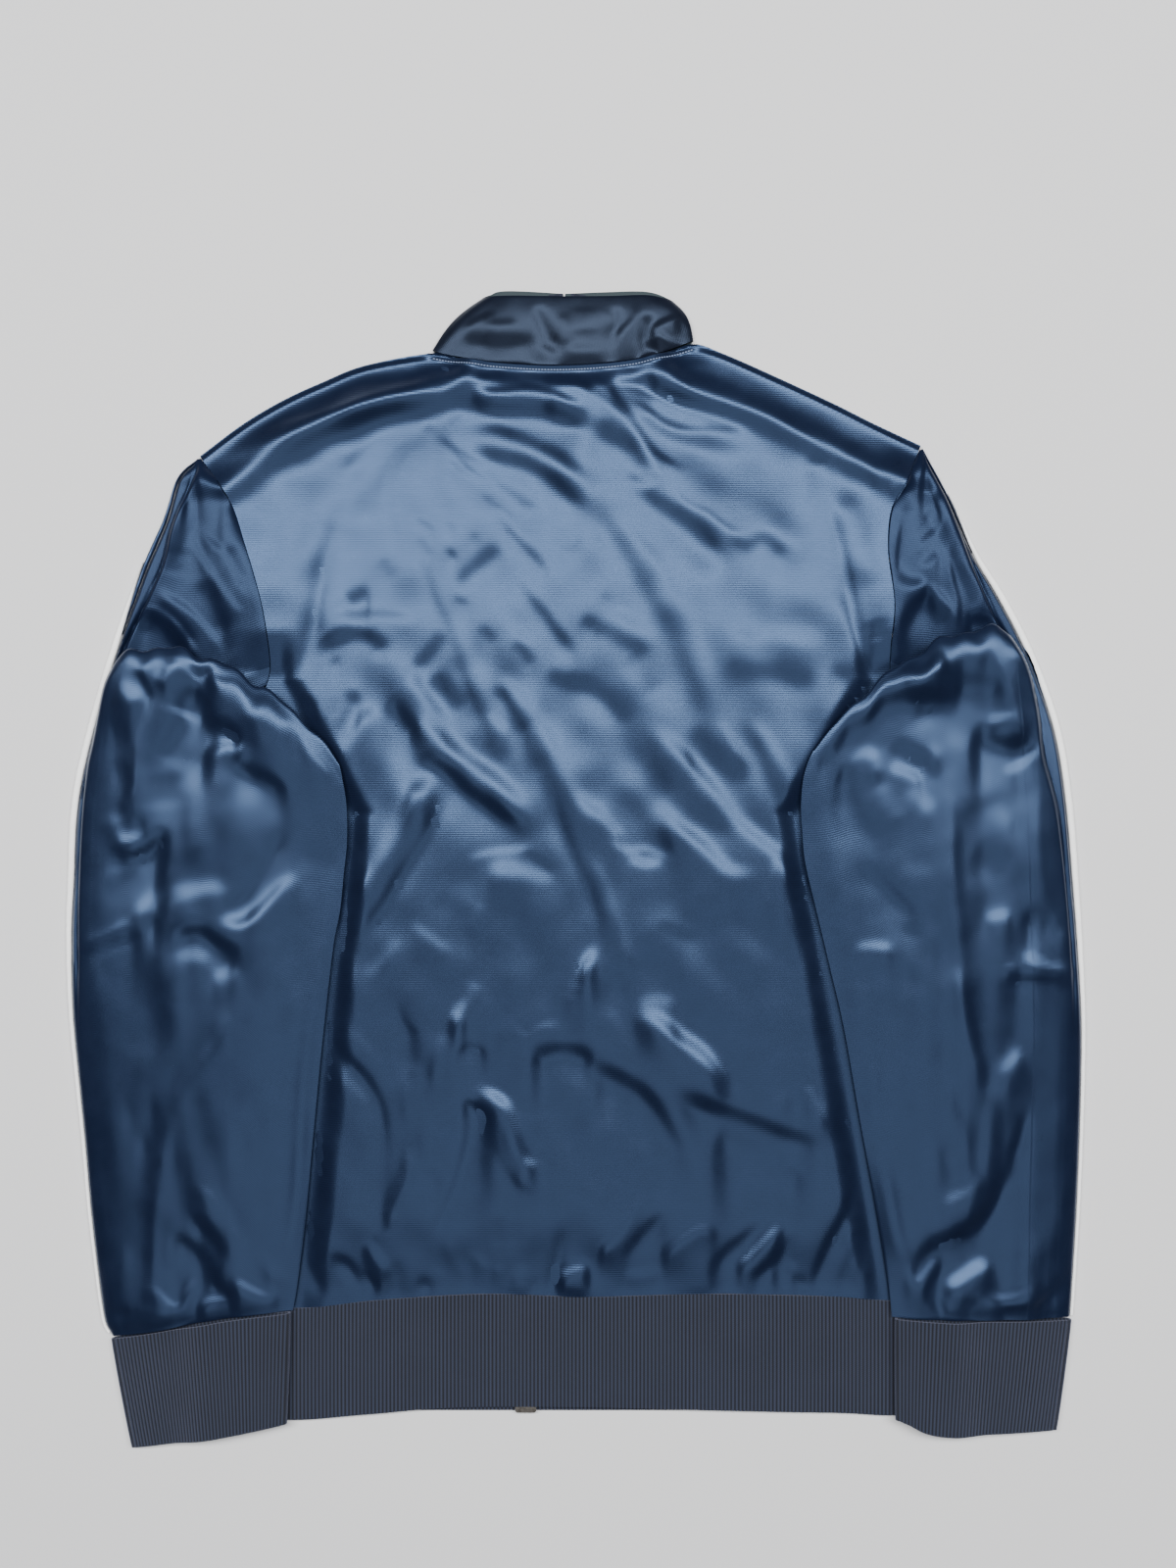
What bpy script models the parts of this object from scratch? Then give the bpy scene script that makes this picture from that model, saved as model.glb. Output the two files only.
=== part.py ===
"""A zip-up track jacket lying face down, its sleeves folded down over its sides.

Every size below is in millimetres. X runs across the jacket, Y from hem to collar and Z up from
the floor, and the origin is under the middle of the jacket's outline. The fronts lie on the
floor, the back lies on the fronts, and the lower sleeves lie on the back's sides.
"""
import math

import bmesh
import bpy
import numpy as np

MM = 0.001

# Walls and gaps
SATIN_WALL = 1.4          # back panel
SLEEVE_WALL = 1.1         # the sleeve halves that face up
LOWER_WALL = 1.2          # panels that lie on the floor
COLLAR_WALL = 1.2
RIB_WALL = 1.4            # hem band and cuffs, without their ribs
SEAM_GAP = 0.3            # between pieces that are sewn edge to edge
ARMHOLE_GAP = 0.7         # the same along X at the slanted armholes
LAYER_GAP = 1.0           # between a panel and the one lying on it

# Ribs of the knitted hem band and cuffs
RIB_PITCH = 2.5
RIB_RISE = 0.5
RIB_KEPT = 4              # the plain inside has every fourth column of the ribbed outside
HEM_RIBS_FROM = -206.0    # the ribs that show between the cuffs
HEM_RIBS_TO = 219.0
HEM_FOLD_INSET = 2.0      # from the band's side to the start of its fold
HEM_FRONT_POINTS = 8

# Heights of the layers above the floor
SIDE_LIE = 2.6            # underside of the back along the body's sides
HEM_LIE = 4.4             # underside of the back and band at the middle of the hem
BACK_LIE = 5.6            # underside of the back in the middle
NECK_LIE = 6.1            # underside of the back at the collar seam
EDGE_LIE = 1.5            # underside of the back along the shoulder and side seams
SLEEVE_LIE = SIDE_LIE + SATIN_WALL + LAYER_GAP   # underside of a sleeve where it crosses the body
SLEEVE_EDGE = 2.4         # middle of a sleeve's upper half at the piping
SLEEVE_INNER = SLEEVE_LIE + LOWER_WALL + 2.0 * SEAM_GAP + 0.5 * SLEEVE_WALL

# Zip
ZIP_TOP = (-8.0, 330.0)   # centre line at the collar seam
ZIP_FOOT = (-31.0, -290.0)
ZIP_HALF_GAP = 4.5        # from the centre line to the edge of each front
CHAIN_WIDTH = 5.0
CHAIN_WALL = 1.4
TAPE_WALL = 0.6
TAPE_REACH = 12.0
CHAIN_HIGH = 4.45         # middle of the chain at the slider
CHAIN_LOW = 3.0           # middle of the chain from the chest down
CHAIN_END_TOP = 368.0
CHAIN_END_FOOT = -348.6
SLIDER_Y = 363.0          # the pull tab's axis
SLIDER_AXIS_Z = 1.9
SLIDER_WIDTH = 8.6
SLIDER_PLATE = 0.7
POST_HALF = 2.2           # half width of the post between the slider's plates
BRIDGE_WIDTH = 1.4        # the loop under the slider that holds the pull tab
BRIDGE_LEG = (1.1, 1.8)   # its legs, from the tab's axis
BRIDGE_LOW = 0.6
BRIDGE_BAR = 0.6
TAB_LENGTH = 24.0
TAB_WIDTH = 7.0
TAB_WALL = 0.9
TAB_NECK = 5.2            # width at its upper end
TAB_NECK_LENGTH = 6.0
WINDOW = (2.4, 3.2)       # width, and reach below the axis

# Finish: colour, roughness, metallic
SATIN = ("navy_satin", (0.035, 0.060, 0.125), 0.36, 0.0)
UNDER_SATIN = ("navy_satin_front", (0.035, 0.060, 0.125), 0.36, 0.0)
COLLAR_SATIN = ("collar_satin", (0.022, 0.026, 0.048), 0.36, 0.0)
RIB_KNIT = ("rib_knit", (0.022, 0.024, 0.050), 0.85, 0.0)
PIPING = ("white_piping", (0.85, 0.85, 0.82), 0.6, 0.0)
TAPE = ("zip_tape", (0.020, 0.024, 0.045), 0.8, 0.0)
METAL = ("zip_metal", (0.30, 0.27, 0.23), 0.35, 1.0)
SHARP_ANGLE = 60.0        # degrees between faces above which an edge shades sharp
RIB_SHARP_ANGLE = 35.0

# Outlines, as (x, y), seen from above
SHOULDER_LEFT = [(-249, 273), (-221, 294), (-194, 310), (-168, 322), (-140, 333), (-96, 341)]
NECK = [(-96, 341), (-77, 337), (-53, 334), (-10, 332), (32, 335), (57, 340), (78, 347)]
SHOULDER_RIGHT = [(78, 347), (97, 341), (129, 327), (170, 308), (196, 295), (228, 280)]
BACK_LEFT = [(-249, 273), (-229, 245), (-218, 214), (-207, 176), (-202, 144), (-204, 123),
             (-218, 97), (-238, 77), (-259, 61), (-259, -9), (-254, -106), (-244, -204),
             (-229, -285)]
BACK_RIGHT = [(228, 280), (216, 254), (207, 236), (205, 209), (209, 176), (207, 145),
              (209, 118), (224, 92), (243, 76), (263, 63), (264, -9), (257, -106),
              (247, -204), (230, -283)]
HEM_TOP = [(-229, -285), (-185, -290), (-129, -284), (-58, -280), (8, -282), (88, -280),
           (170, -282), (205, -285), (230, -283)]
HEM_FOOT = [(-229, -360), (-187, -364), (-140, -360), (-78, -355), (8, -355), (88, -357),
            (170, -359), (207, -361), (230, -358)]
FRONT_HEM_TOP_Y = -287.0
FRONT_HEM_FOOT_Y = -358.5

FRONT_LEFT_TOP = [(-247, 271), (-221, 291), (-194, 307), (-168, 319), (-140, 330), (-99, 336),
                  (-84, 331), (-66, 323), (-40, 316), (-13, 314.5)]
FRONT_LEFT_SIDE = [(-247, 271), (-234, 245), (-226, 214), (-221, 180), (-222, 150), (-228, 120),
                   (-242, 90), (-257, 64), (-257, -9), (-252, -106), (-242, -204), (-227, -286)]
FRONT_RIGHT_TOP = [(226, 278), (196, 292), (170, 305), (129, 324), (97, 337), (80, 341.5),
                   (68, 336), (52, 326), (25, 317), (-3.5, 314.5)]
FRONT_RIGHT_SIDE = [(226, 278), (214, 250), (208, 215), (206, 180), (210, 150), (220, 120),
                    (240, 88), (261, 66), (262, -9), (255, -106), (245, -204), (228, -286)]

SLEEVE_OUTLINE = {
    "left": [(-250, 272), (-264, 259), (-274, 230), (-291, 193), (-309, 144), (-328, 77),
             (-335, 37), (-337, -9), (-338, -44), (-336, -98), (-328, -178), (-323, -232),
             (-315, -294), (-309.5, -309)],
    "right": [(229, 279), (235, 268), (250, 241), (266, 209), (285, 179), (304, 141),
              (320, 96), (328, 50), (333, -9), (337, -84), (337, -138), (334, -219),
              (329, -297)],
}

# The piping's half width down the sleeve: (y, half width)
PIPING_WIDTH = [(262, 0.9), (225, 1.5), (180, 2.4), (0, 2.3), (-100, 1.6), (-310, 1.2)]
PIPING_HALF_HEIGHT = 1.5
PIPING_GAP = 0.8

# Columns and rows of the larger panels
BACK_COLS = 40
BACK_ROWS = 35
FRONT_EDGE_POINTS = 17

# The half of each sleeve that faces up, as cross sections from the shoulder to the cuff. The
# sleeve folds over itself at the armpit, so its path goes down, back up and down again.
# outer_y: where the section meets the piping.  third, two_thirds: (x, y, height of the middle
# of the wall).  inner: the same at the armhole or the inner edge; None takes the back's height.
SLEEVE_UPPER = {
    "left": [
        # outer_y, third,            two_thirds,       inner
        (265, (-253, 265.2, 3.4), (-249.2, 265.8, 3.8), (-245, 266.5, None)),
        (252, (-255, 252.2, 6.0), (-245.5, 253, 7.0), (-235, 254, None)),
        (230, (-259, 230, 8.0), (-241, 232, 9.5), (-225.5, 234, None)),
        (205, (-263, 203, 8.5), (-239, 204, 11.0), (-216, 206, None)),
        (183, (-268, 178, 8.5), (-239, 177, 11.0), (-209, 180, None)),
        (162, (-272, 154, 7.0), (-237, 149, 9.0), (-203, 150, None)),
        (146, (-277, 132, 4.4), (-241, 118, 4.8), (-205.5, 122, None)),
        (135, (-281, 117, 3.6), (-246, 99, 4.2), (-218, 99, 5.0)),
        (130, (-282, 112, 6.2), (-242, 93, 7.4), (-207, 93, 7.2)),
        (124, (-281, 121, 9.8), (-232, 103, 11.4), (-190, 92, 9.0)),
        (118, (-279, 137, 13.2), (-220, 119, 15.4), (-171, 80, 10.2)),
        (112, (-278, 145, 17.0), (-214, 125, 19.5), (-157, 71, 11.2)),
        (105, (-278, 139, 20.5), (-214, 117, 22.5), (-153, 56, 10.0)),
        (92, (-280, 116, 19.0), (-218, 95, 20.5), (-151, 40, 8.6)),
        (66, (-283, 72, 15.0), (-226, 58, 17.0), (-151, 17, 7.6)),
        (37, (-286, 33, 12.5), (-229, 18, 15.0), (-153, -2, SLEEVE_INNER)),
        (-9, (-287, -12, 12.0), (-230, -20, 14.0), (-155.5, -27, SLEEVE_INNER)),
        (-44, (-287, -48, 12.0), (-231, -50, 14.0), (-160, -51, SLEEVE_INNER)),
        (-98, (-284, -100, 11.0), (-230, -103, 13.5), (-166.5, -107, SLEEVE_INNER)),
        (-178, (-279, -178, 10.5), (-229, -178, 12.5), (-173.5, -178, SLEEVE_INNER)),
        (-232, (-276, -232, 10.0), (-229, -232, 12.0), (-178.5, -232, SLEEVE_INNER)),
        (-290, (-272, -286, 10.0), (-229, -280, 11.0), (-183.5, -272, SLEEVE_INNER)),
        (-308, (-269, -302, 8.4), (-228, -294.5, 9.4), (-186.5, -290.2, SLEEVE_INNER)),
    ],
    "right": [
        # outer_y, third,           two_thirds,      inner
        (268, (229.6, 268.4, 3.4), (226.8, 269, 3.8), (223.5, 269.8, None)),
        (256, (232, 256, 6.0), (225, 256.6, 7.0), (217.5, 257.5, None)),
        (241, (237, 240, 8.0), (224, 240, 9.5), (211, 241, None)),
        (214, (246, 212, 8.5), (226, 212, 11.0), (205.8, 214, None)),
        (188, (256, 185, 8.5), (233, 184, 11.0), (209, 184, None)),
        (167, (266, 162, 7.0), (239, 159, 9.0), (209, 160, None)),
        (156, (272, 147, 4.4), (241, 128, 4.8), (209, 128, None)),
        (148, (276, 131, 3.6), (247, 109, 4.2), (222, 98, 5.0)),
        (142, (277, 126, 6.2), (244, 103, 7.4), (211, 95, 7.2)),
        (137, (277, 137, 9.8), (233, 114, 11.4), (192, 96, 9.0)),
        (130, (277, 150, 13.2), (226, 134, 15.4), (171, 87, 10.2)),
        (123, (278, 157, 17.0), (222, 141, 19.5), (157, 79, 11.2)),
        (116, (278, 151, 20.5), (221, 133, 22.5), (150, 63, 10.0)),
        (105, (280, 130, 19.0), (222, 110, 20.5), (148, 43, 8.6)),
        (79, (285, 85, 15.0), (226, 70, 17.0), (149, 24, 7.6)),
        (46, (288, 46, 12.5), (229, 34, 15.0), (151, 4, SLEEVE_INNER)),
        (-9, (290, -14, 12.0), (233, -24, 14.0), (159, -30, SLEEVE_INNER)),
        (-60, (292, -62, 12.0), (237, -64, 14.0), (167, -64, SLEEVE_INNER)),
        (-110, (293, -110, 11.0), (241, -109, 13.5), (176.5, -105, SLEEVE_INNER)),
        (-170, (292, -170, 10.5), (244, -169, 12.5), (187, -165, SLEEVE_INNER)),
        (-225, (291, -224, 10.0), (247, -222, 12.0), (197, -219, SLEEVE_INNER)),
        (-280, (290, -279, 10.0), (249, -276, 11.0), (205, -267, SLEEVE_INNER)),
        (-295.6, (289, -296, 8.4), (249, -296.2, 9.4), (208, -294.5, SLEEVE_INNER)),
    ],
}

# The half of each sleeve on the floor: where each section meets the piping, and its inner end.
# It follows the front's armhole (inner_x None), lifts at the armpit and then lies over the body's
# side, down to the cuff (inner_y None).
SLEEVE_LOWER = {
    "left": [
        # outer_y, inner_x, inner_y
        (266, None, 267), (250, None, 250), (230, None, 230), (205, None, 205),
        (178, None, 178), (150, None, 150), (122, None, 121), (100, None, 94),
        (84, None, 74), (58, -214, 63), (38, -170, 50), (16, -157, 26), (-8, -157, -4),
        (-46, -163, -51), (-80, -167.5, -86), (-118, -171, -122), (-160, -175, -160),
        (-205, -179, -205), (-250, -183, -245), (-290, -187, -272), (-308.6, -189, None),
    ],
    "right": [
        # outer_y, inner_x, inner_y
        (272, None, 274), (254, None, 254), (232, None, 232), (208, None, 208),
        (180, None, 180), (150, None, 150), (122, None, 121), (100, None, 92),
        (84, None, 76), (58, 214, 64), (38, 168, 50), (16, 154, 26), (-8, 157, -8),
        (-46, 167, -50), (-80, 174, -82), (-118, 181, -118), (-160, 189, -158),
        (-200, 195.5, -196), (-242, 202, -236), (-280, 208, -270), (-296.4, 210.6, None),
    ],
}

# Folds of the back: a ridge (rise above 0) or a trough along a path of (x, y), half width across,
# and how much steeper its left side is than its right as one walks the path (0 = even).
BACK_FOLDS = [
    # path,                                                               rise, width, lean
    ([(-64, 326), (-108, 317), (-150, 305), (-190, 290), (-222, 270)], 6.5, 13, 0.0),
    ([(-76, 302), (-122, 286), (-162, 270), (-192, 252), (-214, 236)], -3.0, 12, 0.0),
    ([(76, 328), (120, 312), (164, 292), (206, 266)], 5.0, 10, 0.0),
    ([(60, 316), (98, 302), (136, 286), (168, 268), (190, 248)], -3.0, 9, 0.0),
    ([(62, 300), (92, 290), (122, 276), (146, 256), (160, 232)], 5.0, 9, 0.0),
    ([(30, 318), (48, 300), (70, 280), (96, 262)], 4.5, 9, 0.0),
    ([(4, 322), (22, 298), (40, 274), (62, 252)], 4.5, 9, 0.0),
    ([(62, 247), (88, 228), (114, 216)], 4.0, 9, 0.0),
    ([(-96, 318), (-60, 312), (-30, 318), (20, 312)], 3.0, 9, 0.0),
    ([(-150, 258), (-176, 222), (-186, 180), (-194, 140)], 4.0, 8, 0.4),
    ([(-137, 268), (-162, 225), (-173, 171), (-182, 144), (-190, 112)], -3.0, 7, 0.0),
    ([(184, 262), (190, 220), (196, 180), (202, 140)], 4.0, 8, -0.4),
    ([(164, 258), (170, 225), (177, 185), (188, 150), (196, 118)], -3.0, 7, 0.0),
    ([(-110, 250), (-102, 220), (-78, 171), (-64, 128), (-44, 86)], 6.0, 10, 0.3),
    ([(-60, 165), (-51, 140), (-24, 91), (8, 37), (24, -20), (20, -60)], 7.0, 13, 0.3),
    ([(8, 273), (34, 230), (62, 182), (78, 144), (97, 96), (118, 62), (148, 9)], 7.5, 12, 0.3),
    ([(-20, 230), (10, 180), (40, 130), (66, 84), (100, 30)], 5.0, 12, 0.2),
    ([(-168, 160), (-140, 150), (-112, 152), (-96, 165)], 4.0, 9, 0.0),
    ([(-150, 128), (-120, 112), (-91, 74), (-60, 52), (-24, 34)], 6.0, 12, 0.4),
    ([(-160, 62), (-128, 50), (-104, 66), (-90, 92)], 3.5, 9, 0.0),
    ([(-150, -10), (-130, 25), (-112, 60)], 3.5, 10, 0.0),
    ([(0, -20), (40, -10), (90, 2), (140, -4)], 4.0, 11, 0.0),
    ([(-30, 10), (-6, -20), (10, -62), (8, -100)], 5.0, 10, 0.3),
    ([(-92, -40), (-70, -30), (-44, -50), (-40, -96)], 3.0, 9, 0.0),
    ([(-72, -142), (-48, -152), (-36, -190)], 4.5, 9, 0.0),
    ([(-90, -120), (-104, -170), (-124, -238)], 4.0, 9, 0.0),
    ([(-166, -111), (-140, -138), (-124, -172)], -2.0, 8, 0.0),
    ([(20, -84), (64, -108), (110, -142), (150, -166)], 5.5, 12, -0.4),
    ([(30, -130), (70, -162), (120, -180), (166, -182)], -2.5, 12, 0.0),
    ([(150, -222), (122, -250), (97, -274)], 4.0, 8, 0.0),
    ([(182, -200), (166, -238), (152, -274)], -1.6, 7, 0.0),
    ([(-150, -200), (-152, -240), (-140, -276)], 3.0, 8, 0.0),
]

# Gathers above the hem band: x of each, its height, and how far up it runs
GATHERS = [
    # x, rise, length
    (-150, 2.6, 24), (-128, 3.4, 30), (-104, 3.0, 26), (-76, 3.4, 34), (-48, 2.6, 22),
    (-22, 2.6, 26), (6, 3.2, 30), (34, 2.6, 22), (62, 3.4, 32), (92, 2.6, 26),
    (118, 3.6, 34), (146, 2.8, 26), (170, 2.4, 22),
]
GATHER_WIDTH = 6.5

# Folds of the sleeves below the armpit fold, as for the back
SLEEVE_FOLDS = {
    "left": [
        ([(-262, 118), (-268, 80), (-262, 30)], 4.0, 10, 0.0),
        ([(-196, 96), (-188, 50), (-178, 10)], 3.0, 10, 0.0),
        ([(-224, 60), (-226, 10), (-240, -50)], 3.5, 13, 0.0),
        ([(-332, -48), (-302, -40), (-278, -34), (-250, -20)], 3.0, 7, 0.0),
        ([(-330, -60), (-300, -66), (-270, -58)], 2.4, 7, 0.0),
        ([(-262, -80), (-258, -150), (-262, -220)], 3.0, 13, 0.0),
        ([(-206, -70), (-204, -150), (-206, -230)], 2.4, 12, 0.0),
        ([(-286, -272), (-266, -290), (-246, -270)], 2.8, 8, 0.0),
        ([(-218, -262), (-206, -276), (-196, -288)], 2.4, 8, 0.0),
    ],
    "right": [
        ([(268, 120), (262, 78), (284, 30)], 4.0, 10, 0.0),
        ([(188, 62), (200, 40), (222, 62), (250, 76)], 3.5, 9, 0.0),
        ([(232, 30), (248, -40), (254, -130)], 3.5, 13, 0.0),
        ([(186, 20), (196, -60), (214, -150)], 2.6, 11, 0.0),
        ([(280, -66), (306, -62), (334, -66)], 3.0, 7, 0.0),
        ([(300, -130), (270, -190), (236, -236)], 3.0, 12, 0.0),
        ([(218, -240), (234, -262), (230, -290)], 2.8, 8, 0.0),
        ([(262, -250), (286, -268), (312, -270)], 2.2, 9, 0.0),
    ],
}

# Stations of the collar strip, from the zip on one side round the neck to the zip on the other.
# (x, y) of its foot and its top edge, and the height of the middle of its wall at foot and top.
COLLAR = [
    # foot x, foot y, top x, top y, foot height, top height
    (-12.8, 316.6, -12.8, 381.0, 0.6, 0.6),
    (-40.0, 318.6, -34.0, 382.5, 0.6, 0.6),
    (-68.0, 326.5, -50.0, 382.5, 0.6, 0.6),
    (-88.0, 337.0, -57.0, 380.0, 0.9, 0.9),
    (-94.5, 342.6, -62.0, 376.5, 2.9, 3.4),
    (-90.0, 340.6, -57.0, 377.0, 5.4, 6.4),
    (-76.0, 337.6, -48.0, 377.4, 6.6, 7.6),
    (-53.0, 334.6, -34.0, 377.2, 6.9, 8.4),
    (-10.0, 332.6, -6.0, 376.8, 6.9, 8.6),
    (32.0, 335.6, 22.0, 377.0, 6.9, 8.4),
    (56.0, 341.0, 46.0, 377.8, 6.6, 7.6),
    (71.5, 346.5, 59.0, 375.6, 5.4, 6.4),
    (77.0, 348.9, 64.5, 374.0, 2.9, 3.4),
    (70.0, 342.0, 57.0, 379.5, 0.9, 0.9),
    (54.0, 330.8, 44.0, 382.5, 0.6, 0.6),
    (24.0, 319.6, 18.0, 382.0, 0.6, 0.6),
    (-3.2, 316.6, -3.2, 381.0, 0.6, 0.6),
]
COLLAR_FOLDS = (-94.5, 77.0)   # x of the foot at the two folds
COLLAR_SWELL = 5.0        # how far the folds swell out between foot and top edge
COLLAR_RISE = 1.2         # how far the back half bows up between them
COLLAR_ROWS = 5

# Corners and edges of the cuffs, and their layers' heights at the middle of the wall
CUFFS = {
    "left": {
        "top": [(-308, -310.5), (-274, -304.5), (-231, -295.6), (-187, -291.4)],
        "foot": [(-294, -382), (-190, -364)],
        "rest_to": -268.0, "lifted_from": -242.0,
    },
    "right": {
        "top": [(328, -297.6), (290, -297.6), (250, -297.0), (209, -295.4)],
        "foot": [(318, -370), (242, -371), (218, -364), (210, -360.5)],
        "rest_to": 272.0, "lifted_from": 246.0,
    },
}
CUFF_FOLD_RADIUS = 1.4
CUFF_PUFF = 3.2           # half of how far the cuff stands open in its middle
CUFF_CLEAR = 0.8          # extra height where a cuff crosses the hem band's side
CUFF_TURN_SHARE = 0.03    # of the cuff's width, taken by each of its two folds
CUFF_FLOOR_POINTS = 13


# Curves and blends ------------------------------------------------------------------------------

def smoothstep(low, high, value):
    """0 below low, 1 above high, smooth between."""
    share = np.clip((value - low) / (high - low), 0.0, 1.0)
    return share * share * (3.0 - 2.0 * share)


def soft_floor(height, floor, blend=1.0):
    """The height where it is well above the floor, and never below the floor."""
    over = height - floor
    return floor + 0.5 * (over + np.sqrt(over * over + blend * blend))


def catmull_rom(rows, count_between):
    """Points of a smooth curve through the rows (any number of columns)."""
    rows = np.asarray(rows, float)
    padded = np.vstack([2 * rows[0] - rows[1], rows, 2 * rows[-1] - rows[-2]])
    points = []
    for index in range(len(rows) - 1):
        before, start, end, after = padded[index:index + 4]
        for step in range(count_between):
            t = step / count_between
            points.append(0.5 * (2 * start + (end - before) * t
                                 + (2 * before - 5 * start + 4 * end - after) * t * t
                                 + (3 * start - before - 3 * end + after) * t ** 3))
    points.append(rows[-1])
    return np.array(points)


def along(points, shares):
    """Points at the given shares of a curve's length."""
    points = np.asarray(points, float)
    steps = np.linalg.norm(np.diff(points[:, :2], axis=0), axis=1)
    length = np.concatenate([[0.0], np.cumsum(steps)])
    shares = np.asarray(shares) * length[-1]
    return np.stack([np.interp(shares, length, points[:, k]) for k in range(points.shape[1])], 1)


def smooth_edge(points, shares):
    """Points at the given shares along the smooth curve through an outline."""
    return along(catmull_rom(points, 8), shares)


def coons(top, bottom, left, right):
    """A grid of points that fills four edges. top and bottom run left to right, sides run down."""
    rows, cols = len(left), len(top)
    v = np.linspace(0, 1, rows)[:, None, None]
    u = np.linspace(0, 1, cols)[None, :, None]
    ruled_down = (1 - v) * top[None] + v * bottom[None]
    ruled_across = (1 - u) * left[:, None] + u * right[:, None]
    corners = ((1 - u) * (1 - v) * top[0] + u * (1 - v) * top[-1]
               + (1 - u) * v * bottom[0] + u * v * bottom[-1])
    return ruled_down + ruled_across - corners


def nearest_on_path(x, y, path):
    """Distance from each point to a path, the share of its length there, and the side (+1 left)."""
    flat = np.stack([np.ravel(x), np.ravel(y)], 1)
    start, end = path[:-1], path[1:]
    step = end - start
    length = np.linalg.norm(step, axis=1)
    travelled = np.concatenate([[0.0], np.cumsum(length)])
    offset = flat[:, None] - start[None]
    t = np.clip((offset * step).sum(2) / (length ** 2), 0.0, 1.0)
    gap = offset - t[:, :, None] * step
    distance = np.linalg.norm(gap, axis=2)
    best = distance.argmin(1)
    rows = np.arange(len(flat))
    share = (travelled[best] + t[rows, best] * length[best]) / travelled[-1]
    side = np.sign(step[best, 0] * gap[rows, best, 1] - step[best, 1] * gap[rows, best, 0])
    shape = np.shape(x)
    return distance[rows, best].reshape(shape), share.reshape(shape), side.reshape(shape)


def fold_height(x, y, path, rise, width, lean):
    """What one fold adds: a soft ridge or trough along its path that fades out at its ends."""
    curve = catmull_rom(path, 5)
    distance, share, side = nearest_on_path(x, y, curve)
    across = width * (1.0 - lean * side)
    fade = smoothstep(0.0, 0.22, share) * smoothstep(0.0, 0.22, 1.0 - share)
    return rise * fade * np.exp(-(distance / across) ** 2)


def folds_height(x, y, folds):
    """The sum of several folds."""
    total = np.zeros(np.shape(x))
    for path, rise, width, lean in folds:
        total = total + fold_height(x, y, path, rise, width, lean)
    return total


# Heights of the layers --------------------------------------------------------------------------

def zip_x(y):
    """The zip's centre line."""
    share = (ZIP_TOP[1] - y) / (ZIP_TOP[1] - ZIP_FOOT[1])
    return ZIP_TOP[0] + share * (ZIP_FOOT[0] - ZIP_TOP[0])


def chain_height(y):
    """Middle of the zip's chain above the floor."""
    return CHAIN_LOW + (CHAIN_HIGH - CHAIN_LOW) * smoothstep(250.0, 325.0, y)


def sleeve_cover(x, y):
    """1 where the back shows, 0 where a sleeve lies on it."""
    left_edge = np.interp(y, [-290, 37, 125], [-184, -150, -196])
    right_edge = np.interp(y, [-290, 37, 125], [205, 147, 198])
    from_left = smoothstep(left_edge + 4, left_edge + 26, x)
    from_right = smoothstep(4 - right_edge, 26 - right_edge, -x)
    return from_left * from_right + (1.0 - from_left * from_right) * smoothstep(126, 160, y)


def back_under(x, y):
    """Height of the back panel's underside."""
    shown = sleeve_cover(x, y)
    middle = BACK_LIE + (NECK_LIE - BACK_LIE) * smoothstep(290, 330, y)
    middle = middle + (HEM_LIE - BACK_LIE) * smoothstep(-225, -285, y)
    folds = folds_height(x, y, BACK_FOLDS)
    for gather_x, rise, length in GATHERS:
        up = smoothstep(length, 0.0, y + 282.0)
        folds = folds + rise * up * np.exp(-((x - gather_x) / GATHER_WIDTH) ** 2)
    hem_fade = smoothstep(-284, -270, y)
    height = SIDE_LIE + shown * (middle - SIDE_LIE + folds * (0.25 + 0.75 * hem_fade))
    near_zip = 1.0 - smoothstep(8.0, 20.0, np.abs(x - zip_x(y)))
    floor = SIDE_LIE + (chain_height(y) + 0.5 * CHAIN_WALL + 0.4 - SIDE_LIE) * near_zip
    height = np.where(shown > 0.001, soft_floor(height, floor - 0.4 * shown, 0.8 * shown), SIDE_LIE)
    shoulders = np.minimum(
        nearest_on_path(x, y, catmull_rom(SHOULDER_LEFT, 4))[0],
        nearest_on_path(x, y, catmull_rom(SHOULDER_RIGHT, 4))[0])
    roll = 1.0 - np.exp(-(shoulders / 7.0) ** 1.5)
    height = EDGE_LIE + (height - EDGE_LIE) * roll
    side_seams = np.minimum(
        nearest_on_path(x, y, np.array(BACK_LEFT[8:], float))[0],
        nearest_on_path(x, y, np.array(BACK_RIGHT[9:], float))[0])
    return EDGE_LIE + (height - EDGE_LIE) * smoothstep(-2.0, 9.0, side_seams)


def body_side(y, side):
    """x of the body's side seam."""
    if side == "left":
        return np.interp(y, [-285, -204, -106, -9, 61], [-229, -244, -254, -259, -259])
    return np.interp(y, [-283, -204, -106, -9, 63], [230, 247, 257, 264, 263])


def sleeve_under(x, y, side):
    """Underside of a sleeve's lower half: on the floor, then over the body's side."""
    outward = -1.0 if side == "left" else 1.0
    inside = (body_side(y, side) - x) * outward
    lifted = smoothstep(-24.0, -9.0, inside) * (1.0 - smoothstep(74.0, 100.0, y))
    return SLEEVE_LIE * lifted


# Building solids --------------------------------------------------------------------------------

def material(finish):
    """The finish's material, made once."""
    name, colour, roughness, metallic = finish
    found = bpy.data.materials.get(name)
    if found:
        return found
    made = bpy.data.materials.new(name)
    made.use_nodes = True
    shader = made.node_tree.nodes["Principled BSDF"]
    shader.inputs["Base Color"].default_value = (*colour, 1.0)
    shader.inputs["Roughness"].default_value = roughness
    shader.inputs["Metallic"].default_value = metallic
    return made


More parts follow.
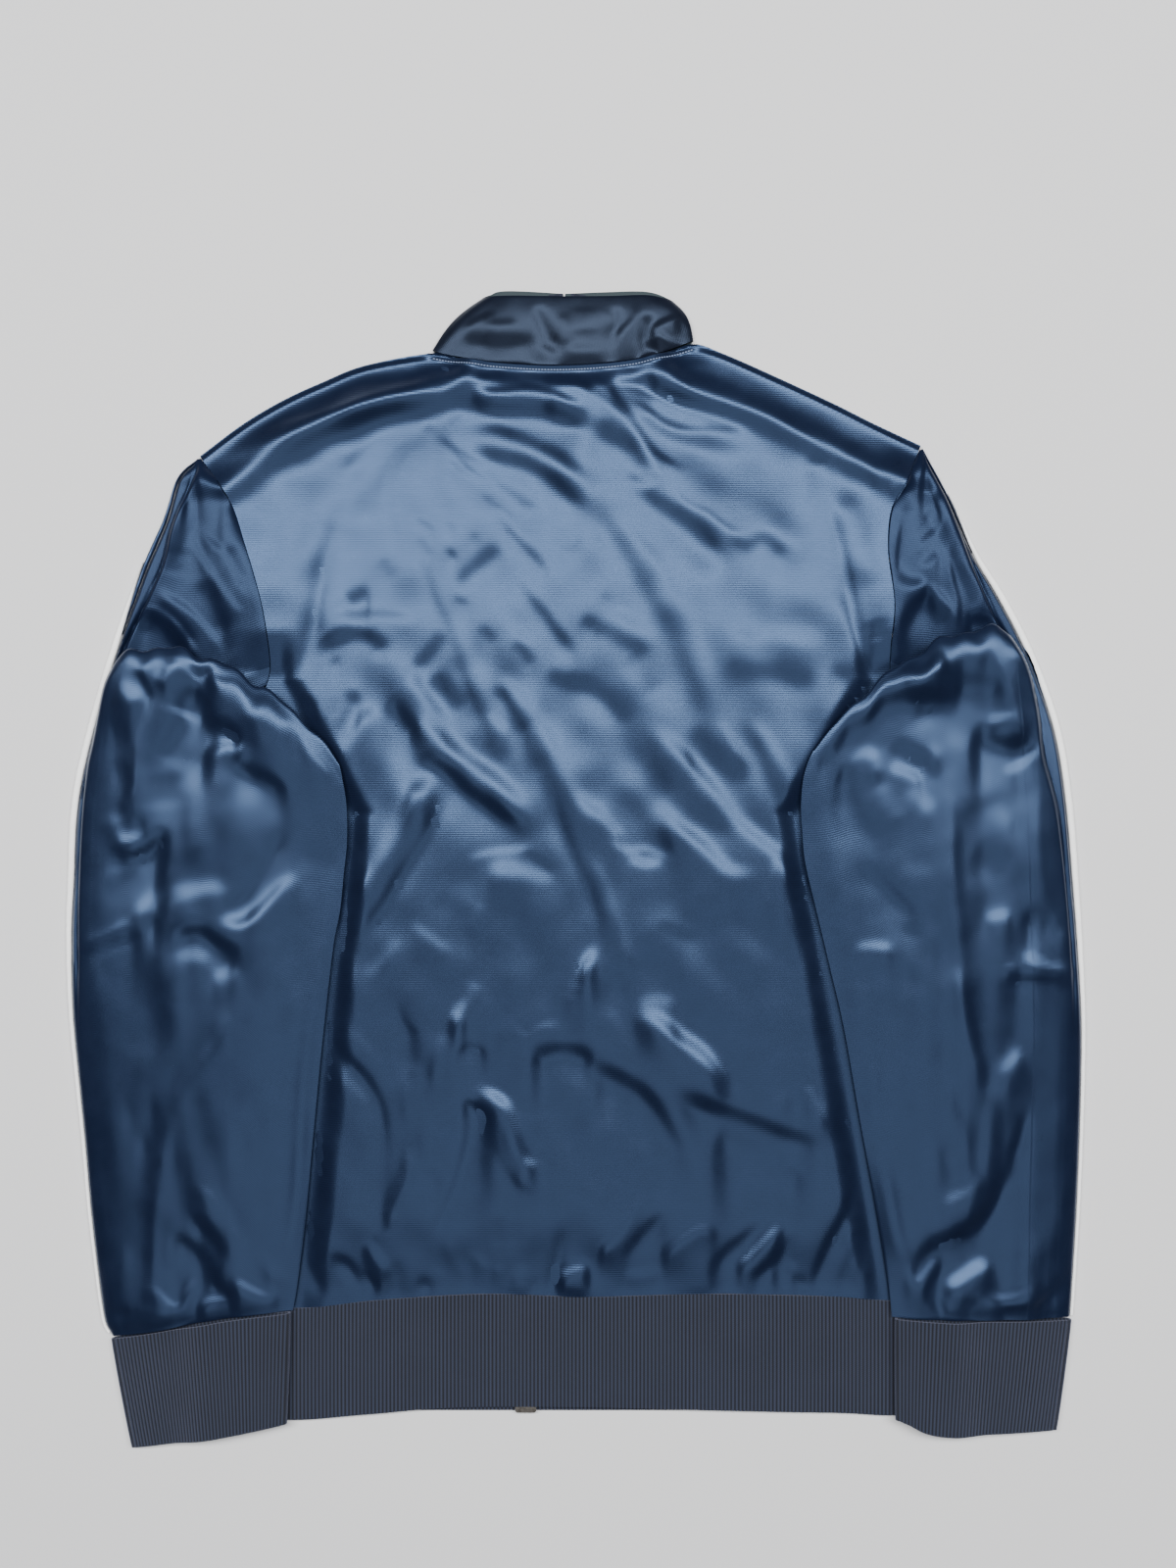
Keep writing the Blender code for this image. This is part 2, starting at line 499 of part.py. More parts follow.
def add_object(name, points, faces, finish):
    """An object from points in millimetres, with its faces turned outwards."""
    mesh = bpy.data.meshes.new(name)
    mesh.from_pydata([tuple(p) for p in np.asarray(points) * MM], [], faces)
    bm = bmesh.new()
    bm.from_mesh(mesh)
    bmesh.ops.recalc_face_normals(bm, faces=bm.faces)
    bmesh.ops.triangulate(bm, faces=bm.faces)
    if bm.calc_volume(signed=True) < 0.0:
        bmesh.ops.reverse_faces(bm, faces=bm.faces)
    bm.to_mesh(mesh)
    bm.free()
    mesh.materials.append(material(finish))
    mesh.shade_smooth()
    mesh.set_sharp_from_angle(angle=math.radians(SHARP_ANGLE))
    made = bpy.data.objects.new(name, mesh)
    bpy.context.scene.collection.objects.link(made)
    return made


def grid_faces(rows, cols, closed, first=0):
    """Quads of a grid whose points start at an index."""
    faces = []
    for r in range(rows - 1):
        for c in range(cols if closed else cols - 1):
            a = first + r * cols + c
            b = first + r * cols + (c + 1) % cols
            faces.append((a, b, b + cols, a + cols))
    return faces


def wall(name, outer, inner, finish, closed=False, kept=None):
    """A closed wall between two grids of points, the inner one of the kept columns of the outer.

    closed joins the columns round. Along the two rims each kept column's inner point fans out to
    the outer points near it, so a ribbed outside can have a plain inside.
    """
    rows, cols = outer.shape[:2]
    kept = list(range(cols)) if kept is None else kept
    inner = inner[:, kept]
    total = rows * cols
    points = np.vstack([outer.reshape(-1, 3), inner.reshape(-1, 3)])
    faces = grid_faces(rows, cols, closed)
    faces += grid_faces(rows, len(kept), closed, total)
    for r in (0, rows - 1):
        for k in range(len(kept) if closed else len(kept) - 1):
            start = kept[k]
            end = kept[(k + 1) % len(kept)]
            if end <= start:
                end += cols
            middle = (start + end) // 2
            near = total + r * len(kept) + k
            far = total + r * len(kept) + (k + 1) % len(kept)
            for c in range(start, end):
                tip = near if c < middle else far
                faces.append((r * cols + c % cols, r * cols + (c + 1) % cols, tip))
            faces.append((r * cols + middle % cols, near, far))
    if not closed:
        for r in range(rows - 1):
            a, b = r * cols, total + r * len(kept)
            faces.append((a, a + cols, b + len(kept), b))
            a, b = a + cols - 1, b + len(kept) - 1
            faces.append((a, b, b + len(kept), a + cols))
    return add_object(name, points, faces, finish)


def grid_normals(grid, closed=False):
    """Unit normals of a grid of points."""
    if closed:
        across = np.roll(grid, -1, axis=1) - np.roll(grid, 1, axis=1)
    else:
        across = np.gradient(grid, axis=1)
    down = np.gradient(grid, axis=0)
    normal = np.cross(down, across)
    return normal / np.linalg.norm(normal, axis=2, keepdims=True)


def raised(flat, under, thickness):
    """Upper and lower grids of a panel from its plan, its underside's height and its wall."""
    low = np.concatenate([flat, under[:, :, None]], 2)
    high = low + np.array([0.0, 0.0, thickness])
    return high, low


def solid_tube(name, rings, finish):
    """A filled tube through closed rings of points."""
    rows, cols = rings.shape[:2]
    faces = []
    for r in range(rows - 1):
        for c in range(cols):
            d = (c + 1) % cols
            faces.append((r * cols + c, r * cols + d, (r + 1) * cols + d, (r + 1) * cols + c))
    faces.append(tuple(range(cols)))
    faces.append(tuple((rows - 1) * cols + c for c in range(cols)))
    return add_object(name, rings.reshape(-1, 3), faces, finish)


def block(low, high):
    """Corner points and faces of a box."""
    x0, y0, z0 = low
    x1, y1, z1 = high
    points = [(x0, y0, z0), (x1, y0, z0), (x1, y1, z0), (x0, y1, z0),
              (x0, y0, z1), (x1, y0, z1), (x1, y1, z1), (x0, y1, z1)]
    faces = [(0, 3, 2, 1), (4, 5, 6, 7), (0, 1, 5, 4), (1, 2, 6, 5), (2, 3, 7, 6), (3, 0, 4, 7)]
    return points, faces


def profile_solid(name, outline, low, high, finish):
    """A plate: an outline of (x, y) between two heights."""
    count = len(outline)
    points = [(x, y, low) for x, y in outline] + [(x, y, high) for x, y in outline]
    faces = [tuple(range(count))[::-1], tuple(range(count, 2 * count))]
    for k in range(count):
        n = (k + 1) % count
        faces.append((k, n, count + n, count + k))
    return add_object(name, points, faces, finish)


# Pieces -----------------------------------------------------------------------------------------

def back_edge(side):
    """The back's side from shoulder to hem, point by point."""
    return smooth_edge(BACK_LEFT if side == "left" else BACK_RIGHT, np.linspace(0, 1, BACK_ROWS))


def front_edge(side):
    """A front's side from shoulder to hem, point by point."""
    flank = FRONT_LEFT_SIDE if side == "left" else FRONT_RIGHT_SIDE
    return smooth_edge(flank, np.linspace(0, 1, 2 * FRONT_EDGE_POINTS))


def edge_x(edge, y):
    """x of an edge that runs down, at heights y."""
    order = np.argsort(edge[:, 1])
    return np.interp(y, edge[order, 1], edge[order, 0])


def build_back():
    """The back panel, from the collar seam to the hem band."""
    across = np.linspace(0, 1, BACK_COLS)
    top = smooth_edge(SHOULDER_LEFT + NECK[1:] + SHOULDER_RIGHT[1:], across)
    bottom = smooth_edge(HEM_TOP, across)
    left = back_edge("left")
    right = back_edge("right")
    plan = coons(top, bottom, left, right)
    high, low = raised(plan, back_under(plan[:, :, 0], plan[:, :, 1]), SATIN_WALL)
    return wall("back", high, low, SATIN)


def build_front(side):
    """A front panel, flat on the floor, from the zip to the side seam."""
    top = FRONT_LEFT_TOP if side == "left" else FRONT_RIGHT_TOP
    outward = -1.0 if side == "left" else 1.0
    zip_y = np.array([FRONT_HEM_TOP_Y, top[-1][1]])
    centre = np.stack([zip_x(zip_y) + outward * ZIP_HALF_GAP, zip_y], 1)
    upper = smooth_edge(top, np.linspace(0, 1, FRONT_EDGE_POINTS))[:-1]
    outline = np.vstack([upper[::-1], front_edge(side)[1:], centre])
    return profile_solid("front_" + side, outline, 0.0, LOWER_WALL, UNDER_SATIN)


def piping_half_width(y):
    """Half the piping's width at a height down the sleeve."""
    table = np.array(PIPING_WIDTH[::-1], float)
    return np.interp(y, table[:, 0], table[:, 1])


def sleeve_outer_edge(side):
    """The outline of a sleeve and the direction into the sleeve, at many points down it."""
    line = catmull_rom(SLEEVE_OUTLINE[side], 6)
    tangent = np.gradient(line, axis=0)
    tangent = tangent / np.linalg.norm(tangent, axis=1, keepdims=True)
    turn = 1.0 if side == "left" else -1.0
    inward = np.stack([-tangent[:, 1], tangent[:, 0]], 1) * turn
    return line, inward


def panel_edge(side, y):
    """Where a sleeve's panels start, just inside the piping, at given heights down the sleeve."""
    line, inward = sleeve_outer_edge(side)
    reach = 2.0 * piping_half_width(line[:, 1]) + PIPING_GAP
    edge = line + inward * reach[:, None]
    order = np.argsort(edge[:, 1])
    x = np.interp(y, edge[order, 1], edge[order, 0])
    return np.stack([x, np.asarray(y, float)], -1)


def across_section(section, shares):
    """Points across one section: a cubic in plan, and rounded up from both edges in height."""
    t = shares[:, None]
    weights = [(t - 1 / 3) * (t - 2 / 3) * (t - 1) * -4.5, t * (t - 2 / 3) * (t - 1) * 13.5,
               t * (t - 1 / 3) * (t - 1) * -13.5, t * (t - 1 / 3) * (t - 2 / 3) * 4.5]
    plan = sum(w * p[:2] for w, p in zip(weights, section))
    edge, third, two_thirds, inner = [p[2] for p in section]
    rise_out = edge + (third - edge) * np.sin(0.5 * math.pi * np.clip(3 * shares, 0, 1))
    middle = third + (two_thirds - third) * smoothstep(1 / 3, 2 / 3, shares)
    fall_in = inner + (two_thirds - inner) * np.sin(0.5 * math.pi * np.clip(3 - 3 * shares, 0, 1))
    height = np.where(shares < 1 / 3, rise_out, np.where(shares < 2 / 3, middle, fall_in))
    return np.concatenate([plan, height[:, None]], 1)


SLEEVE_SHARES = np.array([0, 0.05, 0.14, 0.26, 0.39, 0.52, 0.65, 0.78, 0.91, 1.0])
LOWER_SHARES = np.array([0, 0.15, 0.27, 0.36, 0.44, 0.52, 0.62, 0.8, 1.0])
ARMHOLE_SECTIONS = 6      # sections above this one end at the armhole
FOLD_SECTIONS = 14        # sections from this one on are the sleeve below its fold


def build_sleeve_upper(side, between=2):
    """The half of a sleeve that faces up, with the fold over itself at the armpit."""
    outward = -1.0 if side == "left" else 1.0
    sections = []
    for outer_y, third, two_thirds, inner in SLEEVE_UPPER[side]:
        height = 0.0 if inner[2] is None else inner[2]
        sections.append([*panel_edge(side, outer_y), SLEEVE_EDGE, *third, *two_thirds,
                         inner[0], inner[1], height])
    rows = catmull_rom(sections, between)
    armhole = slice(0, ARMHOLE_SECTIONS * between + 1)
    rows[armhole, 9] = edge_x(back_edge(side), rows[armhole, 10]) + outward * ARMHOLE_GAP
    rows[armhole, 11] = back_under(rows[armhole, 9], rows[armhole, 10]) + 0.5 * SATIN_WALL
    rows[:, :2] = panel_edge(side, rows[:, 1])
    rows = rows.reshape(len(rows), 4, 3)
    grid = np.array([across_section(section, SLEEVE_SHARES) for section in rows])
    below = smoothstep((FOLD_SECTIONS - 1) * between, FOLD_SECTIONS * between,
                       np.arange(len(rows)))[:, None]
    inside = np.sin(math.pi * SLEEVE_SHARES) ** 0.5
    grid[:, :, 2] += folds_height(grid[:, :, 0], grid[:, :, 1], SLEEVE_FOLDS[side]) * inside * below
    offset = grid_normals(grid) * (0.5 * SLEEVE_WALL)
    return wall("sleeve_back_" + side, grid + offset, grid - offset, SATIN)


def build_sleeve_lower(side):
    """The half of a sleeve that lies on the floor and over the body's side."""
    outward = -1.0 if side == "left" else 1.0
    shares = LOWER_SHARES[:, None]
    rows = []
    for outer_y, inner_x, inner_y in SLEEVE_LOWER[side]:
        edge = panel_edge(side, outer_y)
        if inner_y is None:
            x = np.linspace(edge[0], inner_x, 41)
            line = np.stack([x, cuff_top_y(side, x) + 2 * SEAM_GAP], 1)
            rows.append(line[np.round(40 * LOWER_SHARES).astype(int)])
            continue
        if inner_x is None:
            inner_x = edge_x(front_edge(side), inner_y) + outward * ARMHOLE_GAP
        rows.append((1 - shares) * edge + shares * np.array([inner_x, inner_y]))
    plan = np.array(rows)
    high, low = raised(plan, sleeve_under(plan[:, :, 0], plan[:, :, 1], side), LOWER_WALL)
    return wall("sleeve_front_" + side, high, low, UNDER_SATIN)


def cuff_top_y(side, x):
    """y of a cuff's upper edge."""
    edge = catmull_rom(CUFFS[side]["top"], 8)
    order = np.argsort(edge[:, 0])
    return np.interp(x, edge[order, 0], edge[order, 1])


def build_piping(side, rows=40, sides=6):
    """White piping along a sleeve's outer seam."""
    line, inward = sleeve_outer_edge(side)
    track = along(np.hstack([line, inward]), np.linspace(0.05, 0.997, rows))
    half = piping_half_width(track[:, 1])
    angles = np.arange(sides) * 2 * math.pi / sides
    rings = np.zeros((rows, sides, 3))
    for r in range(rows):
        reach = half[r] * (1.0 + np.cos(angles))
        rings[r, :, :2] = track[r, :2] + track[r, 2:] * reach[:, None]
        rings[r, :, 2] = SEAM_GAP + PIPING_HALF_HEIGHT * (1.0 + np.sin(angles))
    return solid_tube("piping_" + side, rings, PIPING)


def build_collar(between=2):
    """The stand collar: one strip that lies flat, folded at both sides of the neck."""
    stations = catmull_rom(COLLAR, between)
    foot = stations[:, [0, 1, 4]]
    top = stations[:, [2, 3, 5]]
    near_left = np.exp(-((foot[:, 0] - COLLAR_FOLDS[0]) / 14.0) ** 2)
    near_right = np.exp(-((foot[:, 0] - COLLAR_FOLDS[1]) / 12.0) ** 2)
    swell = np.column_stack([
        0.5 * COLLAR_SWELL * (near_right - near_left),
        0.5 * COLLAR_SWELL * (near_right + near_left),
        COLLAR_RISE * smoothstep(4.0, 6.5, foot[:, 2]),
    ])
    up = np.linspace(0, 1, COLLAR_ROWS)[:, None, None]
    grid = (1 - up) * foot + up * top + np.sin(math.pi * up) * swell
    offset = grid_normals(grid) * (0.5 * COLLAR_WALL)
    outer, inner = grid + offset, grid - offset
    for layer in (outer, inner):
        layer[:, :, 2] = np.maximum(layer[:, :, 2], 0.0)
    return wall("collar", outer, inner, COLLAR_SATIN)


def rib_crests(count):
    """1 at the crest of each rib and 0 in the valleys, at half the rib pitch."""
    return (np.arange(2 * count + 1) % 2).astype(float)


def fold_over(place, low, high, outward, count=4):
    """Positions and heights round the half circle between two layers, without its two ends."""
    radius = 0.5 * (high - low)
    angles = np.linspace(-0.5 * math.pi, 0.5 * math.pi, count + 2)[1:-1]
    return place + outward * radius * np.cos(angles), low + radius + radius * np.sin(angles)


def ribbed_wall(name, grid, rise, kept, closed=False):
    """A rib-knit wall round a grid of points, its outer face raised at the ribs."""
    normal = grid_normals(grid, closed)
    if normal[0, int(np.argmax(rise)), 2] < 0:
        normal = -normal
    half_wall = 0.5 * RIB_WALL
    outer = grid + normal * (half_wall + rise[None, :, None])
    inner = grid - normal * half_wall
    outer[:, :, 2] = np.maximum(outer[:, :, 2], 0.0)
    made = wall(name, outer, inner, RIB_KNIT, closed, kept)
    made.data.set_sharp_from_angle(angle=math.radians(RIB_SHARP_ANGLE))
    return made


def band_height(x):
    """Underside of the hem band's back part."""
    middle = smoothstep(-196, -120, x) * smoothstep(-204, -130, -x)
    return SIDE_LIE + (HEM_LIE - SIDE_LIE) * middle


def build_hem_band():
    """The ribbed hem band, one strip from the zip round the back to the zip."""
    left_fold = HEM_TOP[0][0] + HEM_FOLD_INSET
    right_fold = HEM_TOP[-1][0] - HEM_FOLD_INSET
    lower = 0.5 * RIB_WALL
    upper = SIDE_LIE + 0.5 * RIB_WALL
    zip_edges = zip_x(-322.0) + np.array([-ZIP_HALF_GAP, ZIP_HALF_GAP])
    ribs = int(round((HEM_RIBS_TO - HEM_RIBS_FROM) / RIB_PITCH))
    x_ribs = np.linspace(HEM_RIBS_FROM, HEM_RIBS_TO, 2 * ribs + 1)
    turn_left = fold_over(left_fold, lower, upper, -1.0)
    turn_right = fold_over(right_fold, lower, upper, 1.0)
    x = np.concatenate([np.linspace(zip_edges[0], left_fold, HEM_FRONT_POINTS), turn_left[0],
                        [left_fold], x_ribs, [right_fold], turn_right[0][::-1],
                        np.linspace(right_fold, zip_edges[1], HEM_FRONT_POINTS)])
    front = np.zeros(HEM_FRONT_POINTS)
    z = np.concatenate([front + lower, turn_left[1], [upper], band_height(x_ribs) + lower,
                        [upper], turn_right[1][::-1], front + lower])
    turn = np.linspace(0, 1, len(turn_left[0]) + 2)[1:]
    plain = len(front) + len(turn)
    rise = np.concatenate([np.zeros(plain), rib_crests(ribs) * RIB_RISE, np.zeros(plain)])
    is_back = np.concatenate([front, turn, np.ones(len(x_ribs)), turn[::-1], front])
    edges = []
    for back_line, front_y in ((HEM_TOP, FRONT_HEM_TOP_Y), (HEM_FOOT, FRONT_HEM_FOOT_Y)):
        line = catmull_rom(back_line, 6)
        y = is_back * np.interp(x, line[:, 0], line[:, 1]) + (1 - is_back) * front_y
        edges.append(np.column_stack([x, y, z]))
    edges[0][:, 1] -= SEAM_GAP
    columns = list(range(len(x)))
    kept = columns[:plain] + columns[plain:-plain:RIB_KEPT] + columns[-plain:]
    return ribbed_wall("hem_band", np.array(edges), rise, kept)


def build_cuff(side):
    """A ribbed cuff: a flattened tube, on the floor outside and over the hem band inside."""
    spec = CUFFS[side]
    lower = 0.5 * RIB_WALL
    width = abs(spec["top"][0][0] - spec["top"][-1][0])
    ribs = int(round(width / RIB_PITCH)) - 2
    share_up = np.linspace(CUFF_TURN_SHARE, 1 - CUFF_TURN_SHARE, 2 * ribs + 1)
    share_down = np.linspace(1 - CUFF_TURN_SHARE, CUFF_TURN_SHARE, CUFF_FLOOR_POINTS)

    def lie(points):
        lift = smoothstep(spec["rest_to"], spec["lifted_from"], points[:, 0])
        return lower + (SLEEVE_LIE + CUFF_CLEAR) * lift

    def opening(shares):
        return 2 * (CUFF_FOLD_RADIUS + CUFF_PUFF * np.sin(math.pi * shares) ** 0.6)

    rings = []
    for edge in (spec["top"], spec["foot"]):
        upper_points = smooth_edge(edge, share_up)
        floor_points = smooth_edge(edge, share_down)
        upper_z = lie(upper_points) + opening(share_up)
        inward = upper_points[-1] - upper_points[0]
        inward = inward / np.linalg.norm(inward)
        turns = []
        for end, sign in ((-1, 1.0), (0, -1.0)):
            low = lie(upper_points[end:end + 1] if end == 0 else upper_points[-1:])[0]
            reach, height = fold_over(0.0, low, upper_z[end], 1.0, 3)
            turn = np.column_stack([upper_points[end] + sign * inward * reach[:, None], height])
            turns.append(turn[::-1] if sign > 0 else turn)
        rings.append(np.vstack([np.column_stack([upper_points, upper_z]), turns[0],
                                np.column_stack([floor_points, lie(floor_points)]), turns[1]]))
    grid = np.array(rings)
    rise = np.zeros(grid.shape[1])
    rise[:2 * ribs + 1] = rib_crests(ribs) * RIB_RISE
    columns = list(range(grid.shape[1]))
    kept = columns[:2 * ribs:RIB_KEPT] + columns[2 * ribs:]
    return ribbed_wall("cuff_" + side, grid, rise, kept, closed=True)


def build_zip_tape(side, rows=18):
    """One zip tape, sewn to a front's inner face and rising to the chain."""
    outward = -1.0 if side == "left" else 1.0
    y = np.linspace(CHAIN_END_FOOT, 380.0, rows)
    inner_x = zip_x(y) + outward * (0.5 * CHAIN_WIDTH + SEAM_GAP)
    outer_x = zip_x(y) + outward * TAPE_REACH
    lie = RIB_WALL + 0.3
    inner_z = chain_height(y) - 0.5 * TAPE_WALL
    grid = np.zeros((rows, 4, 3))
    grid[:, :, 1] = y[:, None]
    grid[:, 0, 0], grid[:, 0, 2] = outer_x, lie
    grid[:, 1, 0], grid[:, 1, 2] = zip_x(y) + outward * (ZIP_HALF_GAP + 3.5), lie + 0.2
    grid[:, 2, 0], grid[:, 2, 2] = zip_x(y) + outward * (ZIP_HALF_GAP + 0.4), inner_z
    grid[:, 3, 0], grid[:, 3, 2] = inner_x, inner_z
    high = grid + np.array([0.0, 0.0, TAPE_WALL])
    return wall("zip_tape_" + side, high, grid, TAPE)


def build_zip_chain(rows=18):
    """The closed chain, as a plain strip."""
    y = np.linspace(CHAIN_END_FOOT, CHAIN_END_TOP, rows)
    half = 0.5 * CHAIN_WIDTH
    grid = np.zeros((rows, 2, 3))
    grid[:, :, 1] = y[:, None]
    grid[:, 0, 0], grid[:, 1, 0] = zip_x(y) - half, zip_x(y) + half
    grid[:, :, 2] = chain_height(y)[:, None] - 0.5 * CHAIN_WALL
    high = grid + np.array([0.0, 0.0, CHAIN_WALL])
    return wall("zip_chain", high, grid, METAL)


def build_zip_box():
    """The box at the zip's foot, which shows past the back's hem."""
    x = zip_x(-354.0)
    half, foot, top, corner = 7.0, -359.2, -349.0, 1.2
    outline = [(x - half + corner, foot), (x + half - corner, foot), (x + half, foot + corner),
               (x + half, top), (x - half, top), (x - half, foot + corner)]
    return profile_solid("zip_box", outline, RIB_WALL + 0.4, RIB_WALL + 2.8, METAL)


def build_zip_slider():
    """The slider: a plate under the chain with the pull's bridge, a post, and a plate above."""
    x = zip_x(SLIDER_Y)
    half = 0.5 * SLIDER_WIDTH
    foot, top = SLIDER_Y - 6.0, SLIDER_Y + 8.0
    chain_low = CHAIN_HIGH - 0.5 * CHAIN_WALL - SEAM_GAP
    chain_high = CHAIN_HIGH + 0.5 * CHAIN_WALL + SEAM_GAP
    under = chain_low - SLIDER_PLATE
    bridge = 0.5 * BRIDGE_WIDTH
    leg_in, leg_out = BRIDGE_LEG
    join = 0.2
    blocks = [
        # lowest corner, highest corner
        ((x - half, foot, under), (x + half, top, chain_low)),
        ((x - half, foot, chain_high), (x + half, top, chain_high + SLIDER_PLATE)),
        ((x - POST_HALF, CHAIN_END_TOP + 0.4, chain_low - join),
         (x + POST_HALF, top - 0.4, chain_high + join)),
        ((x - bridge, SLIDER_Y + leg_in, BRIDGE_LOW), (x + bridge, SLIDER_Y + leg_out, under + join)),
        ((x - bridge, SLIDER_Y - leg_out, BRIDGE_LOW), (x + bridge, SLIDER_Y - leg_in, under + join)),
        ((x - bridge, SLIDER_Y - leg_out + 0.1, BRIDGE_LOW - 0.05),
         (x + bridge, SLIDER_Y + leg_out - 0.1, BRIDGE_LOW + BRIDGE_BAR)),
    ]
    pieces = []
    for number, (low, high) in enumerate(blocks):
        points, faces = block(low, high)
        pieces.append(add_object("slider_part_%d" % number, points, faces, METAL))
    body = pieces[0]
    body.name = "zip_slider"
    for other in pieces[1:]:
        union = body.modifiers.new("join", "BOOLEAN")
        union.operation = "UNION"
        union.solver = "EXACT"
        union.object = other
        other.hide_render = True
        other.display_type = "WIRE"
    return body


def build_zip_pull():
    """The pull tab: a plate with a window at its upper end, round the slider's bridge."""
    x = zip_x(SLIDER_Y)
    half = 0.5 * TAB_WIDTH
    neck = 0.5 * TAB_NECK
    bar = 0.5 * TAB_WALL
    window = 0.5 * WINDOW[0]
    low, high = SLIDER_AXIS_Z - bar, SLIDER_AXIS_Z + bar
    outer = [(x - neck, SLIDER_Y + bar), (x + neck, SLIDER_Y + bar),
             (x + half, SLIDER_Y - TAB_NECK_LENGTH)]
    foot_centre = SLIDER_Y - TAB_LENGTH + half
    for angle in np.linspace(0.0, -math.pi, 9):
        outer.append((x + half * math.cos(angle), foot_centre + half * math.sin(angle)))
    outer.append((x - half, SLIDER_Y - TAB_NECK_LENGTH))
    inner = [(x - window, SLIDER_Y - bar), (x + window, SLIDER_Y - bar),
             (x + window, SLIDER_Y - WINDOW[1]), (x - window, SLIDER_Y - WINDOW[1])]
    plate = profile_solid("zip_pull", outer, low, high, METAL)
    cutter = profile_solid("pull_window", inner, low - 1.0, high + 1.0, METAL)
    cutter.hide_render = True
    cutter.display_type = "WIRE"
    cut = plate.modifiers.new("window", "BOOLEAN")
    cut.operation = "DIFFERENCE"
    cut.solver = "EXACT"
    cut.object = cutter
    return plate


def clear_scene():
    """Start from an empty scene."""
    for existing in list(bpy.data.objects):
        bpy.data.objects.remove(existing, do_unlink=True)


def main():
    clear_scene()
    build_back()
    build_collar()
    build_hem_band()
    for side in ("left", "right"):
        build_front(side)
        build_sleeve_lower(side)
        build_sleeve_upper(side)
        build_piping(side)
        build_cuff(side)
        build_zip_tape(side)
    build_zip_chain()
    build_zip_box()
    build_zip_slider()
    build_zip_pull()


main()
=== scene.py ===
import math

import bmesh
import bpy
import numpy as np
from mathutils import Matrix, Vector


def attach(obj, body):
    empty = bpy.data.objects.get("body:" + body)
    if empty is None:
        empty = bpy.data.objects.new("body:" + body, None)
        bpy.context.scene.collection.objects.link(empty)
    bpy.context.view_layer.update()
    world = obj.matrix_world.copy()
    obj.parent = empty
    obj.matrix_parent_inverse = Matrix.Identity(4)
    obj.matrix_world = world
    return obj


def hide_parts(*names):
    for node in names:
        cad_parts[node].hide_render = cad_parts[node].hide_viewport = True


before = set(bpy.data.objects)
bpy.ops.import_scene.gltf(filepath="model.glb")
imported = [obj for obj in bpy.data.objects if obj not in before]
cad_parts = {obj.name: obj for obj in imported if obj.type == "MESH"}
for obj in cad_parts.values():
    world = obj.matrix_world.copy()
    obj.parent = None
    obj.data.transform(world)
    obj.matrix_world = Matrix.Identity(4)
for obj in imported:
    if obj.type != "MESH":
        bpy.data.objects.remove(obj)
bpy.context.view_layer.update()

MM = 0.001
OUTWARD = {"left": -1.0, "right": 1.0}      # X direction from the body to a sleeve's outside

# Walls of the cloth and gaps between pieces
SATIN_WALL = 1.0
LOWER_WALL = 1.0
COLLAR_WALL = 1.0
RIB_WALL = 1.4
SEAM_GAP = 0.3
ARMHOLE_GAP = 0.7
PIPING_GAP = 0.8
FLOOR_GAP = 0.02          # least height of the collar and of the ribs above the floor
LINING_GAP = 0.05         # and of the inner side of the rib knit

# Heights of the layers above the floor
SIDE_LIE = 2.6            # underside of the back along the body's sides
HEM_LIE = 4.4             # underside of the back at the middle of the hem
BACK_LIE = 9.0            # underside of the back in the middle
NECK_LIE = 6.1            # underside of the back at the collar seam
EDGE_LIE = 1.5            # underside of the back along the shoulder and side seams
SLEEVE_LIE = 5.0          # underside of a sleeve where it crosses the body
SLEEVE_EDGE = 2.4         # middle of a sleeve's upper half at the piping
SLEEVE_INNER = 7.35       # middle of a sleeve's upper half at its inner edge

# Zip
ZIP_TOP = (-8.0, 330.0)   # centre line at the collar seam
ZIP_FOOT = (-31.0, -290.0)
ZIP_HALF_GAP = 4.5        # from the centre line to the edge of each front
CHAIN_HIGH = 4.45         # middle of the chain at the slider
CHAIN_LOW = 3.0           # middle of the chain from the chest down
CHAIN_RISES = (250.0, 325.0)    # y between which it rises from one to the other
CHAIN_WALL = 1.4
CHAIN_TOP = 368.0
CHAIN_FOOT = -348.6
CHAIN_END = 1.0           # bare length at both of its ends
TOOTH_PITCH = 2.6
TOOTH_WAIST = 0.9         # distance from the centre line to a tooth's waist
TOOTH_OUTLINE = [(2.5, 0.55), (0.9, 0.55), (0.3, 0.78), (-0.55, 0.62), (-0.75, 0.0),
                 (-0.55, -0.62), (0.3, -0.78), (0.9, -0.55), (2.5, -0.55)]
TOOTH_LAYERS = [(-1.0, 0.8), (-0.7, 1.0), (0.7, 1.0), (1.0, 0.8)]    # height in half walls, size

# Ribs, stitches and the satin's lines
RIB_PITCH = 2.5
RIB_RISE = 0.7
RIB_ROUND = 0.7           # power that rounds their tops
RIB_POINTS = 8            # points across each rib
STITCH_PITCH = 2.0
STITCH_LENGTH = 1.5
STITCH_WIDE = 0.45
STITCH_HIGH = 0.35
STITCH_STATIONS = [       # share of its length, height and thickness of a stitch at its stations
    (0.0, -1.2, 0.35), (0.15, 0.2, 0.85), (0.5, 0.6, 1.0), (0.85, 0.2, 0.85), (1.0, -1.2, 0.35)]
NECK_STITCH_INSET = 3.3   # from the collar seam to the row of stitches
ZIP_STITCH_INSET = 2.2    # from a front's edge to the row beside the zip
SATIN_PITCH = 1.45
COLLAR_PITCH = 1.1
WEAVE_PITCH = 0.7

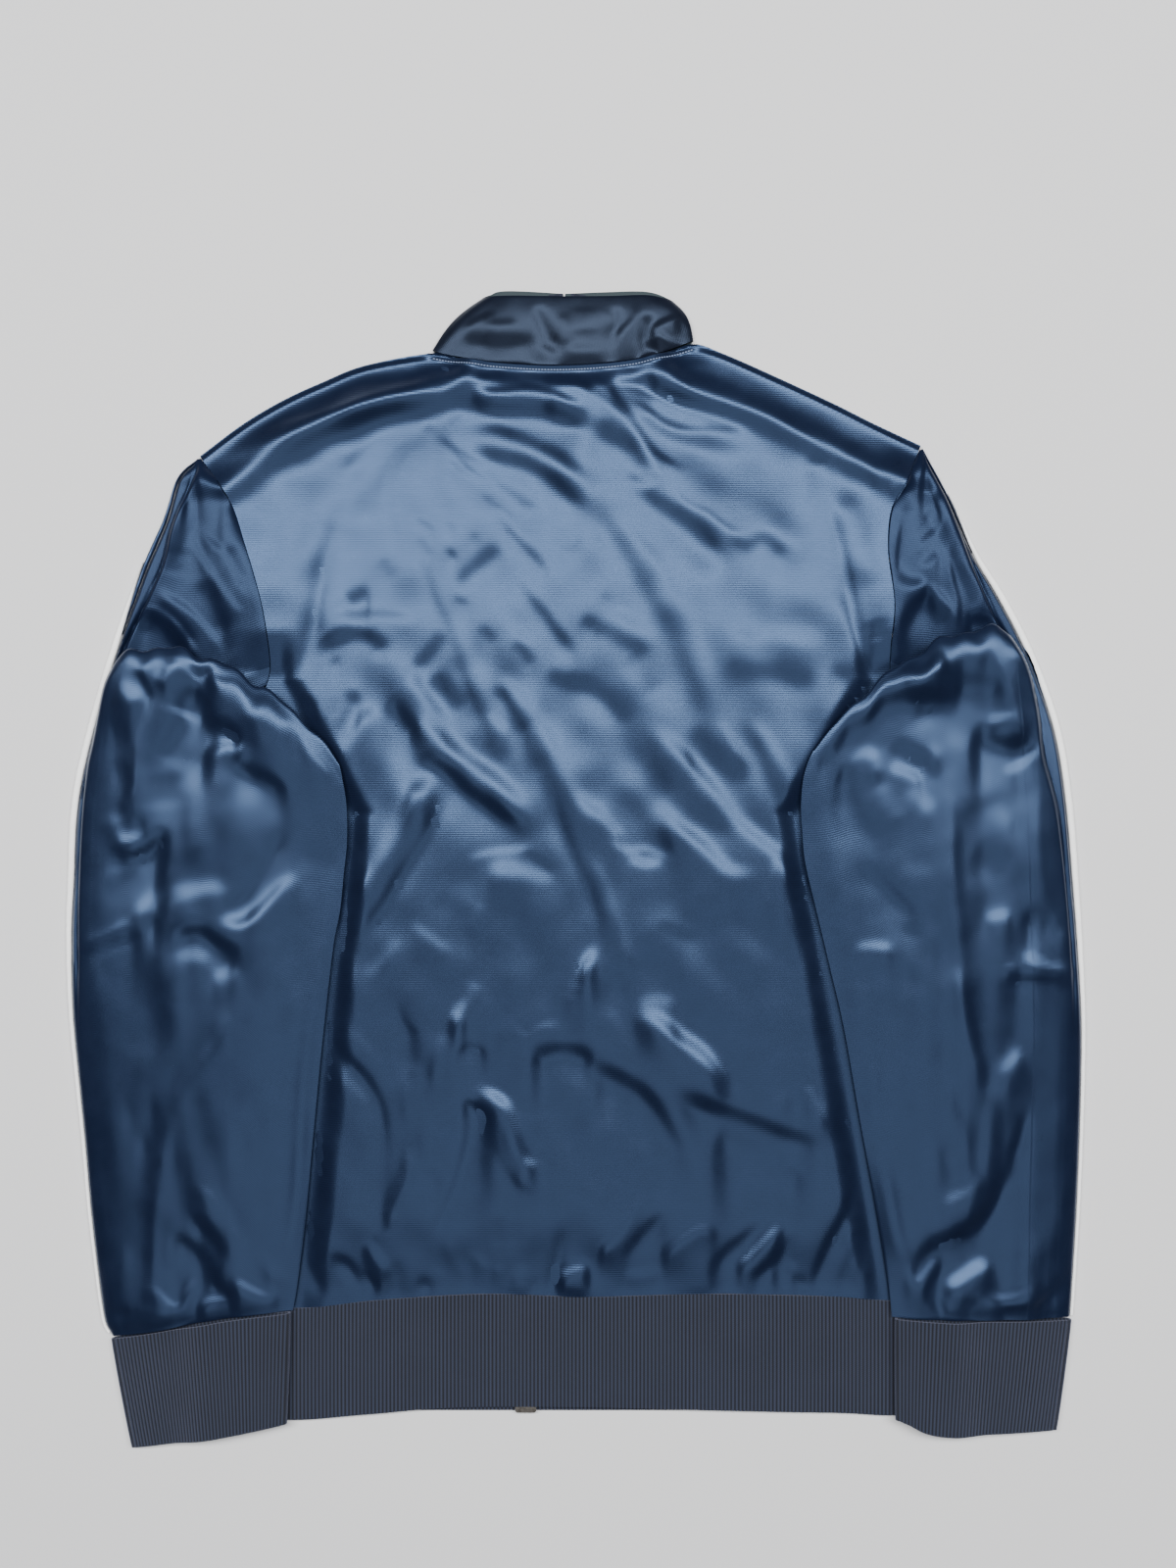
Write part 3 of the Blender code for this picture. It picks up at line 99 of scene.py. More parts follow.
# Folds that are drawn as strokes
RELIEF_STEP = 1.0         # spacing of the raster that folds are added up on
FOLD_SLOPE = 0.26         # slope of a stroke of strength 1
FOLD_LIMIT = 3.0          # strength that overlapping strokes approach
FOLD_CONTRAST = 1.2       # power that sets strong strokes apart from weak ones
FOLD_REACH = 45.0         # length down the cloth over which a fold's height dies away
FOLD_SPREAD = 0.22        # sideways spread of a fold's height at every step down
FOLD_BLUR = 1.15          # how far the finished raster is smoothed
BLUR_POINTS = 6           # points on each side that the smoothing reads
FOLD_TOP = 9.0            # heights that folds approach above and below the cloth's level
FOLD_FOOT = 6.0
START_REACH = 44.0        # length over which the height at the upper edge dies away
START_POWER = 1.15        # and the power with which it does
STROKE_REACH = 3.2        # half widths from its path out to which a stroke is drawn
STROKE_END = (-0.05, 0.22)      # shares of its length over which a stroke fades in at each end
SLOPE_ACROSS = (0.1, 0.6)       # how far across it runs as it turns from a ridge into a slope
RIDGE_SLOPE = 0.25        # share of a stroke's slope that is left where it runs down the cloth
RIDGE_WIDTH = 1.5         # half width of the ridge there, over the stroke's
RIDGE_HEIGHT = 0.14       # height of the ridge, as a share of strength times half width
TROUGH_DEPTH = 0.09       # and depth of the trough where the strength is below 0

# Creases of the panels on the floor, and gentle waves
CREASE_REACH = 2.8        # half widths from its path out to which a crease is drawn
CREASE_END = 0.3          # share of its length over which a crease fades in at each end
CREASE_END_WIDTH = 0.55   # its width at its ends, as a share of that in its middle
CREASE_ROUND = 0.12       # how much its top is rounded, as a share of its half width
CREASE_POWER = 1.5
RIPPLE_WAVES = 14
RIPPLE_SIZES = (0.7, 1.5)       # range of the waves' lengths, over the one asked for
STREAK_SHARE = 0.25       # how often streaks rise and fall along their length

# Outlines, as (x, y), seen from above
SHOULDER_LEFT = [(-249, 273), (-221, 294), (-194, 310), (-168, 322), (-140, 333), (-96, 341)]
NECK = [(-96, 341), (-77, 337), (-53, 334), (-10, 332), (32, 335), (57, 340), (78, 347)]
SHOULDER_RIGHT = [(78, 347), (97, 341), (129, 327), (170, 308), (196, 295), (228, 280)]
BACK_SIDE = {
    "left": [(-249, 273), (-229, 245), (-218, 214), (-207, 176), (-202, 144), (-204, 123),
             (-218, 97), (-238, 77), (-259, 61), (-259, -9), (-254, -106), (-244, -204),
             (-229, -285)],
    "right": [(228, 280), (216, 254), (207, 236), (205, 209), (209, 176), (207, 145),
              (209, 118), (224, 92), (243, 76), (263, 63), (264, -9), (257, -106),
              (247, -204), (230, -283)],
}
SIDE_SEAM = {             # the same from the armpit down
    "left": np.array(BACK_SIDE["left"][8:], float),
    "right": np.array(BACK_SIDE["right"][9:], float),
}
HEM_TOP = [(-229, -285), (-185, -290), (-129, -284), (-58, -280), (8, -282), (88, -280),
           (170, -282), (205, -285), (230, -283)]
HEM_FOOT = [(-229, -360), (-187, -364), (-140, -360), (-78, -355), (8, -355), (88, -357),
            (170, -359), (207, -361), (230, -358)]
FRONT_HEM_TOP_Y = -287.0
FRONT_HEM_FOOT_Y = -358.5

FRONT_TOP = {
    "left": [(-247, 271), (-221, 291), (-194, 307), (-168, 319), (-140, 330), (-99, 336),
             (-84, 331), (-66, 323), (-40, 316), (-13, 314.5)],
    "right": [(226, 278), (196, 292), (170, 305), (129, 324), (97, 337), (80, 341.5),
              (68, 336), (52, 326), (25, 317), (-3.5, 314.5)],
}
FRONT_SIDE = {
    "left": [(-247, 271), (-234, 245), (-226, 214), (-221, 180), (-222, 150), (-228, 120),
             (-242, 90), (-257, 64), (-257, -9), (-252, -106), (-242, -204), (-227, -286)],
    "right": [(226, 278), (214, 250), (208, 215), (206, 180), (210, 150), (220, 120),
              (240, 88), (261, 66), (262, -9), (255, -106), (245, -204), (228, -286)],
}
SLEEVE_OUTLINE = {
    "left": [(-250, 272), (-264, 259), (-274, 230), (-291, 193), (-309, 144), (-328, 77),
             (-335, 37), (-337, -9), (-338, -44), (-336, -98), (-328, -178), (-323, -232),
             (-315, -294), (-309.5, -309)],
    "right": [(229, 279), (235, 268), (250, 241), (266, 209), (285, 179), (304, 141),
              (320, 96), (328, 50), (333, -9), (337, -84), (337, -138), (334, -219),
              (329, -297)],
}
PIPING_HALF_WIDTH = [     # as (y, half its width)
    (262, 0.9), (225, 1.5), (180, 2.4), (0, 2.3), (-100, 1.6), (-310, 1.2)]
PIPING_HALF_HEIGHT = 1.5
PIPING_SHOWS = {"left": (222, 140), "right": (268, 196)}    # y where it starts to show, and is full
# The groove inside the raised strip of seam allowance along the piping
SEAM_GROOVE = {
    "left": [(-251, 264), (-257, 249), (-262, 238), (-268, 222), (-273, 202), (-280, 186),
             (-288, 170), (-298, 150), (-306, 131), (-312, 117), (-320, 83), (-324, 67),
             (-328, 30), (-330, -20), (-330, -80)],
    "right": [(231, 276), (236, 266), (243, 253), (253, 226), (261, 204), (268, 187), (276, 169),
              (281, 160), (296, 133), (302, 113), (305, 97), (308, 74), (317, 43), (322, 10),
              (326, -30), (329, -80)],
}

# How the back rises and falls
SHOULDER_LIP = 0.14       # share of its height that the back reaches right at the shoulder seam
SHOULDER_LIP_END = 4.5    # distance from the seam at which the lip is at its full height
SHOULDER_SLOPE = (5.0, 29.0)    # distances between which the back rises the rest of the way
SHOULDER_RIDGE = 3.0      # height of the low ridge at the end of that slope
SHOULDER_RIDGE_HALF = 9.0
SIDE_SEAM_SLOPE = (-2.0, 9.0)   # distances from the side seam between which the back rises
NECK_SLOPE = 42.0         # distance from the collar seam at which the back is at its full height
NECK_FOLDS = (4.5, 16.0)  # distances from it between which folds come in
NECK_FOLDS_LEAST = 0.15   # share of the folds' height that is left at the collar seam
HEM_SLOPE = (-225, -285)  # y between which the back comes down to the hem
HEM_FOLDS = (-286, -274)  # y between which folds come in
HEM_FOLDS_LEAST = 0.3     # share of the folds' height that is left at the hem
OVER_ZIP = (8.0, 20.0)    # distances from the zip between which it no longer lifts the back
OVER_ZIP_GAP = 0.4        # least gap between the zip and the back
OVER_ZIP_BLEND = 1.6      # how softly the zip lifts the back

# The stitched band along the collar seam
NECK_BAND_WIDTH = 4.1
NECK_BAND_RISE = 1.3      # its height at the seam
NECK_BAND_LIP = 0.8       # width over which it rises
NECK_BAND_FALL = 1.2      # how far it slopes down to its edge
NECK_BAND_FALL_FROM = 1.1
NECK_BAND_END = 0.6       # width over which it ends
NECK_ROWS = 14            # rows of points in the back's first share, for the band
NECK_ROWS_SHARE = 0.0085

# The raised strip of seam allowance along the piping, and the groove inside it
SEAM_STRIP_RISE = 3.2
SEAM_STRIP_ROUND = 2.5    # width over which it rises from the piping
SEAM_STRIP_EDGE = (-0.6, 1.0)   # distances past the groove's line between which it comes in
SEAM_STRIP_Y = (-120.0, -20.0)  # y between which it fades out down the sleeve
SEAM_GROOVE_DEPTH = 2.4
SEAM_GROOVE_HALF = 1.3
SEAM_GROOVE_INSET = 0.9

# Where the sleeves lie over the back: x of their inner edges at heights y
COVER_Y = [-290, 37, 125]
COVER_LEFT = [-184, -150, -196]
COVER_RIGHT = [205, 147, 198]
COVER_FADE = (1.0, 18.0)        # distances from those edges between which the back shows
COVER_ENDS = (126.0, 160.0)     # y between which the sleeves no longer cover it

# The lower half of a sleeve: distances inside the body's side seam (below 0 outside it)
SLEEVE_LIFT = (-24.0, -9.0)     # between which it rises onto the body
SLEEVE_LIFT_ENDS = (74.0, 100.0)    # y between which it no longer does
UNDER_HOLLOWS = (-40.0, -24.0)  # between which the hollows in its underside end
UNDER_SEED = {"left": 21, "right": 22}

# Hem band, fronts and piping
HEM_RISES = {"left": (-196.0, -120.0), "right": (204.0, 130.0)}    # x between which it rises
HEM_FOLD_INSET = 2.0      # from the ends of its outline to where it turns over
HEM_MIDDLE_Y = -322.0
HEM_TURN_POINTS = 9       # points round each turn of the band
CUFF_TURN_POINTS = 11     # and of a cuff
FRONT_HOLLOW = 2.6        # greatest height of the hollows under the fronts
FRONT_THINNED = (0.65, 0.3)     # taken off the first rows, under the collar
PIPING_WOBBLE = [(0.12, 0.9), (0.08, 2.3)]    # size, and turn from one row to the next

# The half of each sleeve that faces up, as cross sections from the shoulder to the cuff. The
# sleeve folds over itself at the armpit, so its path goes down, back up and down again.
SLEEVE_UPPER = {
    "left": [
        # outer_y, third,            two_thirds,       inner
        (270.6, (-250.6, 270.7, 3.0), (-249.6, 270.8, 3.4), (-248.6, 271.0, None)),
        (252, (-255, 252.2, 8.4), (-245.5, 253, 10.4), (-235, 254, None)),
        (230, (-259, 230, 10.4), (-241, 232, 13.2), (-225.5, 234, None)),
        (205, (-263, 203, 9.4), (-239, 204, 12.0), (-216, 206, None)),
        (183, (-268, 178, 8.0), (-239, 177, 10.2), (-209, 180, None)),
        (162, (-272, 154, 6.4), (-237, 149, 7.6), (-203, 150, None)),
        (146, (-277, 132, 4.4), (-241, 118, 4.8), (-205.5, 122, None)),
        (135, (-281, 117, 3.6), (-246, 99, 4.2), (-218, 99, 5.0)),
        (130, (-282, 112, 6.2), (-242, 93, 7.4), (-207, 93, 7.2)),
        (124, (-281, 121, 9.8), (-232, 103, 11.4), (-190, 92, 9.0)),
        (118, (-279, 137, 12.0), (-220, 119, 13.8), (-171, 80, 10.2)),
        (112, (-278, 145, 15.0), (-214, 125, 17.0), (-157, 71, 11.2)),
        (105, (-278, 139, 17.6), (-214, 117, 19.4), (-153, 56, 10.0)),
        (92, (-280, 116, 16.6), (-218, 95, 18.4), (-151, 40, 8.6)),
        (66, (-283, 72, 14.0), (-226, 58, 16.2), (-151, 17, 7.6)),
        (37, (-286, 33, 12.6), (-229, 18, 15.0), (-153, -2, SLEEVE_INNER)),
        (-9, (-287, -12, 12.0), (-230, -20, 14.0), (-155.5, -27, SLEEVE_INNER)),
        (-44, (-287, -48, 12.0), (-231, -50, 14.0), (-160, -51, SLEEVE_INNER)),
        (-98, (-284, -100, 11.0), (-230, -103, 13.5), (-166.5, -107, SLEEVE_INNER)),
        (-178, (-279, -178, 10.5), (-229, -178, 12.5), (-173.5, -178, SLEEVE_INNER)),
        (-232, (-276, -232, 10.0), (-229, -232, 12.0), (-178.5, -232, SLEEVE_INNER)),
        (-290, (-272, -286, 10.0), (-229, -280, 11.0), (-183.5, -272, SLEEVE_INNER)),
        (-308, (-269, -302, 8.4), (-228, -294.5, 9.4), (-186.5, -290.2, SLEEVE_INNER)),
    ],
    "right": [
        # outer_y, third,           two_thirds,      inner
        (276.6, (229.4, 276.6, 3.0), (228.6, 276.8, 3.4), (227.6, 277.0, None)),
        (256, (232, 256, 8.4), (225, 256.6, 10.4), (217.5, 257.5, None)),
        (241, (237, 240, 10.4), (224, 240, 13.2), (211, 241, None)),
        (214, (246, 212, 9.4), (226, 212, 12.0), (205.8, 214, None)),
        (188, (256, 185, 8.0), (233, 184, 10.2), (209, 184, None)),
        (167, (266, 162, 6.4), (239, 159, 7.6), (209, 160, None)),
        (156, (272, 147, 4.4), (241, 128, 4.8), (209, 128, None)),
        (148, (276, 131, 3.6), (247, 109, 4.2), (222, 98, 5.0)),
        (142, (277, 126, 6.2), (244, 103, 7.4), (211, 95, 7.2)),
        (137, (277, 137, 9.8), (233, 114, 11.4), (192, 96, 9.0)),
        (130, (277, 150, 12.0), (226, 134, 13.8), (171, 87, 10.2)),
        (123, (278, 157, 15.0), (222, 141, 17.0), (157, 79, 11.2)),
        (116, (278, 151, 17.6), (221, 133, 19.4), (150, 63, 10.0)),
        (105, (280, 130, 16.6), (222, 110, 18.4), (148, 43, 8.6)),
        (79, (285, 85, 14.0), (226, 70, 16.2), (149, 24, 7.6)),
        (46, (288, 46, 12.5), (229, 34, 15.0), (151, 4, SLEEVE_INNER)),
        (-9, (290, -14, 12.0), (233, -24, 14.0), (159, -30, SLEEVE_INNER)),
        (-60, (292, -62, 12.0), (237, -64, 14.0), (167, -64, SLEEVE_INNER)),
        (-110, (293, -110, 11.0), (241, -109, 13.5), (176.5, -105, SLEEVE_INNER)),
        (-170, (292, -170, 10.5), (244, -169, 12.5), (187, -165, SLEEVE_INNER)),
        (-225, (291, -224, 10.0), (247, -222, 12.0), (197, -219, SLEEVE_INNER)),
        (-280, (290, -279, 10.0), (249, -276, 11.0), (205, -267, SLEEVE_INNER)),
        (-295.6, (289, -296, 8.4), (249, -296.2, 9.4), (208, -294.5, SLEEVE_INNER)),
    ],
}
ARMHOLE_SECTIONS = 6      # sections above this one end at the armhole
FOLD_BOTTOM = 8           # the lowest section of the hollow above the rolled fold
FOLD_SECTIONS = 13        # sections from this one on are the sleeve below its fold

# The parts of a sleeve that get folds and puckers, by section number: (fade in, fade out)
CAP_ZONE = ((0.3, 1.6), (FOLD_BOTTOM - 1.6, FOLD_BOTTOM - 0.4))
ROLL_ZONE = ((FOLD_BOTTOM, FOLD_BOTTOM + 2.0), (FOLD_SECTIONS - 1.0, FOLD_SECTIONS + 0.5))
LOWER_ZONE = (FOLD_SECTIONS - 1.5, FOLD_SECTIONS - 0.3)
ROLL_PUCKERS = [(1.9, 5.3, 0.6), (1.2, 2.9, 2.0)]    # size, length of one radian, shift
SLEEVE_RELIEF = 1.05      # how much of the folds' drawn height is used
CAP_RELIEF = 1.3
CAP_WAVES = 0.5           # share of the gentle waves that is left on the cap
SLEEVE_ROUND = 0.45       # power with which a sleeve rises from its piping
SLEEVE_SEED = {"left": 11, "right": 12}
SLEEVE_STREAKS = {"left": -80.0, "right": -100.0}    # direction of the sleeve's streaks

# The half of each sleeve on the floor: where each section meets the piping, and its inner end.
# It follows the front's armhole (inner_x None), then lies over the body's side down to the cuff.
SLEEVE_LOWER = {
    "left": [
        # outer_y, inner_x, inner_y
        (266, None, 267), (250, None, 250), (230, None, 230), (205, None, 205),
        (178, None, 178), (150, None, 150), (122, None, 121), (100, None, 94),
        (84, None, 74), (58, -214, 63), (38, -170, 50), (16, -157, 26), (-8, -157, -4),
        (-46, -163, -51), (-80, -167.5, -86), (-118, -171, -122), (-160, -175, -160),
        (-205, -179, -205), (-250, -183, -245), (-290, -187, -272), (-308.6, -189, None),
    ],
    "right": [
        # outer_y, inner_x, inner_y
        (272, None, 274), (254, None, 254), (232, None, 232), (208, None, 208),
        (180, None, 180), (150, None, 150), (122, None, 121), (100, None, 92),
        (84, None, 76), (58, 214, 64), (38, 168, 50), (16, 154, 26), (-8, 157, -8),
        (-46, 167, -50), (-80, 174, -82), (-118, 181, -118), (-160, 189, -158),
        (-200, 195.5, -196), (-242, 202, -236), (-280, 208, -270), (-296.4, 210.6, None),
    ],
}

# Folds, as slopes of the cloth along paths: strength (above 0 facing the collar, below 0 facing
# the hem), half width, and the path as (x, y)
BACK_FOLDS = [
    # Left shoulder
    (-2.5, 8.5, [(-246, 266), (-213, 273), (-187, 280), (-161, 290), (-135, 297), (-109, 306),
      (-90, 315), (-72, 327)]),
    (1, 2, [(-236, 290), (-213, 290), (-194, 295), (-168, 300), (-142, 309), (-122, 316),
      (-96, 323), (-73, 331)]),
    (0.7, 2, [(-161, 315), (-148, 318), (-129, 319), (-109, 323), (-90, 329), (-77, 331)]),
    (-0.8, 3.2, [(-138, 327), (-122, 329), (-103, 331)]),
    (0.6, 1.6, [(-101, 287), (-112, 280), (-119, 274), (-124, 264), (-129, 251), (-131, 241)]),
    (0.6, 1.6, [(-99, 284), (-109, 276), (-116, 267), (-120, 258), (-122, 245)]),
    (0.8, 3.2, [(-100, 290), (-95, 292)]),
    (0.8, 2, [(-93, 287), (-86, 280), (-80, 272), (-70, 263), (-58, 256)]),
    (0.6, 1.6, [(-88, 285), (-80, 277), (-70, 271), (-57, 266), (-44, 262)]),
    (-0.5, 1.3, [(-86, 277), (-77, 269), (-64, 263), (-51, 256)]),
    (-1, 6.5, [(-127, 282), (-136, 267), (-145, 256), (-153, 241), (-159, 227)]),
    (-1.8, 3.9, [(-159, 232), (-165, 212), (-170, 193), (-173, 173), (-177, 154), (-183, 134),
      (-188, 118)]),
    (0.6, 3.2, [(-125, 288), (-135, 280), (-147, 271), (-155, 263)]),
    (0.5, 8.5, [(-174, 267), (-171, 245), (-176, 212), (-183, 186)]),
    (-0.4, 2.6, [(-116, 276), (-121, 264), (-122, 245), (-120, 225), (-122, 212)]),
    (-0.4, 2, [(-106, 280), (-112, 267), (-117, 254)]),
    (-0.6, 2.6, [(-84, 271), (-75, 262), (-62, 257)]),
    # Below the neck
    (-1.3, 5.9, [(-72, 280), (-57, 273), (-38, 268), (-21, 260), (-5, 248), (8, 235)]),
    (1, 5.2, [(-70, 287), (-57, 290), (-44, 287), (-28, 280), (-15, 274), (-2, 264), (11, 256)]),
    (-2.2, 5.9, [(-86, 308), (-70, 306), (-51, 303), (-31, 302), (-12, 299), (8, 294)]),
    (1.6, 2.3, [(-67, 318), (-57, 314), (-44, 315), (-31, 316), (-18, 314), (-5, 308), (8, 305)]),
    (1.3, 3.2, [(-67, 325), (-57, 325), (-47, 329)]),
    (1.6, 3.2, [(-21, 326), (-8, 324), (1, 321), (11, 313)]),
    (-0.6, 2, [(-38, 326), (-28, 321), (-15, 316)]),
    (-0.8, 2, [(-64, 321), (-51, 321)]),
    (0.7, 2.6, [(-73, 300), (-82, 297), (-86, 298)]),
    (-1, 3.2, [(-52, 238), (-49, 228), (-43, 221), (-34, 212), (-26, 204), (-17, 191)]),
    (-0.9, 5.2, [(-80, 186), (-70, 196), (-57, 207), (-47, 212)]),
    (-0.9, 3.9, [(-84, 206), (-80, 209)]),
    (-0.7, 2.3, [(-107, 232), (-99, 227), (-92, 221)]),
    (-0.7, 2.3, [(-105, 219), (-99, 211), (-95, 204)]),
    (-0.5, 2, [(-86, 228), (-80, 222)]),
    (-0.5, 2.6, [(-69, 220), (-65, 217)]),
    (-0.6, 3.2, [(-54, 254), (-44, 249), (-34, 241), (-25, 237)]),
    (0.4, 2.6, [(-64, 248), (-51, 238), (-38, 230)]),
    (-0.4, 2, [(-12, 212), (-2, 210), (5, 219)]),
    # Left half of the upper back
    (-0.9, 2.9, [(-106, 212), (-99, 196), (-92, 176), (-84, 160), (-80, 147), (-77, 134),
      (-72, 121), (-64, 105), (-57, 92)]),
    (-1, 4.5, [(-107, 132), (-96, 142), (-86, 156)]),
    (-1, 7.2, [(-96, 128), (-86, 118), (-74, 104)]),
    (-0.9, 5.2, [(-79, 141), (-73, 121), (-65, 102), (-57, 90)]),
    (-1.1, 4.2, [(-38, 194), (-31, 180), (-21, 168), (-13, 157), (-5, 147), (0, 139)]),
    (-0.5, 5.2, [(-129, 204), (-124, 198), (-119, 191)]),
    (-1, 5.9, [(-151, 175), (-143, 180), (-135, 181)]),
    (0.6, 4.5, [(-168, 162), (-148, 167), (-122, 167), (-103, 163)]),
    (-1.1, 4.9, [(-173, 144), (-161, 150), (-147, 154), (-135, 152), (-127, 145), (-127, 136)]),
    (-0.6, 2.6, [(-162, 136), (-155, 138)]),
    (-0.9, 5.2, [(-151, 111), (-143, 115)]),
    (-0.7, 3.9, [(-179, 113), (-171, 106)]),
    (-1.1, 5.9, [(-125, 109), (-119, 106), (-112, 98), (-106, 90)]),
    (-1.2, 3.9, [(-54, 121), (-46, 111), (-39, 98), (-33, 87)]),
    (-0.6, 3.9, [(-64, 160), (-57, 154), (-53, 147)]),
    (-0.8, 3.9, [(-41, 150), (-34, 142), (-28, 134)]),
    (-0.8, 5.9, [(-21, 128), (-8, 124), (8, 121), (16, 119)]),
    (-0.7, 4.5, [(4, 165), (12, 160)]),
    (-0.6, 2.6, [(-81, 178), (-70, 175)]),
    (0.5, 3.9, [(-96, 199), (-90, 180), (-82, 163), (-72, 144), (-64, 128), (-57, 111)]),
    (0.4, 3.9, [(-42, 199), (-31, 186), (-21, 173), (-8, 157), (5, 141)]),
    (0.5, 4.5, [(-51, 128), (-38, 115), (-25, 98)]),
    (0.4, 3.2, [(-57, 180), (-44, 160), (-28, 147)]),
    (0.8, 5.2, [(-110, 128), (-96, 111), (-83, 97)]),
    (0.5, 3.2, [(-161, 94), (-151, 110), (-144, 124)]),
    # Right shoulder
    (-1.5, 4.5, [(22, 324), (37, 323), (53, 327)]),
    (-2.6, 8.5, [(62, 332), (99, 326), (131, 313), (157, 301), (183, 288), (213, 273)]),
    (0.9, 2, [(14, 332), (34, 334), (50, 339), (63, 344), (86, 342), (105, 335), (118, 329),
      (131, 322), (157, 316), (183, 303), (203, 291), (219, 280)]),
    (1.2, 2.3, [(60, 326), (66, 323), (76, 316), (89, 311), (105, 306), (122, 301), (138, 295),
      (151, 287), (161, 279), (167, 271), (172, 261), (176, 253)]),
    (-1.8, 4.2, [(37, 319), (53, 315), (73, 309), (99, 303), (125, 296), (146, 284)]),
    (1, 2, [(24, 318), (37, 316), (53, 310), (66, 303), (86, 297), (105, 293), (118, 292)]),
    (1.2, 2, [(34, 310), (47, 302), (60, 293), (73, 290), (92, 290), (109, 290), (120, 292)]),
    (-0.8, 2, [(47, 308), (66, 299), (86, 293)]),
    (-1.1, 5.9, [(44, 300), (53, 292), (66, 284), (86, 280), (105, 278), (125, 276), (138, 270),
      (146, 263)]),
    (-1.4, 5.2, [(156, 272), (161, 264)]),
    (1.2, 2.6, [(11, 326), (21, 316), (34, 300), (44, 284), (52, 274), (63, 267), (73, 264)]),
    (0.9, 2.6, [(8, 319), (18, 310), (29, 300), (40, 284), (50, 269), (60, 258)]),
    (-1.2, 7.2, [(8, 290), (21, 286), (34, 279), (44, 266), (48, 258)]),
    (0.6, 2.3, [(34, 261), (44, 253), (55, 254)]),
    (-1.1, 6.5, [(34, 251), (47, 245), (63, 235), (79, 225), (89, 215), (98, 206)]),
    (-0.8, 5.2, [(99, 219), (112, 213), (123, 218), (133, 210), (139, 202)]),
    (0.7, 2, [(63, 251), (73, 241), (86, 235), (99, 225), (112, 219)]),
    (0.6, 10.4, [(73, 256), (99, 251), (125, 238), (138, 225), (152, 204)]),
    (0.8, 7.8, [(172, 251), (183, 237), (190, 212), (196, 186)]),
    (-1.9, 2.6, [(165, 251), (170, 232), (175, 212), (179, 193), (183, 173), (187, 154),
      (192, 137), (198, 121)]),
    (-1.6, 5.2, [(196, 163), (200, 150)]),
    (-0.8, 2.6, [(177, 267), (190, 260), (200, 250)]),
    (0.8, 2.6, [(174, 274), (187, 271), (196, 264), (202, 253)]),
    (0.7, 3.2, [(205, 251), (213, 252)]),
    # Right half of the upper back
    (-1.2, 6.5, [(8, 245), (18, 228), (31, 209), (40, 193), (50, 176), (60, 160), (66, 144),
      (73, 128), (78, 111), (83, 92)]),
    (0.7, 5.2, [(24, 238), (40, 219), (55, 199), (66, 180), (75, 160), (81, 141), (87, 121),
      (96, 102)]),
    (-0.7, 7.8, [(96, 132), (115, 130), (138, 128), (161, 120)]),
    (-0.5, 5.2, [(167, 131), (185, 128)]),
    (-0.4, 3.2, [(16, 178), (23, 180)]),
    (-0.7, 5.9, [(8, 162), (21, 156), (37, 147), (49, 142)]),
    (-0.7, 6.5, [(35, 142), (44, 128), (53, 113)]),
    (0.4, 5.2, [(21, 173), (40, 160), (55, 150)]),
    (-0.8, 6.5, [(8, 120), (21, 111), (35, 94)]),
    (0.4, 6.5, [(99, 154), (131, 154), (167, 150)]),
    (0.5, 3.9, [(169, 186), (178, 160), (187, 139)]),
    (-0.8, 9.1, [(25, 97), (37, 79), (50, 63), (63, 48)]),
    (-0.5, 6.5, [(22, 55), (35, 45), (47, 30), (60, 17), (74, 6)]),
    (1, 5.2, [(47, 97), (60, 85), (73, 72), (86, 59), (96, 46), (105, 33), (115, 24), (128, 14),
      (141, 4), (152, -1)]),
    (0.8, 7.2, [(128, 4), (142, 0)]),
    (1, 5.2, [(53, 46), (66, 30), (79, 20), (92, 7), (102, -1), (120, -3)]),
    (-0.9, 7.2, [(73, 94), (86, 81), (102, 68), (117, 61)]),
    (-0.6, 5.9, [(66, 63), (76, 46), (87, 35), (102, 23)]),
    (0.7, 2.6, [(94, 98), (102, 85), (110, 72)]),
    (-1.1, 5.2, [(109, 97), (118, 79), (125, 63), (135, 46), (144, 30), (153, 13)]),
    (1, 4.5, [(115, 100), (125, 85), (135, 69), (143, 53), (150, 37)]),
    # Middle of the back
    (0.9, 5.2, [(-158, 71), (-150, 84), (-142, 97), (-131, 108)]),
    (-0.4, 9.8, [(-121, 94), (-129, 76), (-138, 56), (-142, 35)]),
    (1.2, 5.9, [(-106, 105), (-96, 94), (-83, 82), (-70, 72), (-57, 63), (-44, 51), (-32, 38)]),
    (-1.8, 5.2, [(-106, 72), (-93, 70), (-83, 63), (-70, 51), (-57, 42), (-44, 33), (-31, 27)]),
    (1.2, 5.9, [(-90, 63), (-103, 54), (-109, 43), (-116, 30), (-122, 17), (-131, 4), (-139, -4)]),
    (0.8, 7.2, [(-144, -4), (-136, -7)]),
    (0.8, 2, [(-150, 16), (-143, 7)]),
    (-1.6, 4.5, [(-85, 56), (-91, 40), (-99, 24), (-109, 7), (-119, -9), (-129, -25),
      (-138, -38), (-145, -51)]),
    (0.6, 3.2, [(-58, 103), (-51, 95), (-44, 89)]),
    (1, 5.2, [(-31, 105), (-21, 89), (-13, 72), (-5, 56), (5, 43), (16, 32)]),
    (-0.5, 7.2, [(-67, 95), (-55, 82), (-43, 71)]),
    (-0.6, 5.2, [(-43, 98), (-33, 81), (-23, 61)]),
    (-1.4, 3.9, [(-21, 63), (-15, 43), (-8, 24), (1, 4), (8, -12), (13, -28), (16, -41)]),
    (0.8, 2, [(-72, 6), (-57, 11), (-38, 13), (-28, 16)]),
    (0.7, 5.9, [(-60, 0), (-44, 0), (-25, -4), (-12, -8)]),
    (-0.6, 1.6, [(-34, 12), (-21, 4), (-15, -4)]),
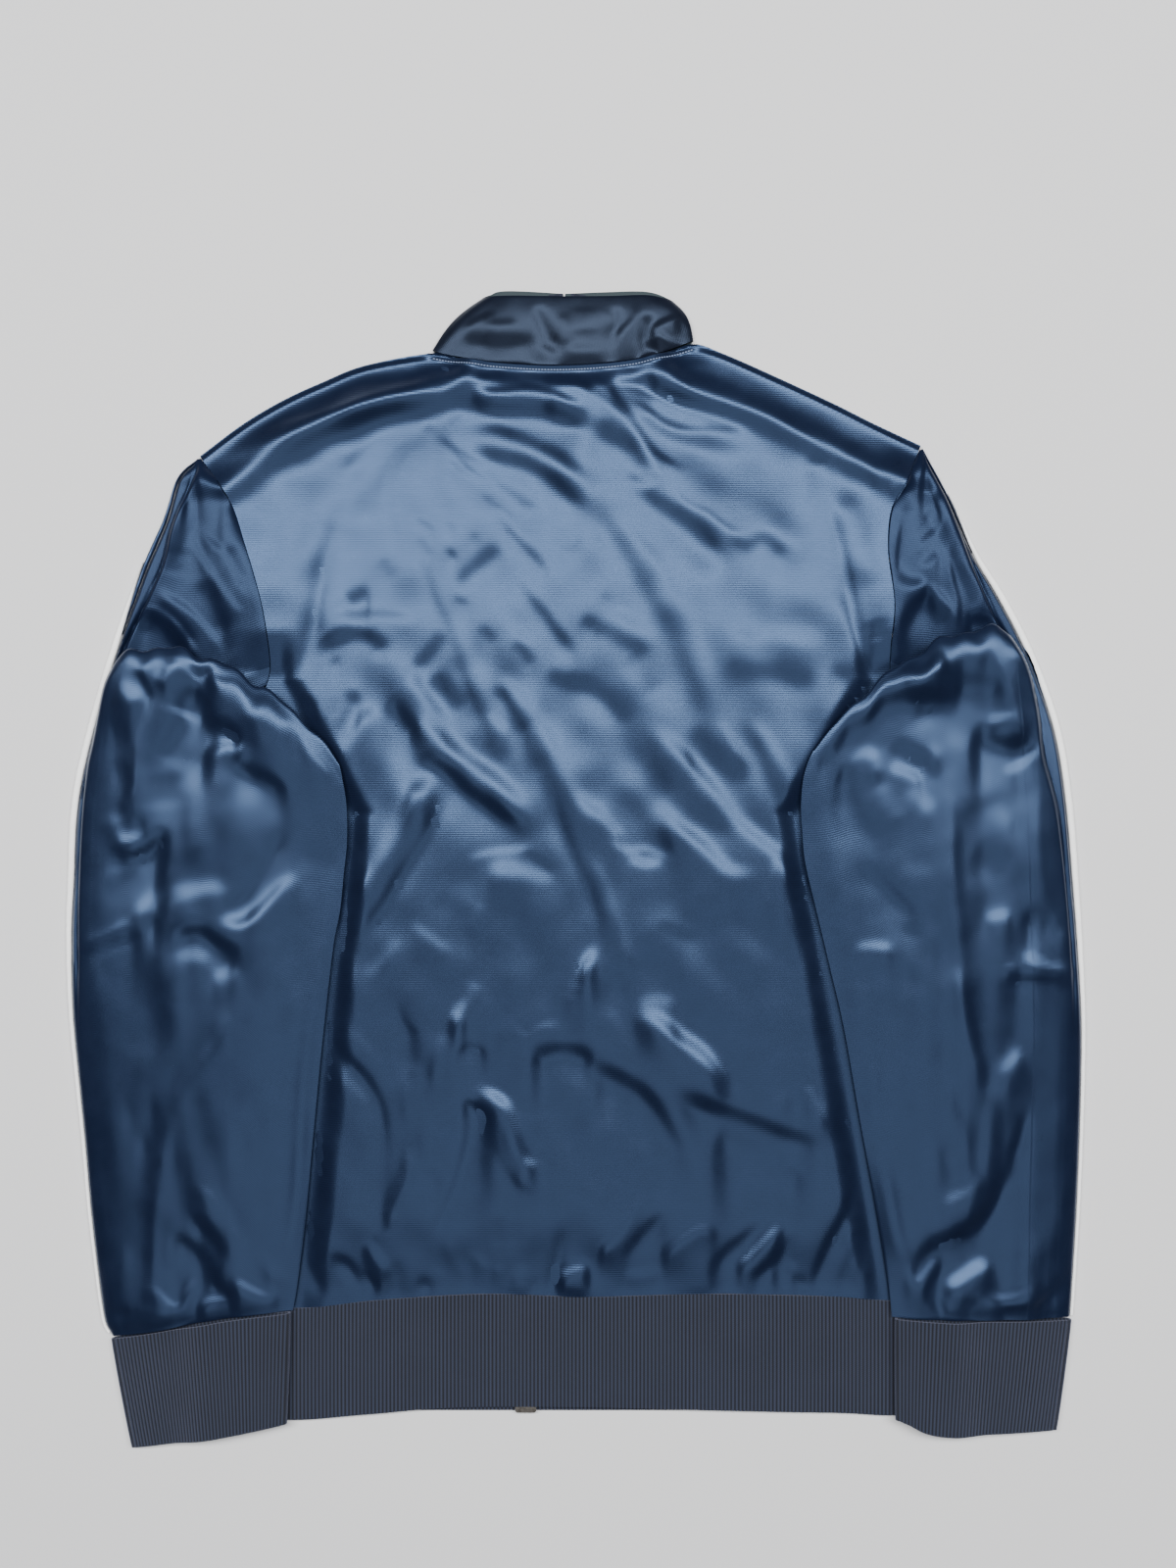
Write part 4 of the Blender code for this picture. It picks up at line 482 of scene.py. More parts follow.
    (0.6, 2.6, [(-70, -43), (-66, -32), (-62, -22)]),
    (0.5, 3.2, [(-109, -35), (-96, -45), (-82, -55)]),
    (0.3, 2, [(-86, -6), (-93, -19)]),
    (0.5, 3.9, [(-138, -74), (-131, -64), (-122, -54), (-115, -45)]),
    (0.6, 2.6, [(-151, -12), (-156, -28), (-161, -45)]),
    (1.4, 8.5, [(4, -58), (12, -62)]),
    (0.5, 3.2, [(1, -74), (-5, -87), (-7, -97)]),
    (-0.3, 9.1, [(-47, -17), (-32, -35), (-18, -64)]),
    (-0.3, 5.2, [(-93, -20), (-78, -25), (-73, -36)]),
    (0.8, 3.9, [(-66, -74), (-70, -85), (-78, -93)]),
    (0.8, 3.9, [(11, 43), (21, 30), (31, 20)]),
    (1, 3.2, [(34, 7), (44, 4), (58, 4)]),
    (0.8, 2.6, [(21, 20), (34, 12), (44, 14), (53, 11), (64, 7)]),
    (1, 3.2, [(10, 7), (18, -9), (24, -28), (29, -41), (34, -58), (37, -67)]),
    (-0.5, 7.2, [(20, -67), (35, -74)]),
    (-0.35, 11.7, [(99, -17), (118, -30), (138, -49), (152, -75)]),
    (-0.5, 3.9, [(53, -35), (66, -41), (81, -45)]),
    (0.3, 3.9, [(154, -25), (157, -45), (161, -64)]),
    # Lower back
    (-1.3, 3.2, [(-166, -100), (-161, -113), (-148, -126), (-138, -137), (-130, -152),
      (-127, -168), (-125, -182)]),
    (0.5, 4.5, [(-164, -123), (-155, -136), (-142, -149), (-135, -160)]),
    (0.4, 4.5, [(-155, -100), (-145, -110), (-132, -123), (-125, -137)]),
    (-0.9, 3.2, [(-120, -85), (-114, -100), (-105, -108)]),
    (1.3, 5.9, [(-83, -96), (-73, -98)]),
    (0.8, 2.6, [(-86, -108), (-90, -119), (-93, -129), (-94, -139)]),
    (-1, 3.2, [(-81, -124), (-70, -116), (-59, -121)]),
    (-0.6, 3.2, [(-46, -85), (-52, -100), (-55, -117)]),
    (1.7, 3.9, [(-65, -145), (-57, -147), (-47, -155), (-43, -168), (-39, -181), (-32, -192),
      (-23, -193)]),
    (-1.8, 3.9, [(-74, -151), (-64, -158), (-57, -163)]),
    (-0.6, 2.6, [(-96, -165), (-83, -159), (-76, -152)]),
    (-1.1, 2.9, [(-67, -168), (-72, -184), (-78, -204), (-86, -223), (-95, -240)]),
    (-0.7, 3.2, [(-57, -171), (-51, -188), (-41, -204), (-27, -214)]),
    (-0.7, 3.9, [(-98, -196), (-90, -208)]),
    (1.3, 3.2, [(-110, -180), (-110, -197), (-116, -210), (-121, -220), (-123, -237)]),
    (0.8, 1.6, [(-133, -240), (-123, -238)]),
    (0.4, 2, [(-114, -129), (-112, -149), (-111, -165)]),
    (0.5, 3.2, [(-109, -128), (-104, -132)]),
    (0.4, 3.9, [(-103, -171), (-96, -182)]),
    (0.7, 2.6, [(-42, -103), (-31, -110), (-25, -104), (-10, -101)]),
    (0.5, 3.9, [(-1, -82), (-2, -97)]),
    (-1.6, 6.5, [(-29, -126), (-15, -119), (1, -120), (9, -128)]),
    (-1.7, 7.2, [(8, -126), (24, -136), (40, -145), (53, -158), (63, -175), (73, -186)]),
    (1.6, 5.9, [(37, -98), (50, -97), (66, -110), (79, -118), (89, -129), (99, -143)]),
    (0.4, 2.6, [(18, -90), (27, -103), (38, -121)]),
    (0.6, 5.2, [(39, -91), (50, -86), (68, -87)]),
    (-1.6, 6.5, [(66, -146), (86, -155), (112, -165), (138, -175), (161, -181)]),
    (-1.3, 8.5, [(92, -172), (112, -182), (139, -189)]),
    (-1, 5.9, [(135, -206), (145, -196)]),
    (0.5, 5.9, [(140, -143), (128, -156)]),
    (1.2, 3.9, [(150, -141), (157, -155), (164, -169)]),
    (0.4, 2, [(-18, -152), (-16, -178), (-13, -204), (-12, -225)]),
    (-0.4, 3.2, [(8, -183), (10, -199)]),
    (-0.4, 2, [(69, -196), (76, -207), (80, -215)]),
    (-0.5, 3.9, [(0, -204), (3, -210)]),
    (0.4, 2, [(-153, -199), (-144, -208)]),
    # Gathers above the hem band
    (-2, 3.2, [(190, -196), (182, -214), (174, -233), (166, -249), (159, -266), (153, -279)]),
    (-1.5, 2.3, [(191, -204), (195, -223), (199, -244)]),
    (1.7, 3.9, [(136, -232), (125, -244), (113, -256), (105, -264)]),
    (-1.1, 3.2, [(122, -232), (112, -241), (100, -251), (92, -262), (90, -273)]),
    (-1.1, 3.2, [(144, -238), (135, -253), (125, -262), (114, -271)]),
    (1.2, 3.2, [(93, -240), (83, -235), (73, -240), (65, -246), (56, -255)]),
    (-0.9, 3.9, [(60, -223), (50, -233), (40, -244), (30, -256)]),
    (0.9, 3.2, [(44, -213), (37, -225), (31, -235), (24, -244), (15, -251)]),
    (0.9, 3.9, [(17, -248), (21, -250)]),
    (0.9, 2.6, [(33, -267), (44, -266), (55, -264)]),
    (1.6, 4.5, [(-13, -270), (-2, -264), (9, -262)]),
    (-1.2, 3.2, [(-8, -235), (-12, -253), (-16, -269), (-20, -280)]),
    (0.6, 3.9, [(126, -264), (131, -267)]),
    (0.9, 2.6, [(140, -263), (144, -261)]),
    (-0.9, 3.9, [(143, -269), (152, -273)]),
    (-1, 2.6, [(184, -248), (178, -262), (175, -276)]),
    (-0.8, 2.6, [(196, -238), (186, -254)]),
    (1.3, 3.2, [(199, -248), (195, -259), (189, -270)]),
    (0.7, 2.6, [(183, -234), (176, -244)]),
    (1.4, 3.2, [(-139, -245), (-130, -256), (-123, -267)]),
    (-1.4, 3.9, [(-182, -254), (-174, -266), (-167, -280)]),
    (-1.2, 3.2, [(-162, -254), (-151, -259), (-145, -269), (-140, -280)]),
    (-1.4, 3.2, [(-139, -264), (-131, -277)]),
    (0.5, 3.2, [(-159, -262), (-150, -270), (-142, -280)]),
    (0.6, 3.2, [(-181, -275), (-175, -282)]),
    (0.6, 2.6, [(-87, -241), (-80, -256), (-73, -270)]),
    (0.6, 2, [(-94, -262), (-89, -271)]),
    (0.5, 2.6, [(-68, -252), (-58, -263)]),
    (0.6, 2.6, [(-54, -261), (-50, -264)]),
    (0.6, 2.6, [(-42, -269), (-32, -262)]),
    (-0.6, 3.9, [(-120, -258), (-115, -270)]),
    (-0.8, 3.9, [(-104, -269), (-95, -276)]),
    (-0.6, 3.9, [(-30, -272), (-25, -273)]),
    (-0.4, 3.2, [(-53, -228), (-49, -247)]),
    (-0.4, 3.2, [(-37, -232), (-41, -247)]),
]
SLEEVE_FOLDS = {
    "left": [
        (0.8, 1.6, [(-287, 137), (-286, 148), (-281, 155), (-276, 152)]),
        (1.6, 3.9, [(-285, 136), (-278, 141), (-269, 143), (-259, 141), (-254, 137)]),
        (1.6, 4.5, [(-262, 136), (-266, 128), (-271, 119)]),
        (1.1, 2.6, [(-275, 115), (-278, 106), (-281, 95), (-286, 83), (-287, 67), (-289, 52),
          (-292, 43)]),
        (-2, 2.6, [(-286, 131), (-281, 121), (-277, 111)]),
        (1.1, 5.9, [(-302, 120), (-292, 116), (-285, 108)]),
        (-0.7, 5.9, [(-306, 93), (-292, 95)]),
        (-0.5, 5.2, [(-304, 67), (-293, 69)]),
        (-2.4, 3.9, [(-251, 135), (-244, 136), (-237, 132)]),
        (1.6, 2.3, [(-254, 137), (-252, 128), (-244, 127), (-232, 124), (-220, 121), (-209, 116),
          (-194, 111), (-185, 103), (-179, 92), (-174, 78), (-165, 67), (-156, 59), (-152, 52),
          (-151, 37)]),
        (1.2, 4.5, [(-212, 113), (-197, 107), (-185, 97)]),
        (-2.4, 8.5, [(-242, 117), (-250, 111), (-255, 100)]),
        (-1.5, 6.5, [(-257, 98), (-265, 87), (-274, 74)]),
        (-0.5, 9.1, [(-272, 63), (-270, 40)]),
        (0.8, 1.6, [(-235, 116), (-237, 108), (-243, 98)]),
        (-2, 3.2, [(-244, 92), (-234, 95), (-226, 93), (-219, 84)]),
        (1.3, 3.9, [(-243, 76), (-234, 80), (-223, 82), (-215, 77)]),
        (0.6, 9.8, [(-244, 71), (-246, 56), (-247, 37), (-249, 17), (-251, 1)]),
        (0.9, 5.9, [(-276, -26), (-262, -17), (-246, -13), (-228, -11)]),
        (-1.8, 5.2, [(-224, 71), (-212, 64), (-200, 59), (-189, 52)]),
        (0.4, 5.2, [(-220, 106), (-203, 98), (-186, 85)]),
        (0.4, 1.6, [(-177, 55), (-184, 44), (-187, 28)]),
        (-1.5, 3.9, [(-190, 26), (-200, 12), (-209, -4), (-220, -18), (-233, -24)]),
        (1.5, 4.5, [(-181, -2), (-194, -12), (-207, -26), (-220, -35), (-233, -32)]),
        (-0.9, 5.9, [(-183, 17), (-171, 11), (-157, 5)]),
        (-2.2, 4.2, [(-307, 6), (-297, 10), (-285, 11), (-275, 18), (-268, 27)]),
        (1, 5.2, [(-304, 37), (-302, 27), (-294, 19), (-284, 24)]),
        (0.7, 3.2, [(-289, 54), (-298, 42)]),
        (-0.8, 2.6, [(-290, 35), (-282, 30)]),
        (-0.6, 4.5, [(-311, -13), (-299, -6), (-287, 1)]),
        (0.9, 2.3, [(-337, -48), (-320, -46), (-304, -39), (-292, -32)]),
        (0.8, 3.9, [(-292, -32), (-281, -21), (-274, -10), (-266, 6)]),
        (-1.8, 2.3, [(-337, -55), (-320, -52), (-304, -47), (-291, -43), (-283, -39)]),
        (-0.8, 3.9, [(-283, -37), (-274, -31)]),
        (-1.8, 5.2, [(-263, -45), (-250, -40), (-241, -43), (-232, -50), (-220, -52)]),
        (0.7, 2, [(-328, -58), (-312, -56), (-300, -52), (-289, -48)]),
        (0.7, 2.6, [(-334, -72), (-320, -64), (-311, -61)]),
        (0.6, 5.2, [(-266, -59), (-252, -56), (-239, -60)]),
        (0.9, 4.5, [(-239, -72), (-229, -68), (-219, -66)]),
        (1.4, 3.2, [(-159, 1), (-161, -15), (-164, -35), (-168, -54), (-171, -74), (-174, -90),
          (-177, -117), (-180, -142), (-181, -175), (-183, -207), (-186, -231), (-189, -248),
          (-195, -261)]),
        (1.4, 7.2, [(-196, -261), (-201, -267)]),
        (0.4, 2, [(-330, 29), (-330, -10), (-326, -41)]),
        (0.5, 8.5, [(-259, -84), (-265, -100), (-275, -119), (-285, -136)]),
        (0.8, 3.2, [(-226, -92), (-233, -110), (-246, -126), (-259, -142), (-268, -152)]),
        (-1, 3.2, [(-299, -159), (-285, -156), (-274, -152)]),
        (-0.6, 3.9, [(-288, -175), (-280, -183)]),
        (1, 4.5, [(-265, -158), (-271, -175), (-273, -195)]),
        (0.7, 2.9, [(-274, -197), (-277, -223), (-278, -256), (-278, -271)]),
        (-0.5, 5.2, [(-324, -79), (-320, -110)]),
        (-0.5, 4.5, [(-320, -139), (-318, -152)]),
        (1, 3.2, [(-254, -204), (-242, -210), (-233, -223), (-226, -236), (-215, -243)]),
        (-1.5, 3.9, [(-253, -227), (-242, -236), (-231, -251)]),
        (-1.5, 4.5, [(-265, -239), (-252, -249), (-241, -262)]),
        (-0.8, 4.5, [(-267, -258), (-262, -268), (-258, -277)]),
        (0.9, 2.6, [(-239, -259), (-229, -255)]),
        (-1.6, 2.6, [(-240, -269), (-226, -279)]),
        (1.8, 3.9, [(-226, -268), (-210, -277), (-195, -281)]),
        (1.4, 3.2, [(-248, -289), (-241, -283), (-226, -282)]),
        (1.4, 2.3, [(-285, -277), (-278, -275), (-272, -280), (-265, -286), (-259, -285),
          (-254, -275), (-247, -268)]),
        (1, 2.6, [(-291, -289), (-278, -288), (-264, -289)]),
        (-1.5, 3.2, [(-315, -288), (-304, -290), (-293, -290)]),
        (1, 3.9, [(-314, -264), (-303, -256), (-292, -249)]),
        (0.7, 2, [(-311, -301), (-294, -295), (-274, -292)]),
        (-0.5, 5.2, [(-200, -77), (-187, -82)]),
        (-0.4, 5.2, [(-216, -150), (-203, -160)]),
        (-0.4, 3.9, [(-224, -170), (-214, -176)]),
    ],
    "right": [
        (1.4, 2, [(147, 69), (153, 83), (161, 94), (172, 105), (181, 111), (192, 117),
          (203, 123), (212, 130), (220, 137)]),
        (2, 5.9, [(212, 128), (222, 133), (232, 134), (240, 140)]),
        (1.5, 2.3, [(229, 149), (239, 152), (246, 156), (252, 159), (259, 153), (268, 147)]),
        (0.5, 1.3, [(220, 142), (220, 153), (224, 160), (229, 151)]),
        (1.1, 2.6, [(268, 147), (274, 137), (279, 125), (285, 115), (289, 105), (292, 93),
          (300, 86), (305, 83)]),
        (0.5, 3.9, [(291, 110), (299, 95)]),
        (0.6, 3.2, [(268, 157), (276, 152)]),
        (0.5, 3.2, [(279, 143), (281, 133), (292, 123)]),
        (-2.3, 8.5, [(166, 76), (172, 85), (184, 98), (200, 108), (215, 113), (234, 113),
          (253, 105)]),
        (0.5, 2.6, [(210, 98), (219, 103), (226, 108)]),
        (-1.2, 7.8, [(245, 121), (261, 124), (278, 117)]),
        (1, 2, [(159, 85), (169, 94), (179, 97)]),
        (-1.8, 2.6, [(174, 103), (179, 100)]),
        (-1.8, 4.5, [(158, 72), (168, 79)]),
        (1.6, 3.6, [(179, 70), (190, 78), (195, 70), (196, 58)]),
        (0.8, 5.9, [(198, 56), (204, 43), (211, 28)]),
        (-2.2, 5.2, [(172, 63), (179, 60)]),
        (1.6, 3.9, [(205, 67), (216, 65), (227, 59)]),
        (-1.8, 4.5, [(206, 84), (218, 77), (231, 70)]),
        (0.7, 2.6, [(231, 82), (239, 73)]),
        (-1, 3.2, [(231, 68), (237, 58)]),
        (-2.3, 5.9, [(259, 91), (273, 84), (287, 82), (302, 87)]),
        (1.1, 2.6, [(270, 98), (280, 100), (290, 102)]),
        (0.9, 2.6, [(289, 98), (293, 89)]),
        (1.2, 2.3, [(280, 64), (292, 69), (302, 77), (306, 83)]),
        (0.8, 4.5, [(234, 56), (243, 46), (246, 28), (245, 12), (246, -4), (249, -27),
          (251, -50), (252, -67)]),
        (0.6, 6.5, [(217, 53), (234, 38)]),
        (-1.2, 5.2, [(176, 54), (186, 35), (199, 20)]),
        (-1.5, 4.5, [(183, 4), (200, -7), (212, -19), (224, -28)]),
        (0.8, 4.5, [(161, 66), (162, 43), (166, 20), (172, -4), (175, -27), (179, -51),
          (183, -71)]),
        (0.4, 3.9, [(212, 0), (233, -1)]),
        (0.6, 3.9, [(302, 56), (302, 30), (304, 4), (309, -15), (315, -29)]),
        (0.5, 5.9, [(272, 42), (285, 27)]),
        (-0.6, 8.5, [(261, 16), (283, 0)]),
        (-1.2, 3.9, [(293, -34), (304, -27), (314, -35)]),
        (1, 3.2, [(268, -32), (285, -29)]),
        (1, 2.6, [(317, -40), (330, -45)]),
        (1.5, 3.2, [(292, -56), (305, -62), (317, -65), (332, -64)]),
        (0.9, 2.6, [(280, -65), (290, -66)]),
        (1.2, 3.2, [(182, -52), (194, -50), (208, -52)]),
        (-0.8, 5.2, [(183, -63), (200, -64), (224, -68)]),
        (-0.8, 3.2, [(214, -38), (228, -40)]),
        (-2, 3.2, [(277, -71), (304, -72), (333, -74)]),
        (0.9, 5.2, [(180, -74), (187, -87), (194, -104)]),
        (1, 3.9, [(191, -128), (199, -136)]),
        (1, 3.9, [(192, -151), (199, -165)]),
        (2, 4.5, [(194, -180), (201, -197), (206, -217), (209, -233), (214, -249), (220, -263)]),
        (2, 3.9, [(216, -261), (224, -270), (232, -261), (240, -253)]),
        (-1.6, 2, [(229, -279), (235, -267), (242, -259)]),
        (1.5, 3.2, [(248, -61), (253, -85), (259, -110), (264, -129), (265, -140)]),
        (0.6, 3.2, [(239, -132), (246, -152), (255, -171), (256, -192)]),
        (1, 5.2, [(277, -136), (285, -127), (294, -119)]),
        (1, 5.2, [(274, -139), (272, -158), (271, -181), (268, -199)]),
        (1.1, 5.2, [(266, -199), (258, -210), (246, -216), (238, -224)]),
        (-0.7, 5.2, [(242, -180), (248, -194), (253, -202)]),
        (-0.5, 2.6, [(246, -146), (255, -162)]),
        (-0.4, 5.9, [(239, -110), (246, -119)]),
        (-2.4, 5.2, [(223, -258), (235, -247), (252, -240), (268, -228), (279, -210), (286, -193)]),
        (-1.8, 3.2, [(285, -194), (292, -175), (296, -157)]),
        (0.5, 3.2, [(313, -158), (327, -154)]),
        (0.7, 7.8, [(326, -204), (313, -233), (298, -247), (287, -260)]),
        (1.6, 5.2, [(241, -276), (252, -269), (265, -261), (272, -266)]),
        (1.3, 4.5, [(268, -277), (278, -282), (291, -279), (306, -271)]),
        (-0.8, 3.9, [(254, -280), (263, -286)]),
        (-1.4, 3.9, [(330, -258), (320, -272), (307, -282)]),
        (-1.2, 2.6, [(276, -289), (297, -287), (311, -283)]),
        (0.9, 2, [(229, -284), (239, -292)]),
        (1, 2, [(240, -278), (247, -292)]),
        (0.8, 2.6, [(313, -282), (330, -286)]),
        (0.3, 3.9, [(229, -93), (227, -110)]),
        (0.4, 3.9, [(235, -176), (237, -199)]),
    ],
}
CAP_FOLDS = {
    "left": [
        (-2.5, 8.5, [(-259, 258), (-246, 254), (-230, 250)]),
        (1, 2, [(-256, 223), (-251, 212), (-244, 201), (-235, 188), (-228, 178), (-223, 172),
          (-216, 171)]),
        (1, 2, [(-248, 223), (-239, 215), (-232, 208), (-226, 196), (-220, 185), (-216, 176)]),
        (1, 1.6, [(-276, 185), (-268, 179), (-258, 173), (-251, 167), (-244, 159), (-237, 150),
          (-233, 141)]),
        (1, 1.6, [(-289, 169), (-285, 172), (-277, 171), (-268, 166), (-261, 159), (-255, 150),
          (-248, 143)]),
        (-2, 5.2, [(-291, 160), (-281, 165), (-274, 162), (-267, 154), (-257, 147)]),
        (-1.2, 5.9, [(-247, 191), (-237, 172), (-229, 154)]),
        (-1.2, 4.5, [(-228, 213), (-221, 199), (-216, 188)]),
        (-0.8, 2.6, [(-276, 176), (-264, 167), (-250, 150)]),
        (0.7, 2, [(-228, 238), (-223, 228), (-216, 214), (-212, 198), (-212, 184), (-209, 170),
          (-205, 154), (-203, 138)]),
        (0.9, 2.6, [(-225, 129), (-216, 129), (-210, 132)]),
        (0.9, 2.6, [(-205, 121), (-200, 131), (-192, 139)]),
        (0.3, 1.3, [(-231, 137), (-220, 147)]),
        (-0.6, 6.5, [(-262, 212), (-265, 193)]),
    ],
    "right": [
        (-2.5, 7.8, [(205, 275), (219, 267), (232, 257), (239, 243)]),
        (0.9, 2, [(220, 255), (216, 243), (212, 232), (209, 219), (207, 206)]),
        (0.7, 2, [(207, 198), (209, 191), (212, 182), (213, 172), (211, 153), (208, 137)]),
        (-1.8, 3.2, [(218, 245), (216, 227), (213, 209), (213, 195)]),
        (1, 1.6, [(236, 238), (229, 228), (224, 219), (224, 212)]),
        (1, 1.6, [(224, 212), (231, 219), (239, 225), (242, 234)]),
        (0.9, 2, [(247, 219), (244, 207), (246, 193), (250, 180), (251, 163)]),
        (0.8, 2, [(253, 212), (257, 199), (265, 188), (267, 179), (263, 171), (257, 163)]),
        (0.8, 2.6, [(225, 199), (231, 202), (238, 208)]),
        (1.2, 4.5, [(208, 194), (219, 188), (231, 188)]),
        (0.9, 2, [(231, 188), (240, 180), (246, 172), (252, 162)]),
        (-2.2, 4.5, [(214, 152), (218, 165), (227, 178), (235, 182)]),
        (-0.8, 4.5, [(229, 175), (245, 165)]),
        (-1.8, 3.2, [(257, 165), (266, 166), (275, 165)]),
    ],
}
# Where the folds of each part start, as (x, y, height) along its upper edge
BACK_START = [(-250, 272, 2), (-110, 339, 3), (-70, 337, 4), (-10, 332, 4), (50, 339, 4),
              (78, 347, 3), (226, 287, 2)]
SLEEVE_START = {
    "left": [(-330, 100, 1), (-290, 144, 1), (-257, 145, 1), (-237, 138, 1), (-210, 120, 1),
             (-190, 114, 1), (-174, 82, 1), (-152, 46, 0)],
    "right": [(148, 50, 0), (163, 90, 1), (176, 106, 2), (200, 124, 3), (218, 138, 3),
              (250, 158, 3), (270, 146, 3), (300, 110, 1), (335, 80, 1)],
}
CAP_START = {
    "left": [(-330, 80, 1), (-274, 230, 2), (-250, 272, 5), (-200, 272, 5)],
    "right": [(205, 279, 5), (229, 279, 5), (250, 241, 3), (320, 96, 1)],
}

# The part of the plan that each relief covers, as its lower left and upper right corners
BACK_BOX = ((-262.0, -292.0), (266.0, 350.0))
SLEEVE_BOX = {
    "left": ((-342.0, -312.0), (-148.0, 276.0)),
    "right": ((144.0, -302.0), (342.0, 282.0)),
}

# Creases of the fronts: a path of (x, y), its rise, and the half widths on its left and right.
# They are hollows in the side on the floor, as seen through the jacket from above.
FRONT_CREASES = {
    "left": [
        ([(-212, 262), (-168, 268), (-118, 290), (-70, 306)], 2.4, 16, 10),
        ([(-206, 214), (-170, 190), (-126, 196), (-84, 222)], 2.2, 14, 9),
        ([(-196, 150), (-150, 132), (-96, 142), (-48, 176)], 2.6, 16, 10),
        ([(-60, 250), (-82, 190), (-74, 130), (-52, 70)], 2.2, 12, 8),
        ([(-230, 60), (-176, 44), (-120, 66), (-66, 60)], 2.4, 16, 9),
        ([(-236, -10), (-190, -34), (-138, -16), (-92, 14)], 2.6, 15, 10),
        ([(-60, 20), (-76, -50), (-66, -120), (-46, -170)], 2.2, 12, 8),
        ([(-236, -92), (-180, -96), (-126, -74), (-80, -80)], 2.4, 16, 10),
        ([(-222, -176), (-170, -150), (-120, -160), (-60, -140)], 2.4, 14, 9),
        ([(-150, -200), (-136, -236), (-132, -276)], 1.8, 8, 6),
        ([(-90, -196), (-98, -240), (-92, -276)], 1.8, 8, 6),
        ([(-196, -214), (-190, -250), (-186, -276)], 1.6, 7, 6),
    ],
    "right": [
        ([(24, 296), (70, 286), (124, 266), (190, 262)], 2.4, 16, 10),
        ([(40, 240), (84, 206), (134, 200), (188, 214)], 2.2, 14, 9),
        ([(12, 190), (60, 160), (118, 138), (186, 150)], 2.6, 16, 10),
        ([(22, 120), (44, 60), (40, -4), (16, -60)], 2.2, 12, 8),
        ([(60, 76), (116, 62), (170, 74), (226, 60)], 2.4, 16, 9),
        ([(76, 12), (130, -8), (184, -30), (236, -22)], 2.6, 15, 10),
        ([(70, -64), (120, -86), (180, -80), (232, -100)], 2.4, 16, 10),
        ([(20, -110), (66, -140), (124, -160), (214, -158)], 2.4, 14, 9),
        ([(40, -200), (52, -240), (44, -276)], 1.8, 8, 6),
        ([(112, -206), (104, -244), (108, -276)], 1.8, 8, 6),
        ([(170, -196), (178, -240), (172, -276)], 1.6, 7, 6),
    ],
}

# Stations of the collar strip, from the zip on one side round the neck to the zip on the other
COLLAR = [
    # foot x, foot y, top x, top y, foot height, top height
    (-12.8, 316.6, -8.6, 381.0, 0.6, 0.6),
    (-40.0, 318.6, -34.0, 382.5, 0.6, 0.6),
    (-68.0, 326.5, -50.0, 382.5, 0.6, 0.6),
    (-88.0, 337.0, -57.0, 380.0, 0.9, 0.9),
    (-94.5, 342.6, -62.0, 376.5, 2.9, 3.4),
    (-90.0, 340.6, -57.0, 377.0, 5.4, 6.4),
    (-76.0, 337.6, -48.0, 377.4, 6.6, 7.6),
    (-53.0, 334.6, -34.0, 377.2, 6.9, 8.4),
    (-10.0, 332.6, -6.0, 376.8, 6.9, 8.6),
    (32.0, 335.6, 22.0, 377.0, 6.9, 8.4),
    (56.0, 341.0, 46.0, 377.8, 6.6, 7.6),
    (71.5, 346.5, 59.0, 375.6, 5.4, 6.4),
    (77.0, 348.9, 64.5, 374.0, 2.9, 3.4),
    (70.0, 342.0, 57.0, 379.5, 0.9, 0.9),
    (54.0, 330.8, 44.0, 382.5, 0.6, 0.6),
    (24.0, 319.6, 18.0, 382.0, 0.6, 0.6),
    (-3.2, 316.6, -7.4, 381.0, 0.6, 0.6),
]
COLLAR_FOLDS = [(-94.5, 14.0), (77.0, 12.0)]    # x of the fold at each side, reach of its swell
COLLAR_SWELL = 5.0        # how far the folds swell out
COLLAR_RISE = 1.2         # how far the upper layer swells up
COLLAR_RISES = (4.0, 6.5)       # foot heights between which it does
COLLAR_WRINKLED = (3.6, 6.2)    # foot heights between which wrinkles come in
COLLAR_DEPTH = 45.0       # its depth in the cloth's coordinates
INSIDE_SHIFT = 1000.0     # added to the coordinate down the collar on its inside
CAP_FOOT = -150.0         # coordinate down a sleeve at which its cap ends, under the roll

# The collar's wrinkles, as strokes like the folds, with the box and start of their relief
COLLAR_BOX = ((-100.0, 325.0), (90.0, 386.0))
COLLAR_START = [(-100, 379, 1), (90, 379, 1)]
COLLAR_WRINKLES = [
    (1, 2, [(-73, 356), (-65, 361), (-53, 366)]),
    (0.8, 2.6, [(-62, 358), (-50, 359), (-38, 360)]),
    (-1, 4.5, [(-77, 349), (-51, 347), (-25, 349)]),
    (0.8, 2.6, [(-25, 345), (-10, 338)]),
    (-2, 3.2, [(-27, 371), (-23, 362), (-18, 352), (-12, 344)]),
    (1.2, 1.6, [(-31, 371), (-28, 364), (-22, 353), (-17, 345)]),
    (1, 2.6, [(-10, 366), (-6, 355), (-8, 345)]),
    (-2, 2.6, [(26, 371), (26, 360), (21, 351), (26, 343)]),
    (1.5, 1.3, [(20, 368), (24, 360), (20, 351), (26, 340)]),
    (1.5, 1.6, [(38, 371), (39, 364), (31, 355), (27, 347), (26, 340)]),
    (-2.2, 3.2, [(47, 366), (46, 355), (46, 347), (56, 342)]),
    (1.6, 1.4, [(64, 368), (66, 364), (54, 358), (53, 353), (62, 348), (73, 347)]),
    (-1.2, 3.9, [(70, 363), (73, 352)]),
    (0.8, 2, [(47, 377), (64, 370)]),
    (0.8, 3.9, [(-8, 343), (18, 342)]),
    (0.4, 6.5, [(6, 370), (6, 352)]),
]

